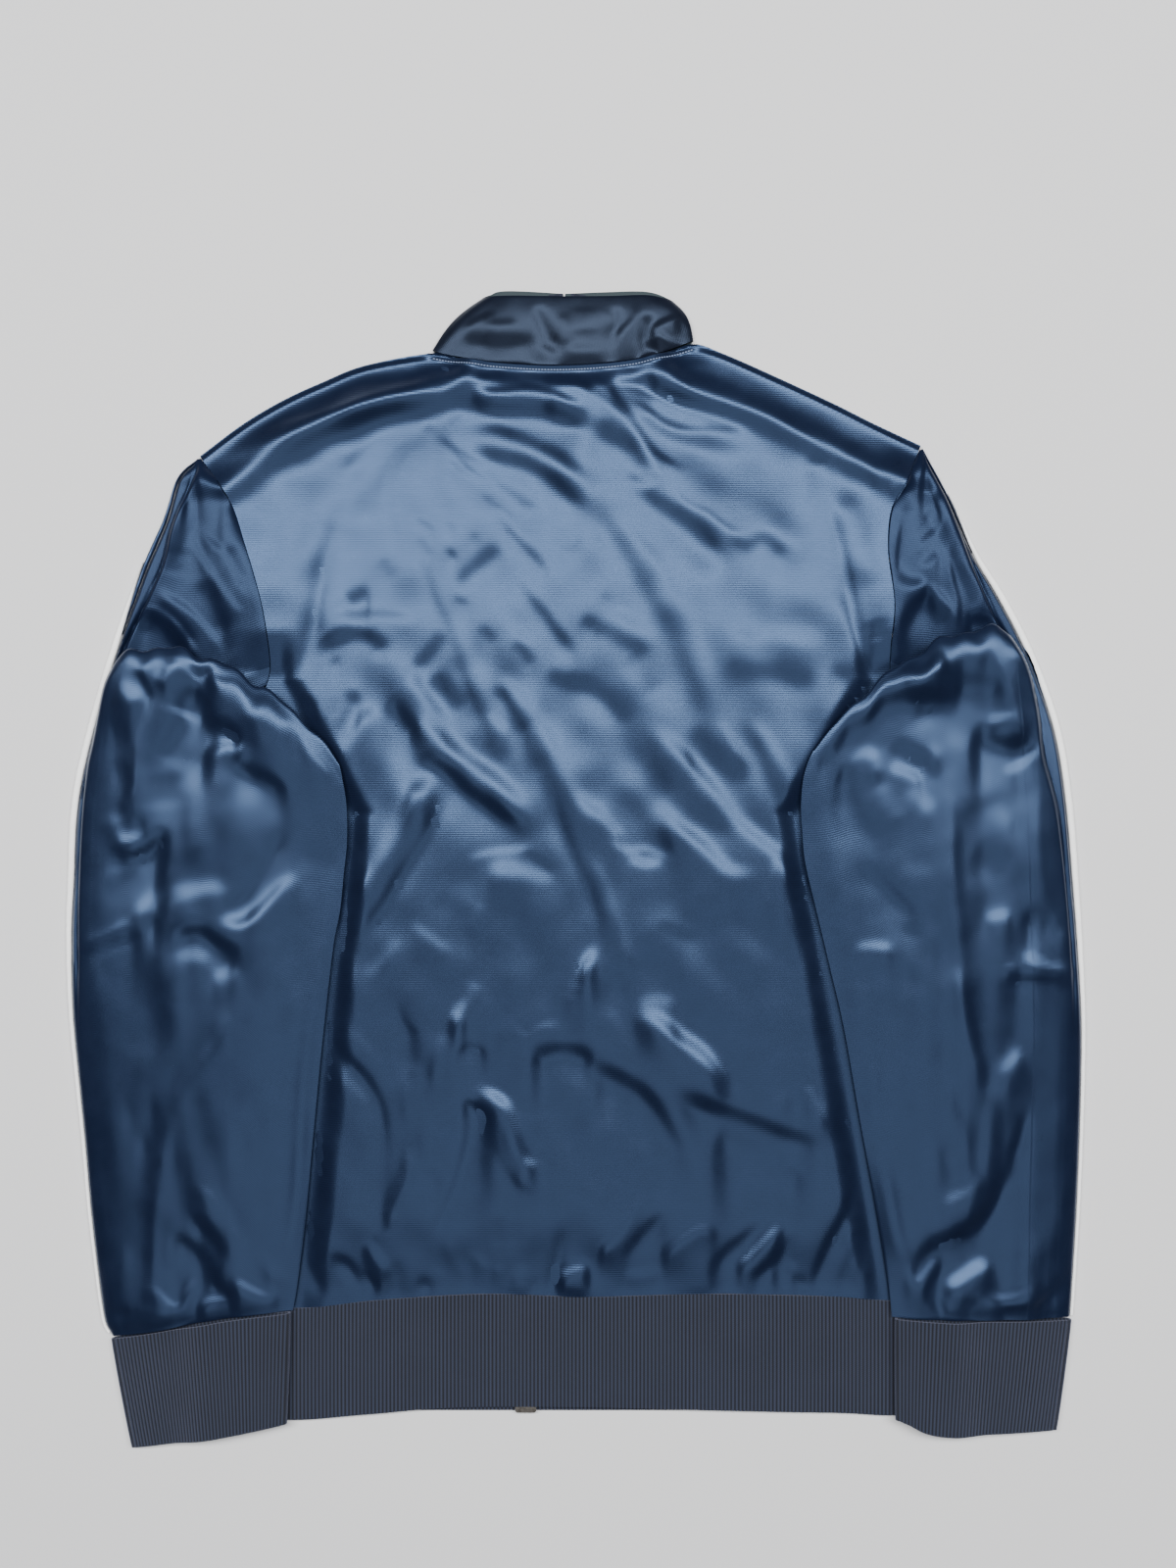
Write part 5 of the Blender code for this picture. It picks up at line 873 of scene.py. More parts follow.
CUFFS = {
    "left": {
        "top": [(-308, -310.5), (-274, -304.5), (-231, -295.6), (-187, -291.4)],
        "foot": [(-294, -382), (-190, -364)],
        "rest_to": -268.0, "lifted_from": -242.0,    # x of its part on the floor, and lifted
    },
    "right": {
        "top": [(328, -297.6), (290, -297.6), (250, -297.0), (209, -295.4)],
        "foot": [(318, -370), (242, -371), (218, -364), (210, -360.5)],
        "rest_to": 272.0, "lifted_from": 246.0,
    },
}
CUFF_FOLD_RADIUS = 1.4    # of the turn at both of its sides
CUFF_PUFF = 3.2           # how far the layers part in between
CUFF_CLEAR = 0.8          # added to the sleeve's height over the body
CUFF_TURN_SHARE = 0.03    # share of the width that each turn takes


# Curves and blends ------------------------------------------------------------------------------

def smoothstep(low, high, value):
    """0 up to low and 1 from high on, smooth between. High may be the lower of the two."""
    share = np.clip((value - low) / (high - low), 0.0, 1.0)
    return share * share * (3.0 - 2.0 * share)


def from_least(least, share):
    """The least value where the share is 0, and 1 where it is 1."""
    return least + (1.0 - least) * share


def hump(shares, power):
    """0 at shares 0 and 1, and 1 half way: the lower the power, the steeper its ends."""
    return np.sin(math.pi * shares) ** power


def soft_floor(height, floor, blend):
    """The height where it is well above the floor, and never below the floor."""
    over = height - floor
    return floor + 0.5 * (over + np.sqrt(over * over + blend * blend))


def unit(vectors):
    """Vectors made 1 long."""
    return vectors / np.linalg.norm(vectors, axis=-1, keepdims=True)


def lengths_along(points):
    """The length travelled at each point of a line."""
    steps = np.linalg.norm(np.diff(points, axis=0), axis=1)
    return np.concatenate([[0.0], np.cumsum(steps)])


def catmull_rom(rows, count_between):
    """Points of a smooth curve through the rows (any number of columns)."""
    rows = np.asarray(rows, float)
    padded = np.vstack([2 * rows[0] - rows[1], rows, 2 * rows[-1] - rows[-2]])
    points = []
    for index in range(len(rows) - 1):
        before, start, end, after = padded[index:index + 4]
        for step in range(count_between):
            t = step / count_between
            points.append(0.5 * (2 * start + (end - before) * t
                                 + (2 * before - 5 * start + 4 * end - after) * t * t
                                 + (3 * start - before - 3 * end + after) * t ** 3))
    points.append(rows[-1])
    return np.array(points)


def along(points, shares):
    """Points at the given shares of a curve's length in plan."""
    length_at = lengths_along(points[:, :2])
    at = np.asarray(shares) * length_at[-1]
    return np.stack([np.interp(at, length_at, points[:, k]) for k in range(points.shape[1])], 1)


def smooth_edge(points, shares):
    """Points at the given shares along the smooth curve through an outline."""
    return along(catmull_rom(points, 16), shares)


def read_off(line, at, by=1):
    """The other coordinate of a line in plan, where its coordinate number by has given values."""
    order = np.argsort(line[:, by])
    return np.interp(at, line[order, by], line[order, 1 - by])


def coons(top, bottom, left, right):
    """A grid of points that fills four edges. top and bottom run left to right, sides run down."""
    rows, cols = len(left), len(top)
    v = np.linspace(0, 1, rows)[:, None, None]
    u = np.linspace(0, 1, cols)[None, :, None]
    ruled_down = (1 - v) * top[None] + v * bottom[None]
    ruled_across = (1 - u) * left[:, None] + u * right[:, None]
    corners = ((1 - u) * (1 - v) * top[0] + u * (1 - v) * top[-1]
               + (1 - u) * v * bottom[0] + u * v * bottom[-1])
    return ruled_down + ruled_across - corners


def nearest_on_path(x, y, path):
    """Distance from each point to a path, the share of its length there, and the side (+1 left)."""
    flat = np.stack([np.ravel(x), np.ravel(y)], 1)
    start = path[:-1]
    step = path[1:] - start
    length = np.linalg.norm(step, axis=1)
    travelled = lengths_along(path)
    offset = flat[:, None] - start[None]
    t = np.clip((offset * step).sum(2) / (length ** 2), 0.0, 1.0)
    gap = offset - t[:, :, None] * step
    distance = np.linalg.norm(gap, axis=2)
    best = distance.argmin(1)
    rows = np.arange(len(flat))
    share = (travelled[best] + t[rows, best] * length[best]) / travelled[-1]
    side = np.sign(step[best, 0] * gap[rows, best, 1] - step[best, 1] * gap[rows, best, 0])
    shape = np.shape(x)
    return distance[rows, best].reshape(shape), share.reshape(shape), side.reshape(shape)


def distance_to(x, y, *lines):
    """Distance from each point to the nearest of some lines."""
    return np.minimum.reduce([nearest_on_path(x, y, line)[0] for line in lines])


# Folds, creases and waves -----------------------------------------------------------------------

def runs_across(path, passes=6):
    """How far a path runs across the cloth at each of its points (0 down the cloth, 1 straight
    across), evened out along it."""
    way = np.gradient(path, axis=0)
    for _ in range(passes):
        way[1:-1] = 0.25 * way[:-2] + 0.5 * way[1:-1] + 0.25 * way[2:]
    return way[:, 0] ** 2 / (way ** 2).sum(1)


def blurred(heights):
    """A raster smoothed along its rows."""
    offsets = np.arange(-BLUR_POINTS, BLUR_POINTS + 1) * RELIEF_STEP
    weights = np.exp(-0.5 * (offsets / FOLD_BLUR) ** 2)
    padded = np.pad(heights, ((0, 0), (BLUR_POINTS, BLUR_POINTS)), mode="edge")
    count = heights.shape[1]
    return sum(w * padded[:, k:k + count] for k, w in enumerate(weights)) / weights.sum()


def draw_strokes(strokes, xs, ys):
    """Two rasters of what strokes of (strength, half width, path) add up to: slopes where they
    run across the cloth, and ridges and troughs where they run down it."""
    slopes = np.zeros((len(ys), len(xs)))
    ridges = np.zeros_like(slopes)
    for strength, half, path in strokes:
        strength = math.copysign(abs(strength) ** FOLD_CONTRAST, strength)
        curve = catmull_rom(path, 4)
        reach = STROKE_REACH * half
        (x_low, y_low), (x_high, y_high) = curve.min(0) - reach, curve.max(0) + reach
        cols = slice(*np.searchsorted(xs, [x_low, x_high]))
        rows = slice(*np.searchsorted(-ys, [-y_high, -y_low]))
        if cols.start == cols.stop or rows.start == rows.stop:
            continue
        x, y = np.meshgrid(xs[cols], ys[rows])
        distance, share, _ = nearest_on_path(x, y, curve)
        length_at = lengths_along(curve)
        across = np.interp(share, length_at / length_at[-1], runs_across(curve))
        is_slope = smoothstep(*SLOPE_ACROSS, across)
        faded = strength * (smoothstep(*STROKE_END, share) * smoothstep(*STROKE_END, 1.0 - share))
        slopes[rows, cols] += (faded * from_least(RIDGE_SLOPE, is_slope)
                               * np.exp(-(distance / half) ** 2))
        ridges[rows, cols] += (faded * (1.0 - is_slope) * half
                               * np.exp(-(distance / (RIDGE_WIDTH * half)) ** 2))
    return slopes, ridges


def relief(strokes, box, start):
    """A function that gives the heights of the folds of some strokes at any points in a box.

    A stroke above 0 is a slope that faces the collar and one below 0 faces the hem. The heights
    add up down the cloth from the start heights (x, y, height) along its upper edge, spread a
    little sideways and die away over FOLD_REACH."""
    (left, foot), (right, top) = box
    xs = np.arange(left, right, RELIEF_STEP)
    ys = np.arange(top, foot, -RELIEF_STEP)
    slopes, ridges = draw_strokes(strokes, xs, ys)
    slopes = FOLD_LIMIT * np.tanh(slopes / FOLD_LIMIT) * FOLD_SLOPE
    start_x, start_y, start_height = np.array(start, float).T
    upper_edge = np.interp(xs, start_x, start_y)
    keep = math.exp(-RELIEF_STEP / FOLD_REACH)
    heights = np.zeros_like(slopes)
    level = np.zeros(len(xs))
    for row, y in enumerate(ys):
        level[1:-1] += FOLD_SPREAD * (level[2:] - 2.0 * level[1:-1] + level[:-2])
        level = np.where(y > upper_edge, 0.0, level * keep + slopes[row] * RELIEF_STEP)
        heights[row] = level
    heights += np.where(ridges > 0.0, RIDGE_HEIGHT, TROUGH_DEPTH) * ridges
    heights = np.where(heights > 0.0, FOLD_TOP * np.tanh(heights / FOLD_TOP),
                       FOLD_FOOT * np.tanh(heights / FOLD_FOOT))
    below = np.clip(upper_edge[None, :] - ys[:, None], 0.0, None)
    left_over = np.clip(1.0 - below / START_REACH, 0.0, 1.0)
    heights += np.interp(xs, start_x, start_height)[None, :] * left_over ** START_POWER
    heights = blurred(blurred(heights).T).T

    def height_at(x, y):
        col = np.clip((x - left) / RELIEF_STEP, 0, len(xs) - 1.001)
        row = np.clip((top - y) / RELIEF_STEP, 0, len(ys) - 1.001)
        c, r = col.astype(int), row.astype(int)
        u, v = col - c, row - r
        return ((1 - u) * (1 - v) * heights[r, c] + u * (1 - v) * heights[r, c + 1]
                + (1 - u) * v * heights[r + 1, c] + u * v * heights[r + 1, c + 1])

    return height_at


def crease(x, y, path, rise, left, right):
    """What one crease adds: a soft ridge along its path, narrower and lower towards its ends."""
    curve = catmull_rom(path, 6)
    reach = CREASE_REACH * max(left, right)
    low, high = curve.min(0) - reach, curve.max(0) + reach
    near = (x > low[0]) & (x < high[0]) & (y > low[1]) & (y < high[1])
    added = np.zeros(np.shape(x))
    if not near.any():
        return added
    distance, share, side = nearest_on_path(x[near], y[near], curve)
    fade = smoothstep(0.0, CREASE_END, share) * smoothstep(0.0, CREASE_END, 1.0 - share)
    across = np.where(side > 0, left, right) * from_least(CREASE_END_WIDTH, fade)
    out = (distance ** 2 + (CREASE_ROUND * across) ** 2) ** 0.5
    added[near] = rise * fade * np.exp(-(out / across) ** CREASE_POWER)
    return added


def creases(x, y, table):
    """All the creases of a table, as ridges that blend into each other."""
    return np.sqrt(sum(crease(x, y, *row) ** 2 for row in table))


def ripples(x, y, wave, seed):
    """Gentle waves in all directions, about 1 high at most, of roughly the given wavelength."""
    local = np.random.default_rng(seed)
    total = np.zeros(np.shape(x))
    for _ in range(RIPPLE_WAVES):
        angle = local.uniform(0, math.pi)
        size = wave * local.uniform(*RIPPLE_SIZES)
        phase = local.uniform(0, 2 * math.pi)
        total += np.sin((x * math.cos(angle) + y * math.sin(angle)) * 2 * math.pi / size + phase)
    return total / math.sqrt(2.0 * RIPPLE_WAVES)


def streaks(x, y, angle, wave, seed):
    """Gentle ripples drawn out along a direction (in degrees), about 1 high at most."""
    turn = math.radians(angle)
    along_way = x * math.cos(turn) + y * math.sin(turn)
    across_way = -x * math.sin(turn) + y * math.cos(turn)
    return ripples(STREAK_SHARE * along_way, across_way, wave, seed)


# Heights of the layers --------------------------------------------------------------------------

def zip_x(y):
    """The zip's centre line."""
    share = (ZIP_TOP[1] - y) / (ZIP_TOP[1] - ZIP_FOOT[1])
    return ZIP_TOP[0] + share * (ZIP_FOOT[0] - ZIP_TOP[0])


def chain_height(y):
    """Middle of the zip's chain above the floor."""
    return CHAIN_LOW + (CHAIN_HIGH - CHAIN_LOW) * smoothstep(*CHAIN_RISES, y)


def sleeve_cover(x, y):
    """1 where the back shows, 0 where a sleeve lies on it."""
    left_edge = np.interp(y, COVER_Y, COVER_LEFT)
    right_edge = np.interp(y, COVER_Y, COVER_RIGHT)
    from_left = smoothstep(left_edge + COVER_FADE[0], left_edge + COVER_FADE[1], x)
    from_right = smoothstep(COVER_FADE[0] - right_edge, COVER_FADE[1] - right_edge, -x)
    return from_least(from_left * from_right, smoothstep(*COVER_ENDS, y))


def neck_distance(x, y):
    """Distance from the collar seam."""
    return distance_to(x, y, NECK_LINE)


NECK_LINE = catmull_rom(NECK, 4)
SHOULDER_LINES = [catmull_rom(SHOULDER_LEFT, 4), catmull_rom(SHOULDER_RIGHT, 4)]
back_relief = relief(BACK_FOLDS, BACK_BOX, BACK_START)


def back_under(x, y):
    """Height of the back panel's underside."""
    shown = sleeve_cover(x, y)
    from_neck = neck_distance(x, y)
    middle = NECK_LIE + (BACK_LIE - NECK_LIE) * smoothstep(0.0, NECK_SLOPE, from_neck)
    middle = middle + (HEM_LIE - BACK_LIE) * smoothstep(*HEM_SLOPE, y)
    folds = (back_relief(x, y) + 0.25 * ripples(x, y, wave=40, seed=5)
             + 0.5 * streaks(x, y, angle=-62.0, wave=34, seed=6))
    folds = folds * from_least(HEM_FOLDS_LEAST, smoothstep(*HEM_FOLDS, y))
    folds = folds * from_least(NECK_FOLDS_LEAST, smoothstep(*NECK_FOLDS, from_neck))
    height = SIDE_LIE + shown * (middle - SIDE_LIE + folds)
    near_zip = 1.0 - smoothstep(*OVER_ZIP, np.abs(x - zip_x(y)))
    over_chain = chain_height(y) + 0.5 * CHAIN_WALL + OVER_ZIP_GAP
    floor = SIDE_LIE + (over_chain - SIDE_LIE) * near_zip
    lifted = soft_floor(height, floor - OVER_ZIP_GAP * shown, OVER_ZIP_BLEND * shown)
    height = np.where(shown > 0.001, lifted, SIDE_LIE)
    from_shoulder = distance_to(x, y, *SHOULDER_LINES)
    rise = (SHOULDER_LIP * smoothstep(0.0, SHOULDER_LIP_END, from_shoulder)
            + (1.0 - SHOULDER_LIP) * smoothstep(*SHOULDER_SLOPE, from_shoulder))
    height = EDGE_LIE + (height - EDGE_LIE) * rise
    from_ridge = (from_shoulder - SHOULDER_SLOPE[1]) / SHOULDER_RIDGE_HALF
    height = height + SHOULDER_RIDGE * np.exp(-from_ridge ** 2) * shown
    from_side = distance_to(x, y, SIDE_SEAM["left"], SIDE_SEAM["right"])
    return EDGE_LIE + (height - EDGE_LIE) * smoothstep(*SIDE_SEAM_SLOPE, from_side)


def inside_body(x, y, side):
    """Distance of points inside the body's side seam (below 0 outside it)."""
    return (read_off(SIDE_SEAM[side], y) - x) * OUTWARD[side]


def sleeve_under(x, y, side):
    """Underside of a sleeve's lower half: on the floor, then over the body's side."""
    lifted = smoothstep(*SLEEVE_LIFT, inside_body(x, y, side))
    return SLEEVE_LIE * lifted * (1.0 - smoothstep(*SLEEVE_LIFT_ENDS, y))


# Materials --------------------------------------------------------------------------------------

class Finish:
    """A node material: short names for making nodes and joining them."""

    def __init__(self, name, colour, roughness, metallic=0.0):
        self.material = bpy.data.materials.new(name)
        self.material.use_nodes = True
        self.nodes = self.material.node_tree.nodes
        self.links = self.material.node_tree.links
        self.shader = self.nodes["Principled BSDF"]
        self.sockets(Base_Color=(*colour, 1.0), Roughness=roughness, Metallic=metallic)
        self.material.diffuse_color = (*colour, 1.0)

    def sockets(self, **values):
        """Sets the shader's own sockets, by their names with _ for each space."""
        for name, value in values.items():
            self.shader.inputs[name.replace("_", " ")].default_value = value

    def node(self, kind, **values):
        """A node, with its settings and its inputs by name."""
        made = self.nodes.new(kind)
        for key, value in values.items():
            if hasattr(made, key):
                setattr(made, key, value)
            else:
                made.inputs[key.replace("_", " ")].default_value = value
        return made

    def join(self, source, target):
        self.links.new(source, target)

    def math(self, operation, *values):
        """The result of a Math node on numbers and other nodes' results."""
        made = self.node("ShaderNodeMath", operation=operation)
        for socket, value in zip(made.inputs, values):
            if isinstance(value, (int, float)):
                socket.default_value = value
            else:
                self.join(value, socket)
        return made.outputs[0]

    def weighted(self, *parts):
        """The sum of some values, each given with its weight."""
        weighed = [self.math("MULTIPLY", value, weight) for value, weight in parts]
        total = weighed[0]
        for part in weighed[1:]:
            total = self.math("ADD", total, part)
        return total

    def along_cloth(self):
        """The cloth's own coordinates, in millimetres across and along the panel."""
        coords = self.node("ShaderNodeUVMap", uv_map="Cloth")
        return self.parts(coords.outputs[0])[:2]

    def parts(self, vector):
        """The three coordinates of a vector."""
        made = self.node("ShaderNodeSeparateXYZ")
        self.join(vector, made.inputs[0])
        return list(made.outputs)

    def place(self):
        """Position on the object, in metres."""
        return self.node("ShaderNodeTexCoord").outputs["Object"]

    def noise(self, where, scale, detail=2.0, rough=0.5):
        made = self.node("ShaderNodeTexNoise", Scale=scale, Detail=detail, Roughness=rough)
        self.join(where, made.inputs["Vector"])
        return made.outputs["Fac"]

    def lines(self, value, pitch, shift=None):
        """0 to 1 and back once every pitch."""
        turn = self.math("MULTIPLY", value, 2 * math.pi / pitch)
        if shift is not None:
            turn = self.math("ADD", turn, shift)
        return self.math("MULTIPLY_ADD", self.math("SINE", turn), 0.5, 0.5)

    def ranged(self, value, low, high, to_low, to_high):
        """A value from one range brought to another, and kept in it."""
        made = self.node("ShaderNodeMapRange", From_Min=low, From_Max=high, To_Min=to_low,
                         To_Max=to_high)
        self.join(value, made.inputs["Value"])
        return made.outputs[0]

    def colour(self, share, low, high, first, second):
        """Colours the surface from first to second where a share runs from low to high."""
        made = self.node("ShaderNodeMix", data_type="RGBA")
        factor, a, b, mixed = made.inputs[0], made.inputs[6], made.inputs[7], made.outputs[2]
        self.join(self.ranged(share, low, high, 0.0, 1.0), factor)
        a.default_value = (*first, 1.0)
        b.default_value = (*second, 1.0)
        self.join(mixed, self.shader.inputs["Base Color"])

    def roughness(self, source):
        self.join(source, self.shader.inputs["Roughness"])

    def bump(self, height, distance, strength=1.0, under=None):
        """A bump of a height from 0 to 1, its depth in millimetres."""
        made = self.node("ShaderNodeBump", Strength=strength, Distance=distance * MM)
        self.join(height, made.inputs["Height"])
        if under is not None:
            self.join(under, made.inputs["Normal"])
        self.join(made.outputs[0], self.shader.inputs["Normal"])
        return made.outputs[0]


def satin(name, dark, light, shine, roughness, gloss_level, pitch=SATIN_PITCH, upright=False):
    """Satin tricot: fine lines across the cloth (or along it, upright), a soft tinted gloss and
    slight mottling."""
    made = Finish(name, light, roughness)
    place = made.place()
    across, down = made.along_cloth()
    drift = made.math("MULTIPLY", made.noise(place, scale=38.0, detail=3.0), 2.2)
    thread = made.lines(across if upright else down, pitch, drift)
    mottle = made.noise(place, scale=60.0, detail=4.0, rough=0.6)
    fuzz = made.noise(place, scale=900.0, rough=0.6)
    made.colour(made.weighted((thread, 0.4), (mottle, 0.6)), 0.15, 0.85, dark, light)
    gloss = made.weighted((thread, -0.05), (mottle, 0.08))
    made.roughness(made.math("ADD", gloss, roughness))
    threads = made.bump(thread, distance=0.025)
    made.bump(fuzz, distance=0.02, strength=0.6, under=threads)
    made.sockets(IOR=1.6, Specular_IOR_Level=gloss_level, Specular_Tint=(*shine, 1.0),
                 Sheen_Weight=0.03, Sheen_Roughness=0.5, Sheen_Tint=(0.45, 0.6, 0.9, 1.0))
    return made.material


def rib_knit(name, painted_valley_shade, crest):
    """Rib knit: matt yarn with painted shade, near black, in the valleys between the ribs, and the
    small loops of each rib.
    """
    made = Finish(name, crest, 0.86)
    across, down = made.along_cloth()
    place = made.place()
    rib = made.lines(across, RIB_PITCH)
    slant = made.math("MULTIPLY", across, 2 * math.pi / RIB_PITCH)
    loops = made.lines(down, 1.3, slant)
    fuzz = made.noise(place, scale=1400.0, detail=3.0, rough=0.7)
    mottle = made.noise(place, scale=30.0, detail=3.0)
    # The rib lines paint shade into the valleys between the ribs; the loops, fuzz and mottle are
    # the knit's own tone.
    painted_shade_and_tone = made.weighted((rib, 0.75), (loops, 0.15), (fuzz, 0.3), (mottle, 0.15))
    made.colour(painted_shade_and_tone, 0.3, 1.15, painted_valley_shade, crest)
    loop_bump = made.bump(loops, distance=0.18, strength=0.7)
    made.bump(fuzz, distance=0.15, strength=0.6, under=loop_bump)
    made.sockets(Specular_IOR_Level=0.25, Sheen_Weight=0.25, Sheen_Roughness=0.6,
                 Sheen_Tint=(0.5, 0.52, 0.7, 1.0))
    return made.material


def woven(name, dark, light, roughness):
    """A plain woven tape or cord: two crossing sets of fine threads."""
    made = Finish(name, light, roughness)
    place = made.place()
    x, y, _ = made.parts(place)
    warp, weft = [made.lines(made.math("MULTIPLY", way, 1.0 / MM), WEAVE_PITCH) for way in (x, y)]
    weave = made.math("MULTIPLY", warp, weft)
    wear = made.noise(place, scale=120.0, detail=4.0, rough=0.65)
    made.colour(made.weighted((weave, 0.5), (wear, 0.6)), 0.2, 0.7, dark, light)
    made.bump(weave, distance=0.06, strength=0.8)
    made.sockets(Specular_IOR_Level=0.3)
    return made.material


def metal(name, dark, light, roughness):
    """Plated metal, a little tarnished and scratched."""
    made = Finish(name, light, roughness, metallic=1.0)
    place = made.place()
    tarnish = made.noise(place, scale=260.0, detail=5.0, rough=0.7)
    scratches = made.noise(place, scale=1800.0)
    made.colour(tarnish, 0.35, 0.7, dark, light)
    made.roughness(made.ranged(tarnish, 0.3, 0.7, roughness + 0.12, roughness - 0.08))
    made.bump(scratches, distance=0.03, strength=0.5)
    return made.material


def thread_finish(name, colour):
    """Twisted sewing thread."""
    made = Finish(name, colour, 0.55)
    twist = made.noise(made.place(), scale=2500.0)
    made.colour(twist, 0.0, 1.0, tuple(0.6 * c for c in colour), colour)
    made.bump(twist, distance=0.05, strength=0.6)
    made.sockets(Sheen_Weight=0.2)
    return made.material


SATIN_COLOURS = {"dark": (0.0024, 0.004, 0.012), "light": (0.0056, 0.009, 0.024),
                 "shine": (0.35, 0.56, 1.0)}
NAVY = satin("Navy satin", **SATIN_COLOURS, roughness=0.30, gloss_level=0.47)
CAP_NAVY = satin("Cap satin", **SATIN_COLOURS, roughness=0.30, gloss_level=0.19)
COLLAR_NAVY = satin("Collar satin", dark=(0.003, 0.004, 0.008), light=(0.007, 0.009, 0.017),
                    shine=(0.48, 0.65, 1.0), roughness=0.29, gloss_level=0.13,
                    pitch=COLLAR_PITCH, upright=True)
COLLAR_INSIDE = satin("Collar inside", dark=(0.020, 0.028, 0.032), light=(0.030, 0.041, 0.046),
                      shine=(0.8, 0.95, 1.0), roughness=0.5, gloss_level=0.10,
                      pitch=COLLAR_PITCH, upright=True)
# The rib knit's valley colour is painted shade between the ribs; the crest colour is the yarn's
# own.
RIB = rib_knit("Rib knit", painted_valley_shade=(0.0002, 0.0004, 0.0012), crest=(0.021, 0.028, 0.051))
WHITE = woven("White piping", (0.86, 0.86, 0.85), (0.97, 0.97, 0.96), roughness=0.55)
TAPE = woven("Zip tape", (0.008, 0.010, 0.020), (0.022, 0.026, 0.046), roughness=0.8)
METAL = metal("Zip metal", (0.16, 0.13, 0.10), (0.42, 0.38, 0.33), roughness=0.34)
BOX_METAL = metal("Zip box metal", (0.05, 0.045, 0.04), (0.13, 0.12, 0.11), roughness=0.5)
THREAD = thread_finish("Navy thread", (0.16, 0.22, 0.36))


# Meshes -----------------------------------------------------------------------------------------

def add_piece(name, points, faces, finish, cloth_uv=None, sharp=50.0, upper=None):
    """A piece of the jacket from points in millimetres. cloth_uv gives each point's place on the
    flat cloth. upper is a second finish and the coordinate down the cloth above which it is."""
    mesh = bpy.data.meshes.new(name)
    mesh.from_pydata((np.asarray(points) * MM).tolist(), [], faces)
    bm = bmesh.new()
    bm.from_mesh(mesh)
    bmesh.ops.recalc_face_normals(bm, faces=bm.faces)
    bm.to_mesh(mesh)
    bm.free()
    if cloth_uv is not None:
        layer = mesh.uv_layers.new(name="Cloth")
        corner = np.zeros(len(mesh.loops), int)
        mesh.loops.foreach_get("vertex_index", corner)
        layer.data.foreach_set("uv", np.asarray(cloth_uv, float)[corner].ravel())
    mesh.materials.append(finish)
    if upper is not None:
        mesh.materials.append(upper[0])
        is_upper = np.asarray(cloth_uv)[:, 1] > upper[1]
        mesh.polygons.foreach_set("material_index", [int(is_upper[list(f)].all()) for f in faces])
    mesh.shade_smooth()
    mesh.set_sharp_from_angle(angle=math.radians(sharp))
    made = bpy.data.objects.new(name, mesh)
    bpy.context.scene.collection.objects.link(made)
    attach(made, "jacket")
    return made


def grid_faces(rows, cols, closed, first=0):
    """Quads of a grid whose points start at an index."""
    wrap = cols if closed else cols - 1
    faces = []
    for r in range(rows - 1):
        base = first + r * cols
        for c in range(wrap):
            d = (c + 1) % cols
            faces.append((base + c, base + d, base + cols + d, base + cols + c))
    return faces


def spread(count, step):
    """Every step-th index, and always the last."""
    kept = list(range(0, count, step))
    if kept[-1] != count - 1:
        kept.append(count - 1)
    return kept


def rim(fine, coarse, kept, closed=False):
    """Faces between a fine row of points and a coarse one that has its kept points."""
    faces = []
    count = len(fine)
    spans = len(kept) if closed else len(kept) - 1
    for k in range(spans):
        start = kept[k]
        end = kept[(k + 1) % len(kept)]
        if end <= start:
            end += count
        middle = (start + end) // 2
        near, far = coarse[k], coarse[(k + 1) % len(kept)]
        for c in range(start, end):
            faces.append((fine[c % count], fine[(c + 1) % count], near if c < middle else far))
        faces.append((fine[middle % count], near, far))
    return faces


def shell(name, outer, inner, finish, uv, step, closed=False, sharp=50.0,
          inside_shift=0.0, upper=None):
    """A thin closed wall between a fine outer grid and the inner grid at every few points.
    inside_shift is added to the coordinate down the cloth on the inner grid."""
    rows, cols = outer.shape[:2]
    keep_r = spread(rows, step)
    keep_c = list(range(0, cols, step)) if closed else spread(cols, step)
    small = inner[np.ix_(keep_r, keep_c)]
    total = rows * cols
    width = len(keep_c)
    points = np.vstack([outer.reshape(-1, 3), small.reshape(-1, 3)])
    inside = uv[np.ix_(keep_r, keep_c)].reshape(-1, 2) + [0.0, inside_shift]
    cloth = np.vstack([uv.reshape(-1, 2), inside])
    faces = grid_faces(rows, cols, closed) + grid_faces(len(keep_r), width, closed, total)
    for r, k in ((0, 0), (rows - 1, len(keep_r) - 1)):
        fine = [r * cols + c for c in range(cols)]
        coarse = [total + k * width + c for c in range(width)]
        faces += rim(fine, coarse, keep_c, closed)
    if not closed:
        for c, k in ((0, 0), (cols - 1, width - 1)):
            fine = [r * cols + c for r in range(rows)]
            coarse = [total + r * width + k for r in range(len(keep_r))]
            faces += rim(fine, coarse, keep_r)
    return add_piece(name, points, faces, finish, cloth, sharp, upper)


def grid_normals(grid, closed=False):
    """Unit normals of a grid of points."""
    if closed:
        across = np.roll(grid, -1, axis=1) - np.roll(grid, 1, axis=1)
    else:
        across = np.gradient(grid, axis=1)
    normal = np.cross(np.gradient(grid, axis=0), across)
    return normal / np.maximum(np.linalg.norm(normal, axis=2, keepdims=True), 1e-9)


def cloth_lengths(grid):
    """Each point's place on the flat cloth: the length across from its row's middle, and the
    length down from the first row."""
    across = np.linalg.norm(np.diff(grid, axis=1), axis=2)
    across = np.concatenate([np.zeros((len(grid), 1)), np.cumsum(across, 1)], 1)
    down = np.linalg.norm(np.diff(grid, axis=0), axis=2)
    down = np.concatenate([np.zeros((1, grid.shape[1])), np.cumsum(down, 0)], 0)
    return np.stack([across - across[:, -1:] / 2, -down], 2)


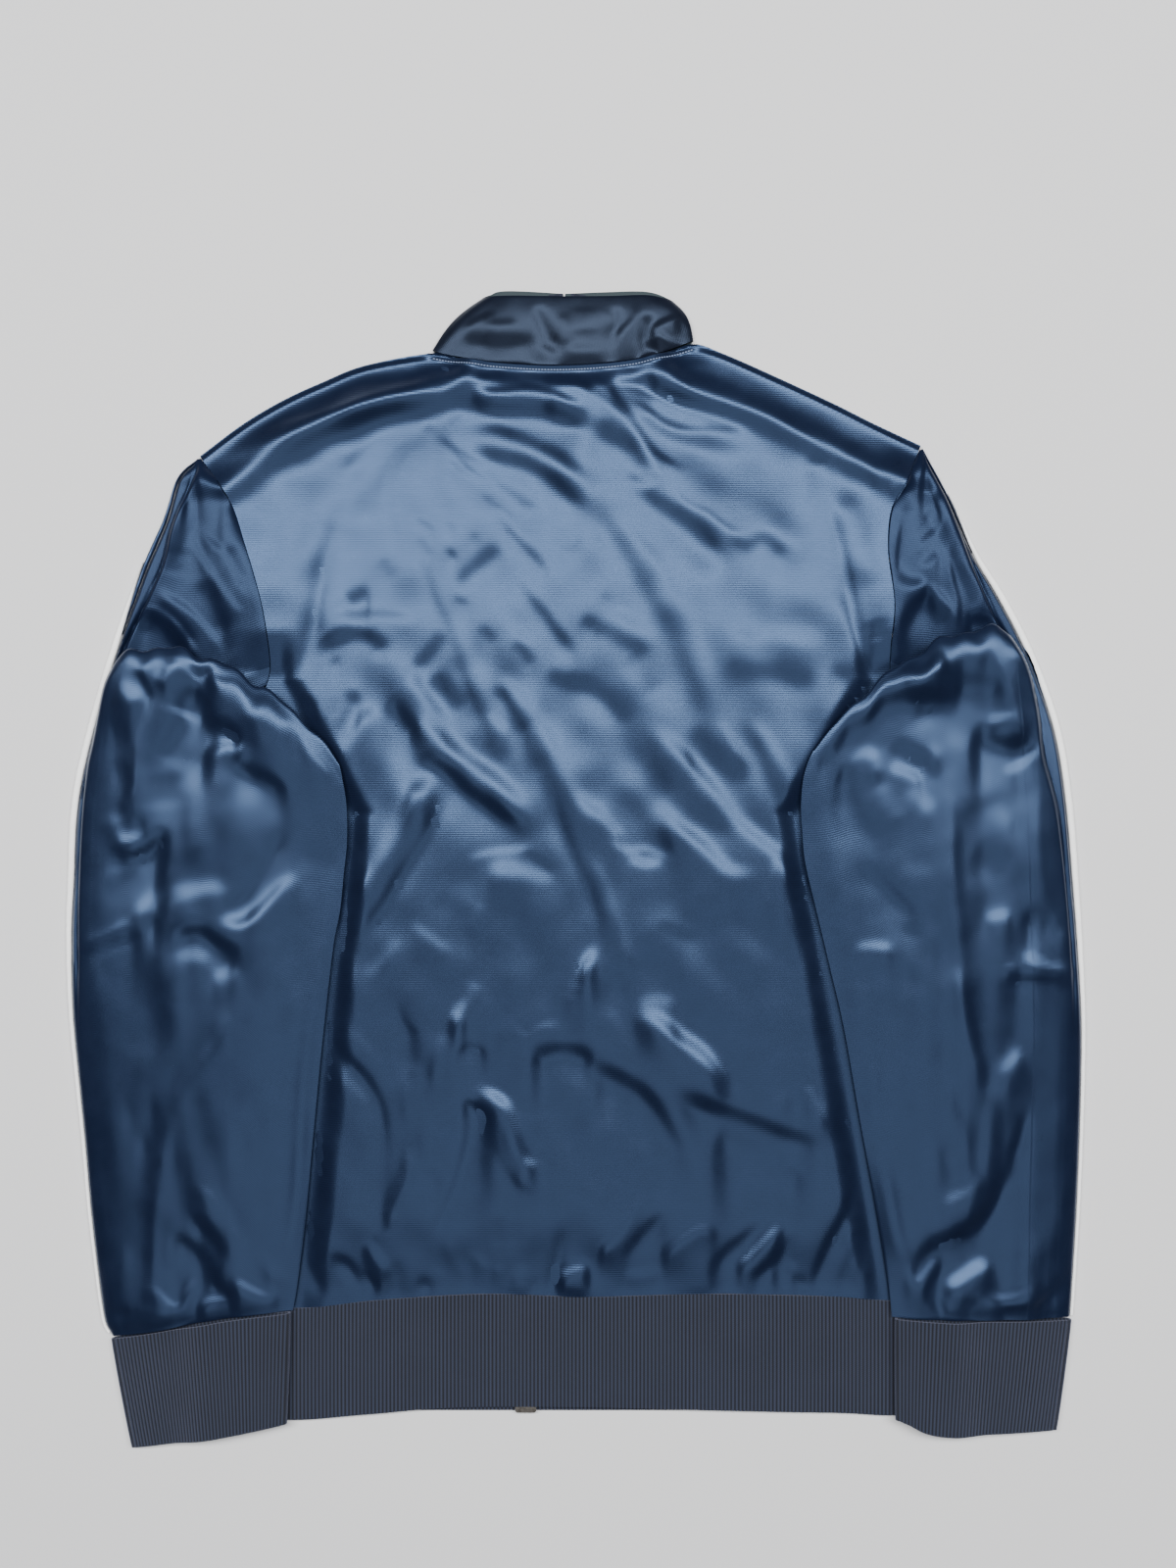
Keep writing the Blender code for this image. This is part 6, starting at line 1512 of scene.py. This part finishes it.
def tube(path, radii, sides):
    """Rings of points round a path: radii is (across, up) for each point."""
    ahead = unit(np.gradient(path, axis=0))
    across = unit(np.cross(ahead, [0.0, 0.0, 1.0]))
    rise = np.cross(across, ahead)
    angles = np.arange(sides) * 2 * math.pi / sides
    return (path[:, None] + across[:, None] * (np.cos(angles)[None, :, None] * radii[:, :1, None])
            + rise[:, None] * (np.sin(angles)[None, :, None] * radii[:, 1:2, None]))


def tube_faces(rows, sides, first=0):
    """Faces of a closed tube with capped ends."""
    faces = grid_faces(rows, sides, True, first)
    faces.append(tuple(first + k for k in range(sides)))
    faces.append(tuple(first + (rows - 1) * sides + k for k in range(sides)))
    return faces


def stitches(name, lines, wide=STITCH_WIDE, high=STITCH_HIGH, length=STITCH_LENGTH,
             pitch=STITCH_PITCH):
    """Rows of sewing stitches: a small rounded thread at every pitch along each line."""
    shares, heights, thicknesses = np.array(STITCH_STATIONS).T
    sides = 6
    points, faces = [], []
    for line in lines:
        length_at = lengths_along(line)
        for number in range(int(length_at[-1] / pitch)):
            at = number * pitch + 0.5 * (pitch - length) + length * shares
            middle = np.stack([np.interp(at, length_at, line[:, k]) for k in range(3)], 1)
            middle[:, 2] += high * heights
            thick = thicknesses[:, None] * np.array([wide, high])
            faces += tube_faces(len(shares), sides, len(points))
            points += tube(middle, thick, sides).reshape(-1, 3).tolist()
    return add_piece(name, points, faces, THREAD)


# Pieces -----------------------------------------------------------------------------------------

def neck_band(from_seam):
    """Rise of the stitched band along the collar seam: a lip, then a slope down to its edge."""
    lip = NECK_BAND_RISE * smoothstep(0.0, NECK_BAND_LIP, from_seam)
    down = (from_seam - NECK_BAND_FALL_FROM) / (NECK_BAND_WIDTH - NECK_BAND_FALL_FROM)
    fall = NECK_BAND_FALL * np.clip(down, 0.0, 1.0)
    ended = smoothstep(NECK_BAND_WIDTH, NECK_BAND_WIDTH + NECK_BAND_END, from_seam)
    return (lip - fall) * (1.0 - ended)


def build_back(rows=330, cols=250):
    """The back panel, from the collar seam to the hem band."""
    across = np.linspace(0, 1, cols)
    down = np.concatenate([np.linspace(0, NECK_ROWS_SHARE, NECK_ROWS)[:-1],
                           np.linspace(NECK_ROWS_SHARE, 1, rows - NECK_ROWS + 1)])
    top = smooth_edge(SHOULDER_LEFT + NECK[1:] + SHOULDER_RIGHT[1:], across)
    plan = coons(top, smooth_edge(HEM_TOP, across), smooth_edge(BACK_SIDE["left"], down),
                 smooth_edge(BACK_SIDE["right"], down))
    x, y = plan[:, :, 0], plan[:, :, 1]
    low = np.dstack([plan, back_under(x, y)])
    high = low + np.dstack([0 * x, 0 * x, SATIN_WALL + neck_band(neck_distance(x, y))])
    made = shell("back_panel", high, low, NAVY, plan, step=6)
    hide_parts("back")
    return made


def neck_stitches():
    """The row of stitches under the collar seam."""
    line = smooth_edge(NECK, np.linspace(0.01, 0.99, 300))
    tangent = unit(np.gradient(line, axis=0))
    line = line + np.stack([tangent[:, 1], -tangent[:, 0]], 1) * NECK_STITCH_INSET
    height = back_under(line[:, 0], line[:, 1]) + SATIN_WALL + neck_band(NECK_STITCH_INSET)
    return stitches("neck_stitches", [np.column_stack([line, height])])


def piping_half_width(y):
    """Half the piping's width at a height down the sleeve."""
    return read_off(np.array(PIPING_HALF_WIDTH, float), y, by=0)


def sleeve_outer_edge(side):
    """The outline of a sleeve and the direction into the sleeve, at many points down it."""
    line = catmull_rom(SLEEVE_OUTLINE[side], 12)
    tangent = unit(np.gradient(line, axis=0))
    return line, np.stack([tangent[:, 1], -tangent[:, 0]], 1) * OUTWARD[side]


def panel_edge(side, y):
    """Where a sleeve's panels start, just inside the piping, at given heights down the sleeve."""
    line, inward = sleeve_outer_edge(side)
    reach = 2.0 * piping_half_width(line[:, 1]) + PIPING_GAP
    edge = line + inward * reach[:, None]
    return np.stack([read_off(edge, y), np.asarray(y, float)], -1)


def edge_x(points, y):
    """x of the smooth edge through an outline that runs down, at heights y."""
    return read_off(smooth_edge(points, np.linspace(0, 1, 200)), y)


def across_sections(sections, shares):
    """Points across the sections: a cubic in plan, and rounded up from both edges in height."""
    t = shares[None, :, None]
    weights = [(t - 1 / 3) * (t - 2 / 3) * (t - 1) * -4.5, t * (t - 2 / 3) * (t - 1) * 13.5,
               t * (t - 1 / 3) * (t - 1) * -13.5, t * (t - 1 / 3) * (t - 2 / 3) * 4.5]
    plan = sum(w * sections[:, None, k, :2] for k, w in enumerate(weights))
    edge, third, two_thirds, inner = [sections[:, k, 2][:, None] for k in range(4)]
    s = shares[None, :]
    quarter_out, quarter_in = [np.sin(0.5 * math.pi * np.clip(third_share, 0, 1))
                               for third_share in (3 * s, 3 - 3 * s)]
    rise_out = edge + (third - edge) * quarter_out ** SLEEVE_ROUND
    middle = third + (two_thirds - third) * smoothstep(1 / 3, 2 / 3, s)
    fall_in = inner + (two_thirds - inner) * quarter_in
    height = np.where(s < 1 / 3, rise_out, np.where(s < 2 / 3, middle, fall_in))
    return np.dstack([plan, height])


def sleeve_sections(side, between):
    """Rows of four points across a sleeve's upper half, from the piping to its inner edge. Down
    to the armhole's end, the inner one follows the back panel."""
    sections = []
    for outer_y, third, two_thirds, (inner_x, inner_y, inner_z) in SLEEVE_UPPER[side]:
        sections.append([*panel_edge(side, outer_y), SLEEVE_EDGE, *third, *two_thirds,
                         inner_x, inner_y, inner_z or 0.0])
    rows = catmull_rom(sections, between).reshape(-1, 4, 3)
    outer, inner = rows[:, 0], rows[:, 3]
    armhole = inner[:ARMHOLE_SECTIONS * between + 1]
    armhole[:, 0] = edge_x(BACK_SIDE[side], armhole[:, 1]) + OUTWARD[side] * ARMHOLE_GAP
    armhole[:, 2] = back_under(armhole[:, 0], armhole[:, 1]) + 0.5 * SATIN_WALL
    outer[:, :2] = panel_edge(side, outer[:, 1])
    return rows


def with_seam_strip(grid, side, fade):
    """Heights of a sleeve's grid with the flat strip of seam allowance along the piping, and the
    groove inside it."""
    x, y, height = grid[:, :, 0], grid[:, :, 1], grid[:, :, 2]
    outside = (x - read_off(catmull_rom(SEAM_GROOVE[side], 8), y)) * OUTWARD[side]
    from_edge = (panel_edge(side, y)[..., 0] - x) * OUTWARD[side]
    strip = SLEEVE_EDGE + SEAM_STRIP_RISE * smoothstep(0.0, SEAM_STRIP_ROUND, from_edge)
    share = smoothstep(*SEAM_STRIP_EDGE, outside) * fade
    from_groove = (outside + SEAM_GROOVE_INSET) / SEAM_GROOVE_HALF
    groove = SEAM_GROOVE_DEPTH * np.exp(-from_groove ** 2) * fade
    return height + share * (strip - height) - groove


def zone(number, start, end=None):
    """1 on part of the sections, by their number: fades in over start and out over end."""
    part = smoothstep(*start, number)
    return part if end is None else part * (1.0 - smoothstep(*end, number))


def build_sleeve_upper(side, between=14, cols=124):
    """The half of a sleeve that faces up, with the fold over itself at the armpit."""
    even = np.linspace(0, 1, cols)
    shares = 0.6 * even + 0.4 * (0.5 - 0.5 * np.cos(math.pi * even))
    grid = across_sections(sleeve_sections(side, between), shares)
    number = np.arange(len(grid))[:, None] / between
    inside = hump(shares, 0.5)[None, :]
    x, y = grid[:, :, 0].copy(), grid[:, :, 1].copy()
    puckers = sum(size * np.sin(x / wave + shift) for size, wave, shift in ROLL_PUCKERS)
    grid[:, :, 1] += zone(number, *ROLL_ZONE) * inside * puckers

    waves = (0.6 * ripples(x, y, wave=70, seed=SLEEVE_SEED[side])
             + 0.15 * ripples(x, y, wave=26, seed=13)
             + 0.4 * streaks(x, y, angle=SLEEVE_STREAKS[side], wave=28, seed=14))
    sleeve_folds = relief(SLEEVE_FOLDS[side], SLEEVE_BOX[side], SLEEVE_START[side])(x, y)
    cap_folds = relief(CAP_FOLDS[side], SLEEVE_BOX[side], CAP_START[side])(x, y)
    on_sleeve = (SLEEVE_RELIEF * sleeve_folds + waves) * zone(number, LOWER_ZONE)
    on_cap = (CAP_RELIEF * cap_folds + CAP_WAVES * waves) * zone(number, *CAP_ZONE)
    grid[:, :, 2] += (on_sleeve + on_cap) * inside
    strip_fade = smoothstep(0.0, 1.0, number) * smoothstep(*SEAM_STRIP_Y, y)
    grid[:, :, 2] = with_seam_strip(grid, side, strip_fade)

    offset = grid_normals(grid) * (0.5 * SATIN_WALL)
    if offset[:, :, 2].sum() < 0:
        offset = -offset
    made = shell("sleeve_top_" + side, grid + offset, grid - offset, NAVY,
                 cloth_lengths(grid), step=4, upper=(CAP_NAVY, CAP_FOOT))
    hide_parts("sleeve_back_" + side)
    return made


def build_sleeve_lower(side, between=5, cols=72):
    """The half of a sleeve that lies on the floor and over the body's side."""
    rows = []
    for outer_y, inner_x, inner_y in SLEEVE_LOWER[side]:
        if inner_x is None:
            inner_x = edge_x(FRONT_SIDE[side], inner_y) + OUTWARD[side] * ARMHOLE_GAP
        if inner_y is None:
            inner_y = cuff_top_y(side, inner_x) + 2 * SEAM_GAP
        rows.append([*panel_edge(side, outer_y), inner_x, inner_y])
    rows = catmull_rom(rows, between)
    rows[:, :2] = panel_edge(side, rows[:, 1])
    shares = np.linspace(0, 1, cols)[None, :, None]
    plan = (1 - shares) * rows[:, None, :2] + shares * rows[:, None, 2:]
    plan[-1, :, 1] = cuff_top_y(side, plan[-1, :, 0]) + 2 * SEAM_GAP
    x, y = plan[:, :, 0], plan[:, :, 1]
    inside = hump(shares[:, :, 0], 0.7) * hump(np.linspace(0, 1, len(rows)), 0.5)[:, None]
    outside_body = 1.0 - smoothstep(*UNDER_HOLLOWS, inside_body(x, y, side))
    hollow = 1.1 * np.clip(ripples(x, y, wave=55, seed=UNDER_SEED[side]), 0, None)
    low = np.dstack([plan, sleeve_under(x, y, side) + hollow * inside * outside_body])
    high = low + np.array([0.0, 0.0, LOWER_WALL])
    made = shell("sleeve_under_" + side, low, high, NAVY, plan, step=4)
    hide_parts("sleeve_front_" + side)
    return made


def build_piping(side, rows=230, sides=12):
    """White piping along a sleeve's outer seam, and the navy seam edge that covers its top."""
    line, inward = sleeve_outer_edge(side)
    track = along(np.hstack([line, inward]), np.linspace(0.002, 0.997, rows))
    half = piping_half_width(track[:, 1])
    starts, full = PIPING_SHOWS[side]
    shown = 1.0 - smoothstep(full, starts, track[:, 1])
    wobble = sum(size * np.sin(np.arange(rows) * turn) for size, turn in PIPING_WOBBLE)
    height = SEAM_GAP + PIPING_HALF_HEIGHT + wobble

    def cord(name, part, start, finish):
        """A cord with the given half widths, a start in from the sleeve's outline. It ends where
        it gets too thin."""
        wide = np.maximum(part - 0.5 * SEAM_GAP, 0.25)
        middle = track[:, :2] + track[:, 2:] * (start + part)[:, None]
        kept = part > 0.2
        rings = tube(np.column_stack([middle, height])[kept],
                     np.column_stack([wide, np.full(rows, PIPING_HALF_HEIGHT)])[kept], sides)
        return add_piece(name, rings.reshape(-1, 3), tube_faces(len(rings), sides), finish,
                         np.zeros((len(rings) * sides, 2)))

    made = cord("piping_cord_" + side, half * shown, 0.0 * half, WHITE)
    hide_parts("piping_" + side)
    cord("seam_edge_" + side, half * (1.0 - shown), 2.0 * half * shown, NAVY)
    return made


def build_collar(between=14, rows=44):
    """The stand collar: one strip that lies flat, folded at both sides of the neck."""
    stations = catmull_rom(COLLAR, between)
    foot = stations[:, [0, 1, 4]]
    top = stations[:, [2, 3, 5]]
    near_left, near_right = [np.exp(-((foot[:, 0] - x) / reach) ** 2) for x, reach in COLLAR_FOLDS]
    swell = np.column_stack([
        0.5 * COLLAR_SWELL * (near_right - near_left),
        0.5 * COLLAR_SWELL * (near_right + near_left),
        COLLAR_RISE * smoothstep(*COLLAR_RISES, foot[:, 2]),
    ])
    up = np.linspace(0, 1, rows)[:, None, None]
    grid = (1 - up) * foot + up * top + np.sin(math.pi * up) * swell
    faces_up = smoothstep(*COLLAR_WRINKLED, foot[:, 2])[None, :]
    x, y = grid[:, :, 0].copy(), grid[:, :, 1].copy()
    wrinkles = (relief(COLLAR_WRINKLES, COLLAR_BOX, COLLAR_START)(x, y)
                + 0.2 * ripples(x, y, wave=24, seed=31))
    grid[:, :, 2] += wrinkles * faces_up * from_least(0.12, hump(up[:, :, 0], 0.5))
    offset = grid_normals(grid) * (0.5 * COLLAR_WALL)
    outer, inner = grid - offset, grid + offset
    for layer in (outer, inner):
        layer[:, :, 2] = np.maximum(layer[:, :, 2], FLOOR_GAP)
    uv = np.dstack(np.broadcast_arrays(lengths_along(foot), COLLAR_DEPTH * up[:, :, 0]))
    made = shell("collar_strip", outer, inner, COLLAR_NAVY, uv, step=2,
                 inside_shift=INSIDE_SHIFT, upper=(COLLAR_INSIDE, 0.5 * INSIDE_SHIFT))
    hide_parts("collar")
    return made


def cuff_top_y(side, x):
    """y of a cuff's upper edge."""
    return read_off(catmull_rom(CUFFS[side]["top"], 8), x, by=0)


def rib_profile(length_at):
    """Height of the ribs at lengths along the knit."""
    wave = 0.5 - 0.5 * np.cos(2 * math.pi * length_at / RIB_PITCH)
    return RIB_RISE * wave ** RIB_ROUND


def fold_over(place, low, high, outward, count):
    """Positions and heights round the half circle between two layers, without its two ends."""
    radius = 0.5 * (high - low)
    angles = np.linspace(-0.5 * math.pi, 0.5 * math.pi, count + 2)[1:-1]
    return place + outward * radius * np.cos(angles), low + radius + radius * np.sin(angles)


def band_height(x):
    """Underside of the hem band's back part."""
    middle = smoothstep(*HEM_RISES["left"], x) * smoothstep(*HEM_RISES["right"], x)
    return SIDE_LIE + (HEM_LIE - SIDE_LIE) * middle


def ribbed(name, edges, rows, replaced, closed=False):
    """A rib-knit wall between two edges (top and foot) of points that match."""
    top, foot = edges
    up = np.linspace(0, 1, rows)[:, None, None]
    grid = (1 - up) * top[None] + up * foot[None]
    lengths = lengths_along(top)
    pitches = round(lengths[-1] / RIB_PITCH)
    lengths = lengths * pitches * RIB_PITCH / lengths[-1]
    normal = grid_normals(grid, closed)
    if (normal * (grid - grid.mean((0, 1)))).sum(2).mean() < 0:
        normal = -normal
    share = up[:, :, 0]
    soft = 0.15 * np.sin(lengths / 17.0)[None, :] * np.sin(math.pi * share)
    rise = rib_profile(lengths)[None, :] * from_least(0.35, hump(share, 0.4)) + soft
    outer = grid + normal * (0.5 * RIB_WALL + rise[:, :, None])
    inner = grid - normal * (0.5 * RIB_WALL)
    outer[:, :, 2] = np.maximum(outer[:, :, 2], FLOOR_GAP)
    inner[:, :, 2] = np.maximum(inner[:, :, 2], LINING_GAP)
    depth = np.linalg.norm(foot - top, axis=1).mean()
    # The knit's painted light lines, with painted shade between them, are a quarter of a pitch in,
    # and its ribs highest half a pitch in.
    uv = np.dstack(np.broadcast_arrays(lengths - 0.25 * RIB_PITCH, share * depth))
    made = shell(name, outer, inner, RIB, uv, step=RIB_POINTS // 2, closed=closed,
                 sharp=70.0)
    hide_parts(replaced)
    return made


def build_hem_band(rows=10):
    """The ribbed hem band, one strip from the zip round the back to the zip."""
    left_fold, right_fold = HEM_TOP[0][0] + HEM_FOLD_INSET, HEM_TOP[-1][0] - HEM_FOLD_INSET
    lower, upper = 0.5 * RIB_WALL, SIDE_LIE + 0.5 * RIB_WALL
    zip_edges = zip_x(HEM_MIDDLE_Y) + np.array([-ZIP_HALF_GAP, ZIP_HALF_GAP])

    def ribs_between(start, end):
        return np.linspace(start, end, int(abs(end - start) / RIB_PITCH * RIB_POINTS))

    front_left = ribs_between(zip_edges[0], left_fold)
    x_back = ribs_between(left_fold, right_fold)
    front_right = ribs_between(right_fold, zip_edges[1])
    turn_left = fold_over(left_fold, lower, upper, -1.0, HEM_TURN_POINTS)
    turn_right = fold_over(right_fold, lower, upper, 1.0, HEM_TURN_POINTS)
    x = np.concatenate([front_left, turn_left[0], x_back, turn_right[0][::-1], front_right])
    z = np.concatenate([0 * front_left + lower, turn_left[1], band_height(x_back) + lower,
                        turn_right[1][::-1], 0 * front_right + lower])
    turn = np.linspace(0, 1, HEM_TURN_POINTS + 2)[1:-1]
    is_back = np.concatenate([0 * front_left, turn, np.ones(len(x_back)), turn[::-1],
                              0 * front_right])
    edges = []
    for back_line, front_y, inset in ((HEM_TOP, FRONT_HEM_TOP_Y, SEAM_GAP),
                                      (HEM_FOOT, FRONT_HEM_FOOT_Y, 0.0)):
        back_y = read_off(catmull_rom(back_line, 8), x, by=0)
        y = is_back * back_y + (1 - is_back) * front_y
        edges.append(np.column_stack([x, y - inset, z]))
    return ribbed("hem_knit", edges, rows, "hem_band")


def build_cuff(side, rows=12):
    """A ribbed cuff: a flattened tube, on the floor outside and over the hem band inside."""
    spec = CUFFS[side]
    width = abs(spec["top"][0][0] - spec["top"][-1][0])
    count = int(width / RIB_PITCH) * RIB_POINTS
    share_up = np.linspace(CUFF_TURN_SHARE, 1 - CUFF_TURN_SHARE, count)
    share_down = share_up[::-1][1:-1]
    opening = 2 * (CUFF_FOLD_RADIUS + CUFF_PUFF * hump(share_up, 0.6))

    def lie(points):
        """Height of the middle of the lower layer."""
        lift = smoothstep(spec["rest_to"], spec["lifted_from"], points[:, 0])
        return 0.5 * RIB_WALL + (SLEEVE_LIE + CUFF_CLEAR) * lift

    rings = []
    for edge in (spec["top"], spec["foot"]):
        upper_points = smooth_edge(edge, share_up)
        floor_points = smooth_edge(edge, share_down)
        low = lie(upper_points)
        high = low + opening
        across = unit(upper_points[-1] - upper_points[0])
        turns = []
        for end, sign in ((-1, 1.0), (0, -1.0)):
            reach, height = fold_over(0.0, low[end], high[end], 1.0, CUFF_TURN_POINTS)
            turn = np.column_stack([upper_points[end] + sign * across * reach[:, None], height])
            turns.append(turn[::-1] if sign > 0 else turn)
        rings.append(np.vstack([np.column_stack([upper_points, high]), turns[0],
                                np.column_stack([floor_points, lie(floor_points)]), turns[1]]))
    return ribbed("cuff_knit_" + side, rings, rows, "cuff_" + side, closed=True)


def build_front(side, rows=170, cols=84):
    """A front panel on the floor, from the zip to the side seam. Its edge under the collar is
    thinned."""
    down = np.concatenate([[0.0, 0.002], np.linspace(0.004, 1, rows - 2)])
    across = np.linspace(0, 1, cols)
    top = smooth_edge(FRONT_TOP[side], across)
    flank = smooth_edge(FRONT_SIDE[side], down)
    zip_y = np.linspace(top[-1][1], FRONT_HEM_TOP_Y, rows)
    centre = np.stack([zip_x(zip_y) + OUTWARD[side] * ZIP_HALF_GAP, zip_y], 1)
    centre[0] = top[-1]
    plan = coons(top, np.linspace(flank[-1], centre[-1], cols), flank, centre)
    x, y = plan[:, :, 0], plan[:, :, 1]
    hollow = (creases(x, y, FRONT_CREASES[side])
              + 0.45 * np.clip(ripples(x, y, wave=60, seed=51), -0.5, None))
    fade = (smoothstep(12.0, 26.0, np.abs(x - zip_x(y))) * smoothstep(0.0, 0.06, down)[:, None]
            * smoothstep(0.0, 0.02, 1 - down)[:, None] * smoothstep(0.0, 0.1, across)[None, :])
    under = np.clip(hollow, 0.0, FRONT_HOLLOW) * fade * from_least(0.15, sleeve_cover(x, y))
    low = np.dstack([plan, under])
    high = low + np.array([0.0, 0.0, LOWER_WALL])
    for row, thinned in enumerate(FRONT_THINNED):
        high[row, :, 2] -= thinned
    made = shell("front_panel_" + side, low, high, NAVY, plan, step=4)
    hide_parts("front_" + side)
    return made


def zip_stitches():
    """Stitches beside the zip on the side of the fronts that lies on the floor."""
    y = np.linspace(310.0, -284.0, 120)
    lines = []
    for outward in OUTWARD.values():
        x = zip_x(y) + outward * (ZIP_HALF_GAP + ZIP_STITCH_INSET)
        lines.append(np.column_stack([x, y, np.full(len(y), 0.04)]))
    return stitches("zip_stitches", lines, wide=0.3, high=0.12, length=2.1, pitch=2.8)


def build_zip_teeth():
    """The closed zip's teeth, which mesh from both tapes."""
    points, faces = [], []
    places = np.arange(CHAIN_FOOT + CHAIN_END, CHAIN_TOP - CHAIN_END, 0.5 * TOOTH_PITCH)
    for number, y in enumerate(places):
        sign = 1.0 if number % 2 else -1.0
        faces += tube_faces(len(TOOTH_LAYERS), len(TOOTH_OUTLINE), len(points))
        for level, size in TOOTH_LAYERS:
            z = chain_height(y) + level * 0.5 * CHAIN_WALL
            for out, ahead in TOOTH_OUTLINE:
                x = zip_x(y) + sign * (TOOTH_WAIST + (out - TOOTH_WAIST) * size)
                points.append((x, y + ahead * size, z))
    made = add_piece("zip_teeth", points, faces, METAL, sharp=40.0)
    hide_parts("zip_chain")
    return made


def dress_cad_nodes():
    """Better materials for the solids that stay."""
    for name, finish in (("zip_tape_left", TAPE), ("zip_tape_right", TAPE), ("zip_box", BOX_METAL),
                         ("zip_slider", METAL), ("zip_pull", METAL)):
        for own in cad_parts[name].material_slots:
            own.material = finish


# Studio, in metres ------------------------------------------------------------------------------

FLOOR_HALF = 4.0
FLOOR_HEIGHT = -0.0004    # a little lower than the cloth
CAMERA_HEIGHT = 1.05
SENSOR = 36.0             # millimetres
PHOTO_HEIGHT = 1.04       # length of floor from the photo's top to its foot


def softbox(name, place, aim, size, power, colour):
    """A rectangular area lamp."""
    data = bpy.data.lights.new(name, "AREA")
    data.shape = "RECTANGLE"
    data.size, data.size_y = size
    data.energy = power
    data.color = colour
    lamp = bpy.data.objects.new(name, data)
    lamp.location = place
    lamp.rotation_euler = (Vector(aim) - Vector(place)).to_track_quat("-Z", "Y").to_euler()
    bpy.context.scene.collection.objects.link(lamp)


def build_studio():
    """A plain pale floor, soft light from beyond the collar, weak fill, and the camera above."""
    mesh = bpy.data.meshes.new("floor")
    corners = [(x * FLOOR_HALF, y * FLOOR_HALF, FLOOR_HEIGHT)
               for x, y in ((-1, -1), (1, -1), (1, 1), (-1, 1))]
    mesh.from_pydata(corners, [], [(0, 1, 2, 3)])
    floor = bpy.data.objects.new("floor", mesh)
    bpy.context.scene.collection.objects.link(floor)
    mesh.materials.append(Finish("Pale floor", (0.62, 0.616, 0.62), 0.85).material)

    softbox("key", (0.0, 0.84, 2.6), (0.0, 0.0, 0.0), (4.4, 0.7), 215.0, (0.99, 0.995, 1.0))
    softbox("fill", (0.1, -1.1, 2.6), (0.0, -0.1, 0.0), (2.4, 1.4), 24.0, (0.95, 0.98, 1.0))
    world = bpy.data.worlds.new("Studio")
    bpy.context.scene.world = world
    world.use_nodes = True
    world.node_tree.nodes["Background"].inputs["Color"].default_value = (0.9, 0.94, 1.0, 1.0)
    world.node_tree.nodes["Background"].inputs["Strength"].default_value = 0.03

    camera_data = bpy.data.cameras.new("camera")
    camera_data.sensor_width = SENSOR
    camera_data.lens = CAMERA_HEIGHT * SENSOR / PHOTO_HEIGHT
    camera_data.clip_end = 20.0
    camera = bpy.data.objects.new("camera", camera_data)
    camera.location = (0.0078, 0.0562, CAMERA_HEIGHT)
    bpy.context.scene.collection.objects.link(camera)
    bpy.context.scene.camera = camera


def main():
    build_studio()
    pieces = {"back": build_back(), "collar": build_collar(), "hem": build_hem_band()}
    for side in ("left", "right"):
        pieces["front_" + side] = build_front(side)
        pieces["under_" + side] = build_sleeve_lower(side)
        pieces["top_" + side] = build_sleeve_upper(side)
        pieces["cuff_" + side] = build_cuff(side)
        build_piping(side)
    neck_stitches()
    zip_stitches()
    build_zip_teeth()
    dress_cad_nodes()


main()
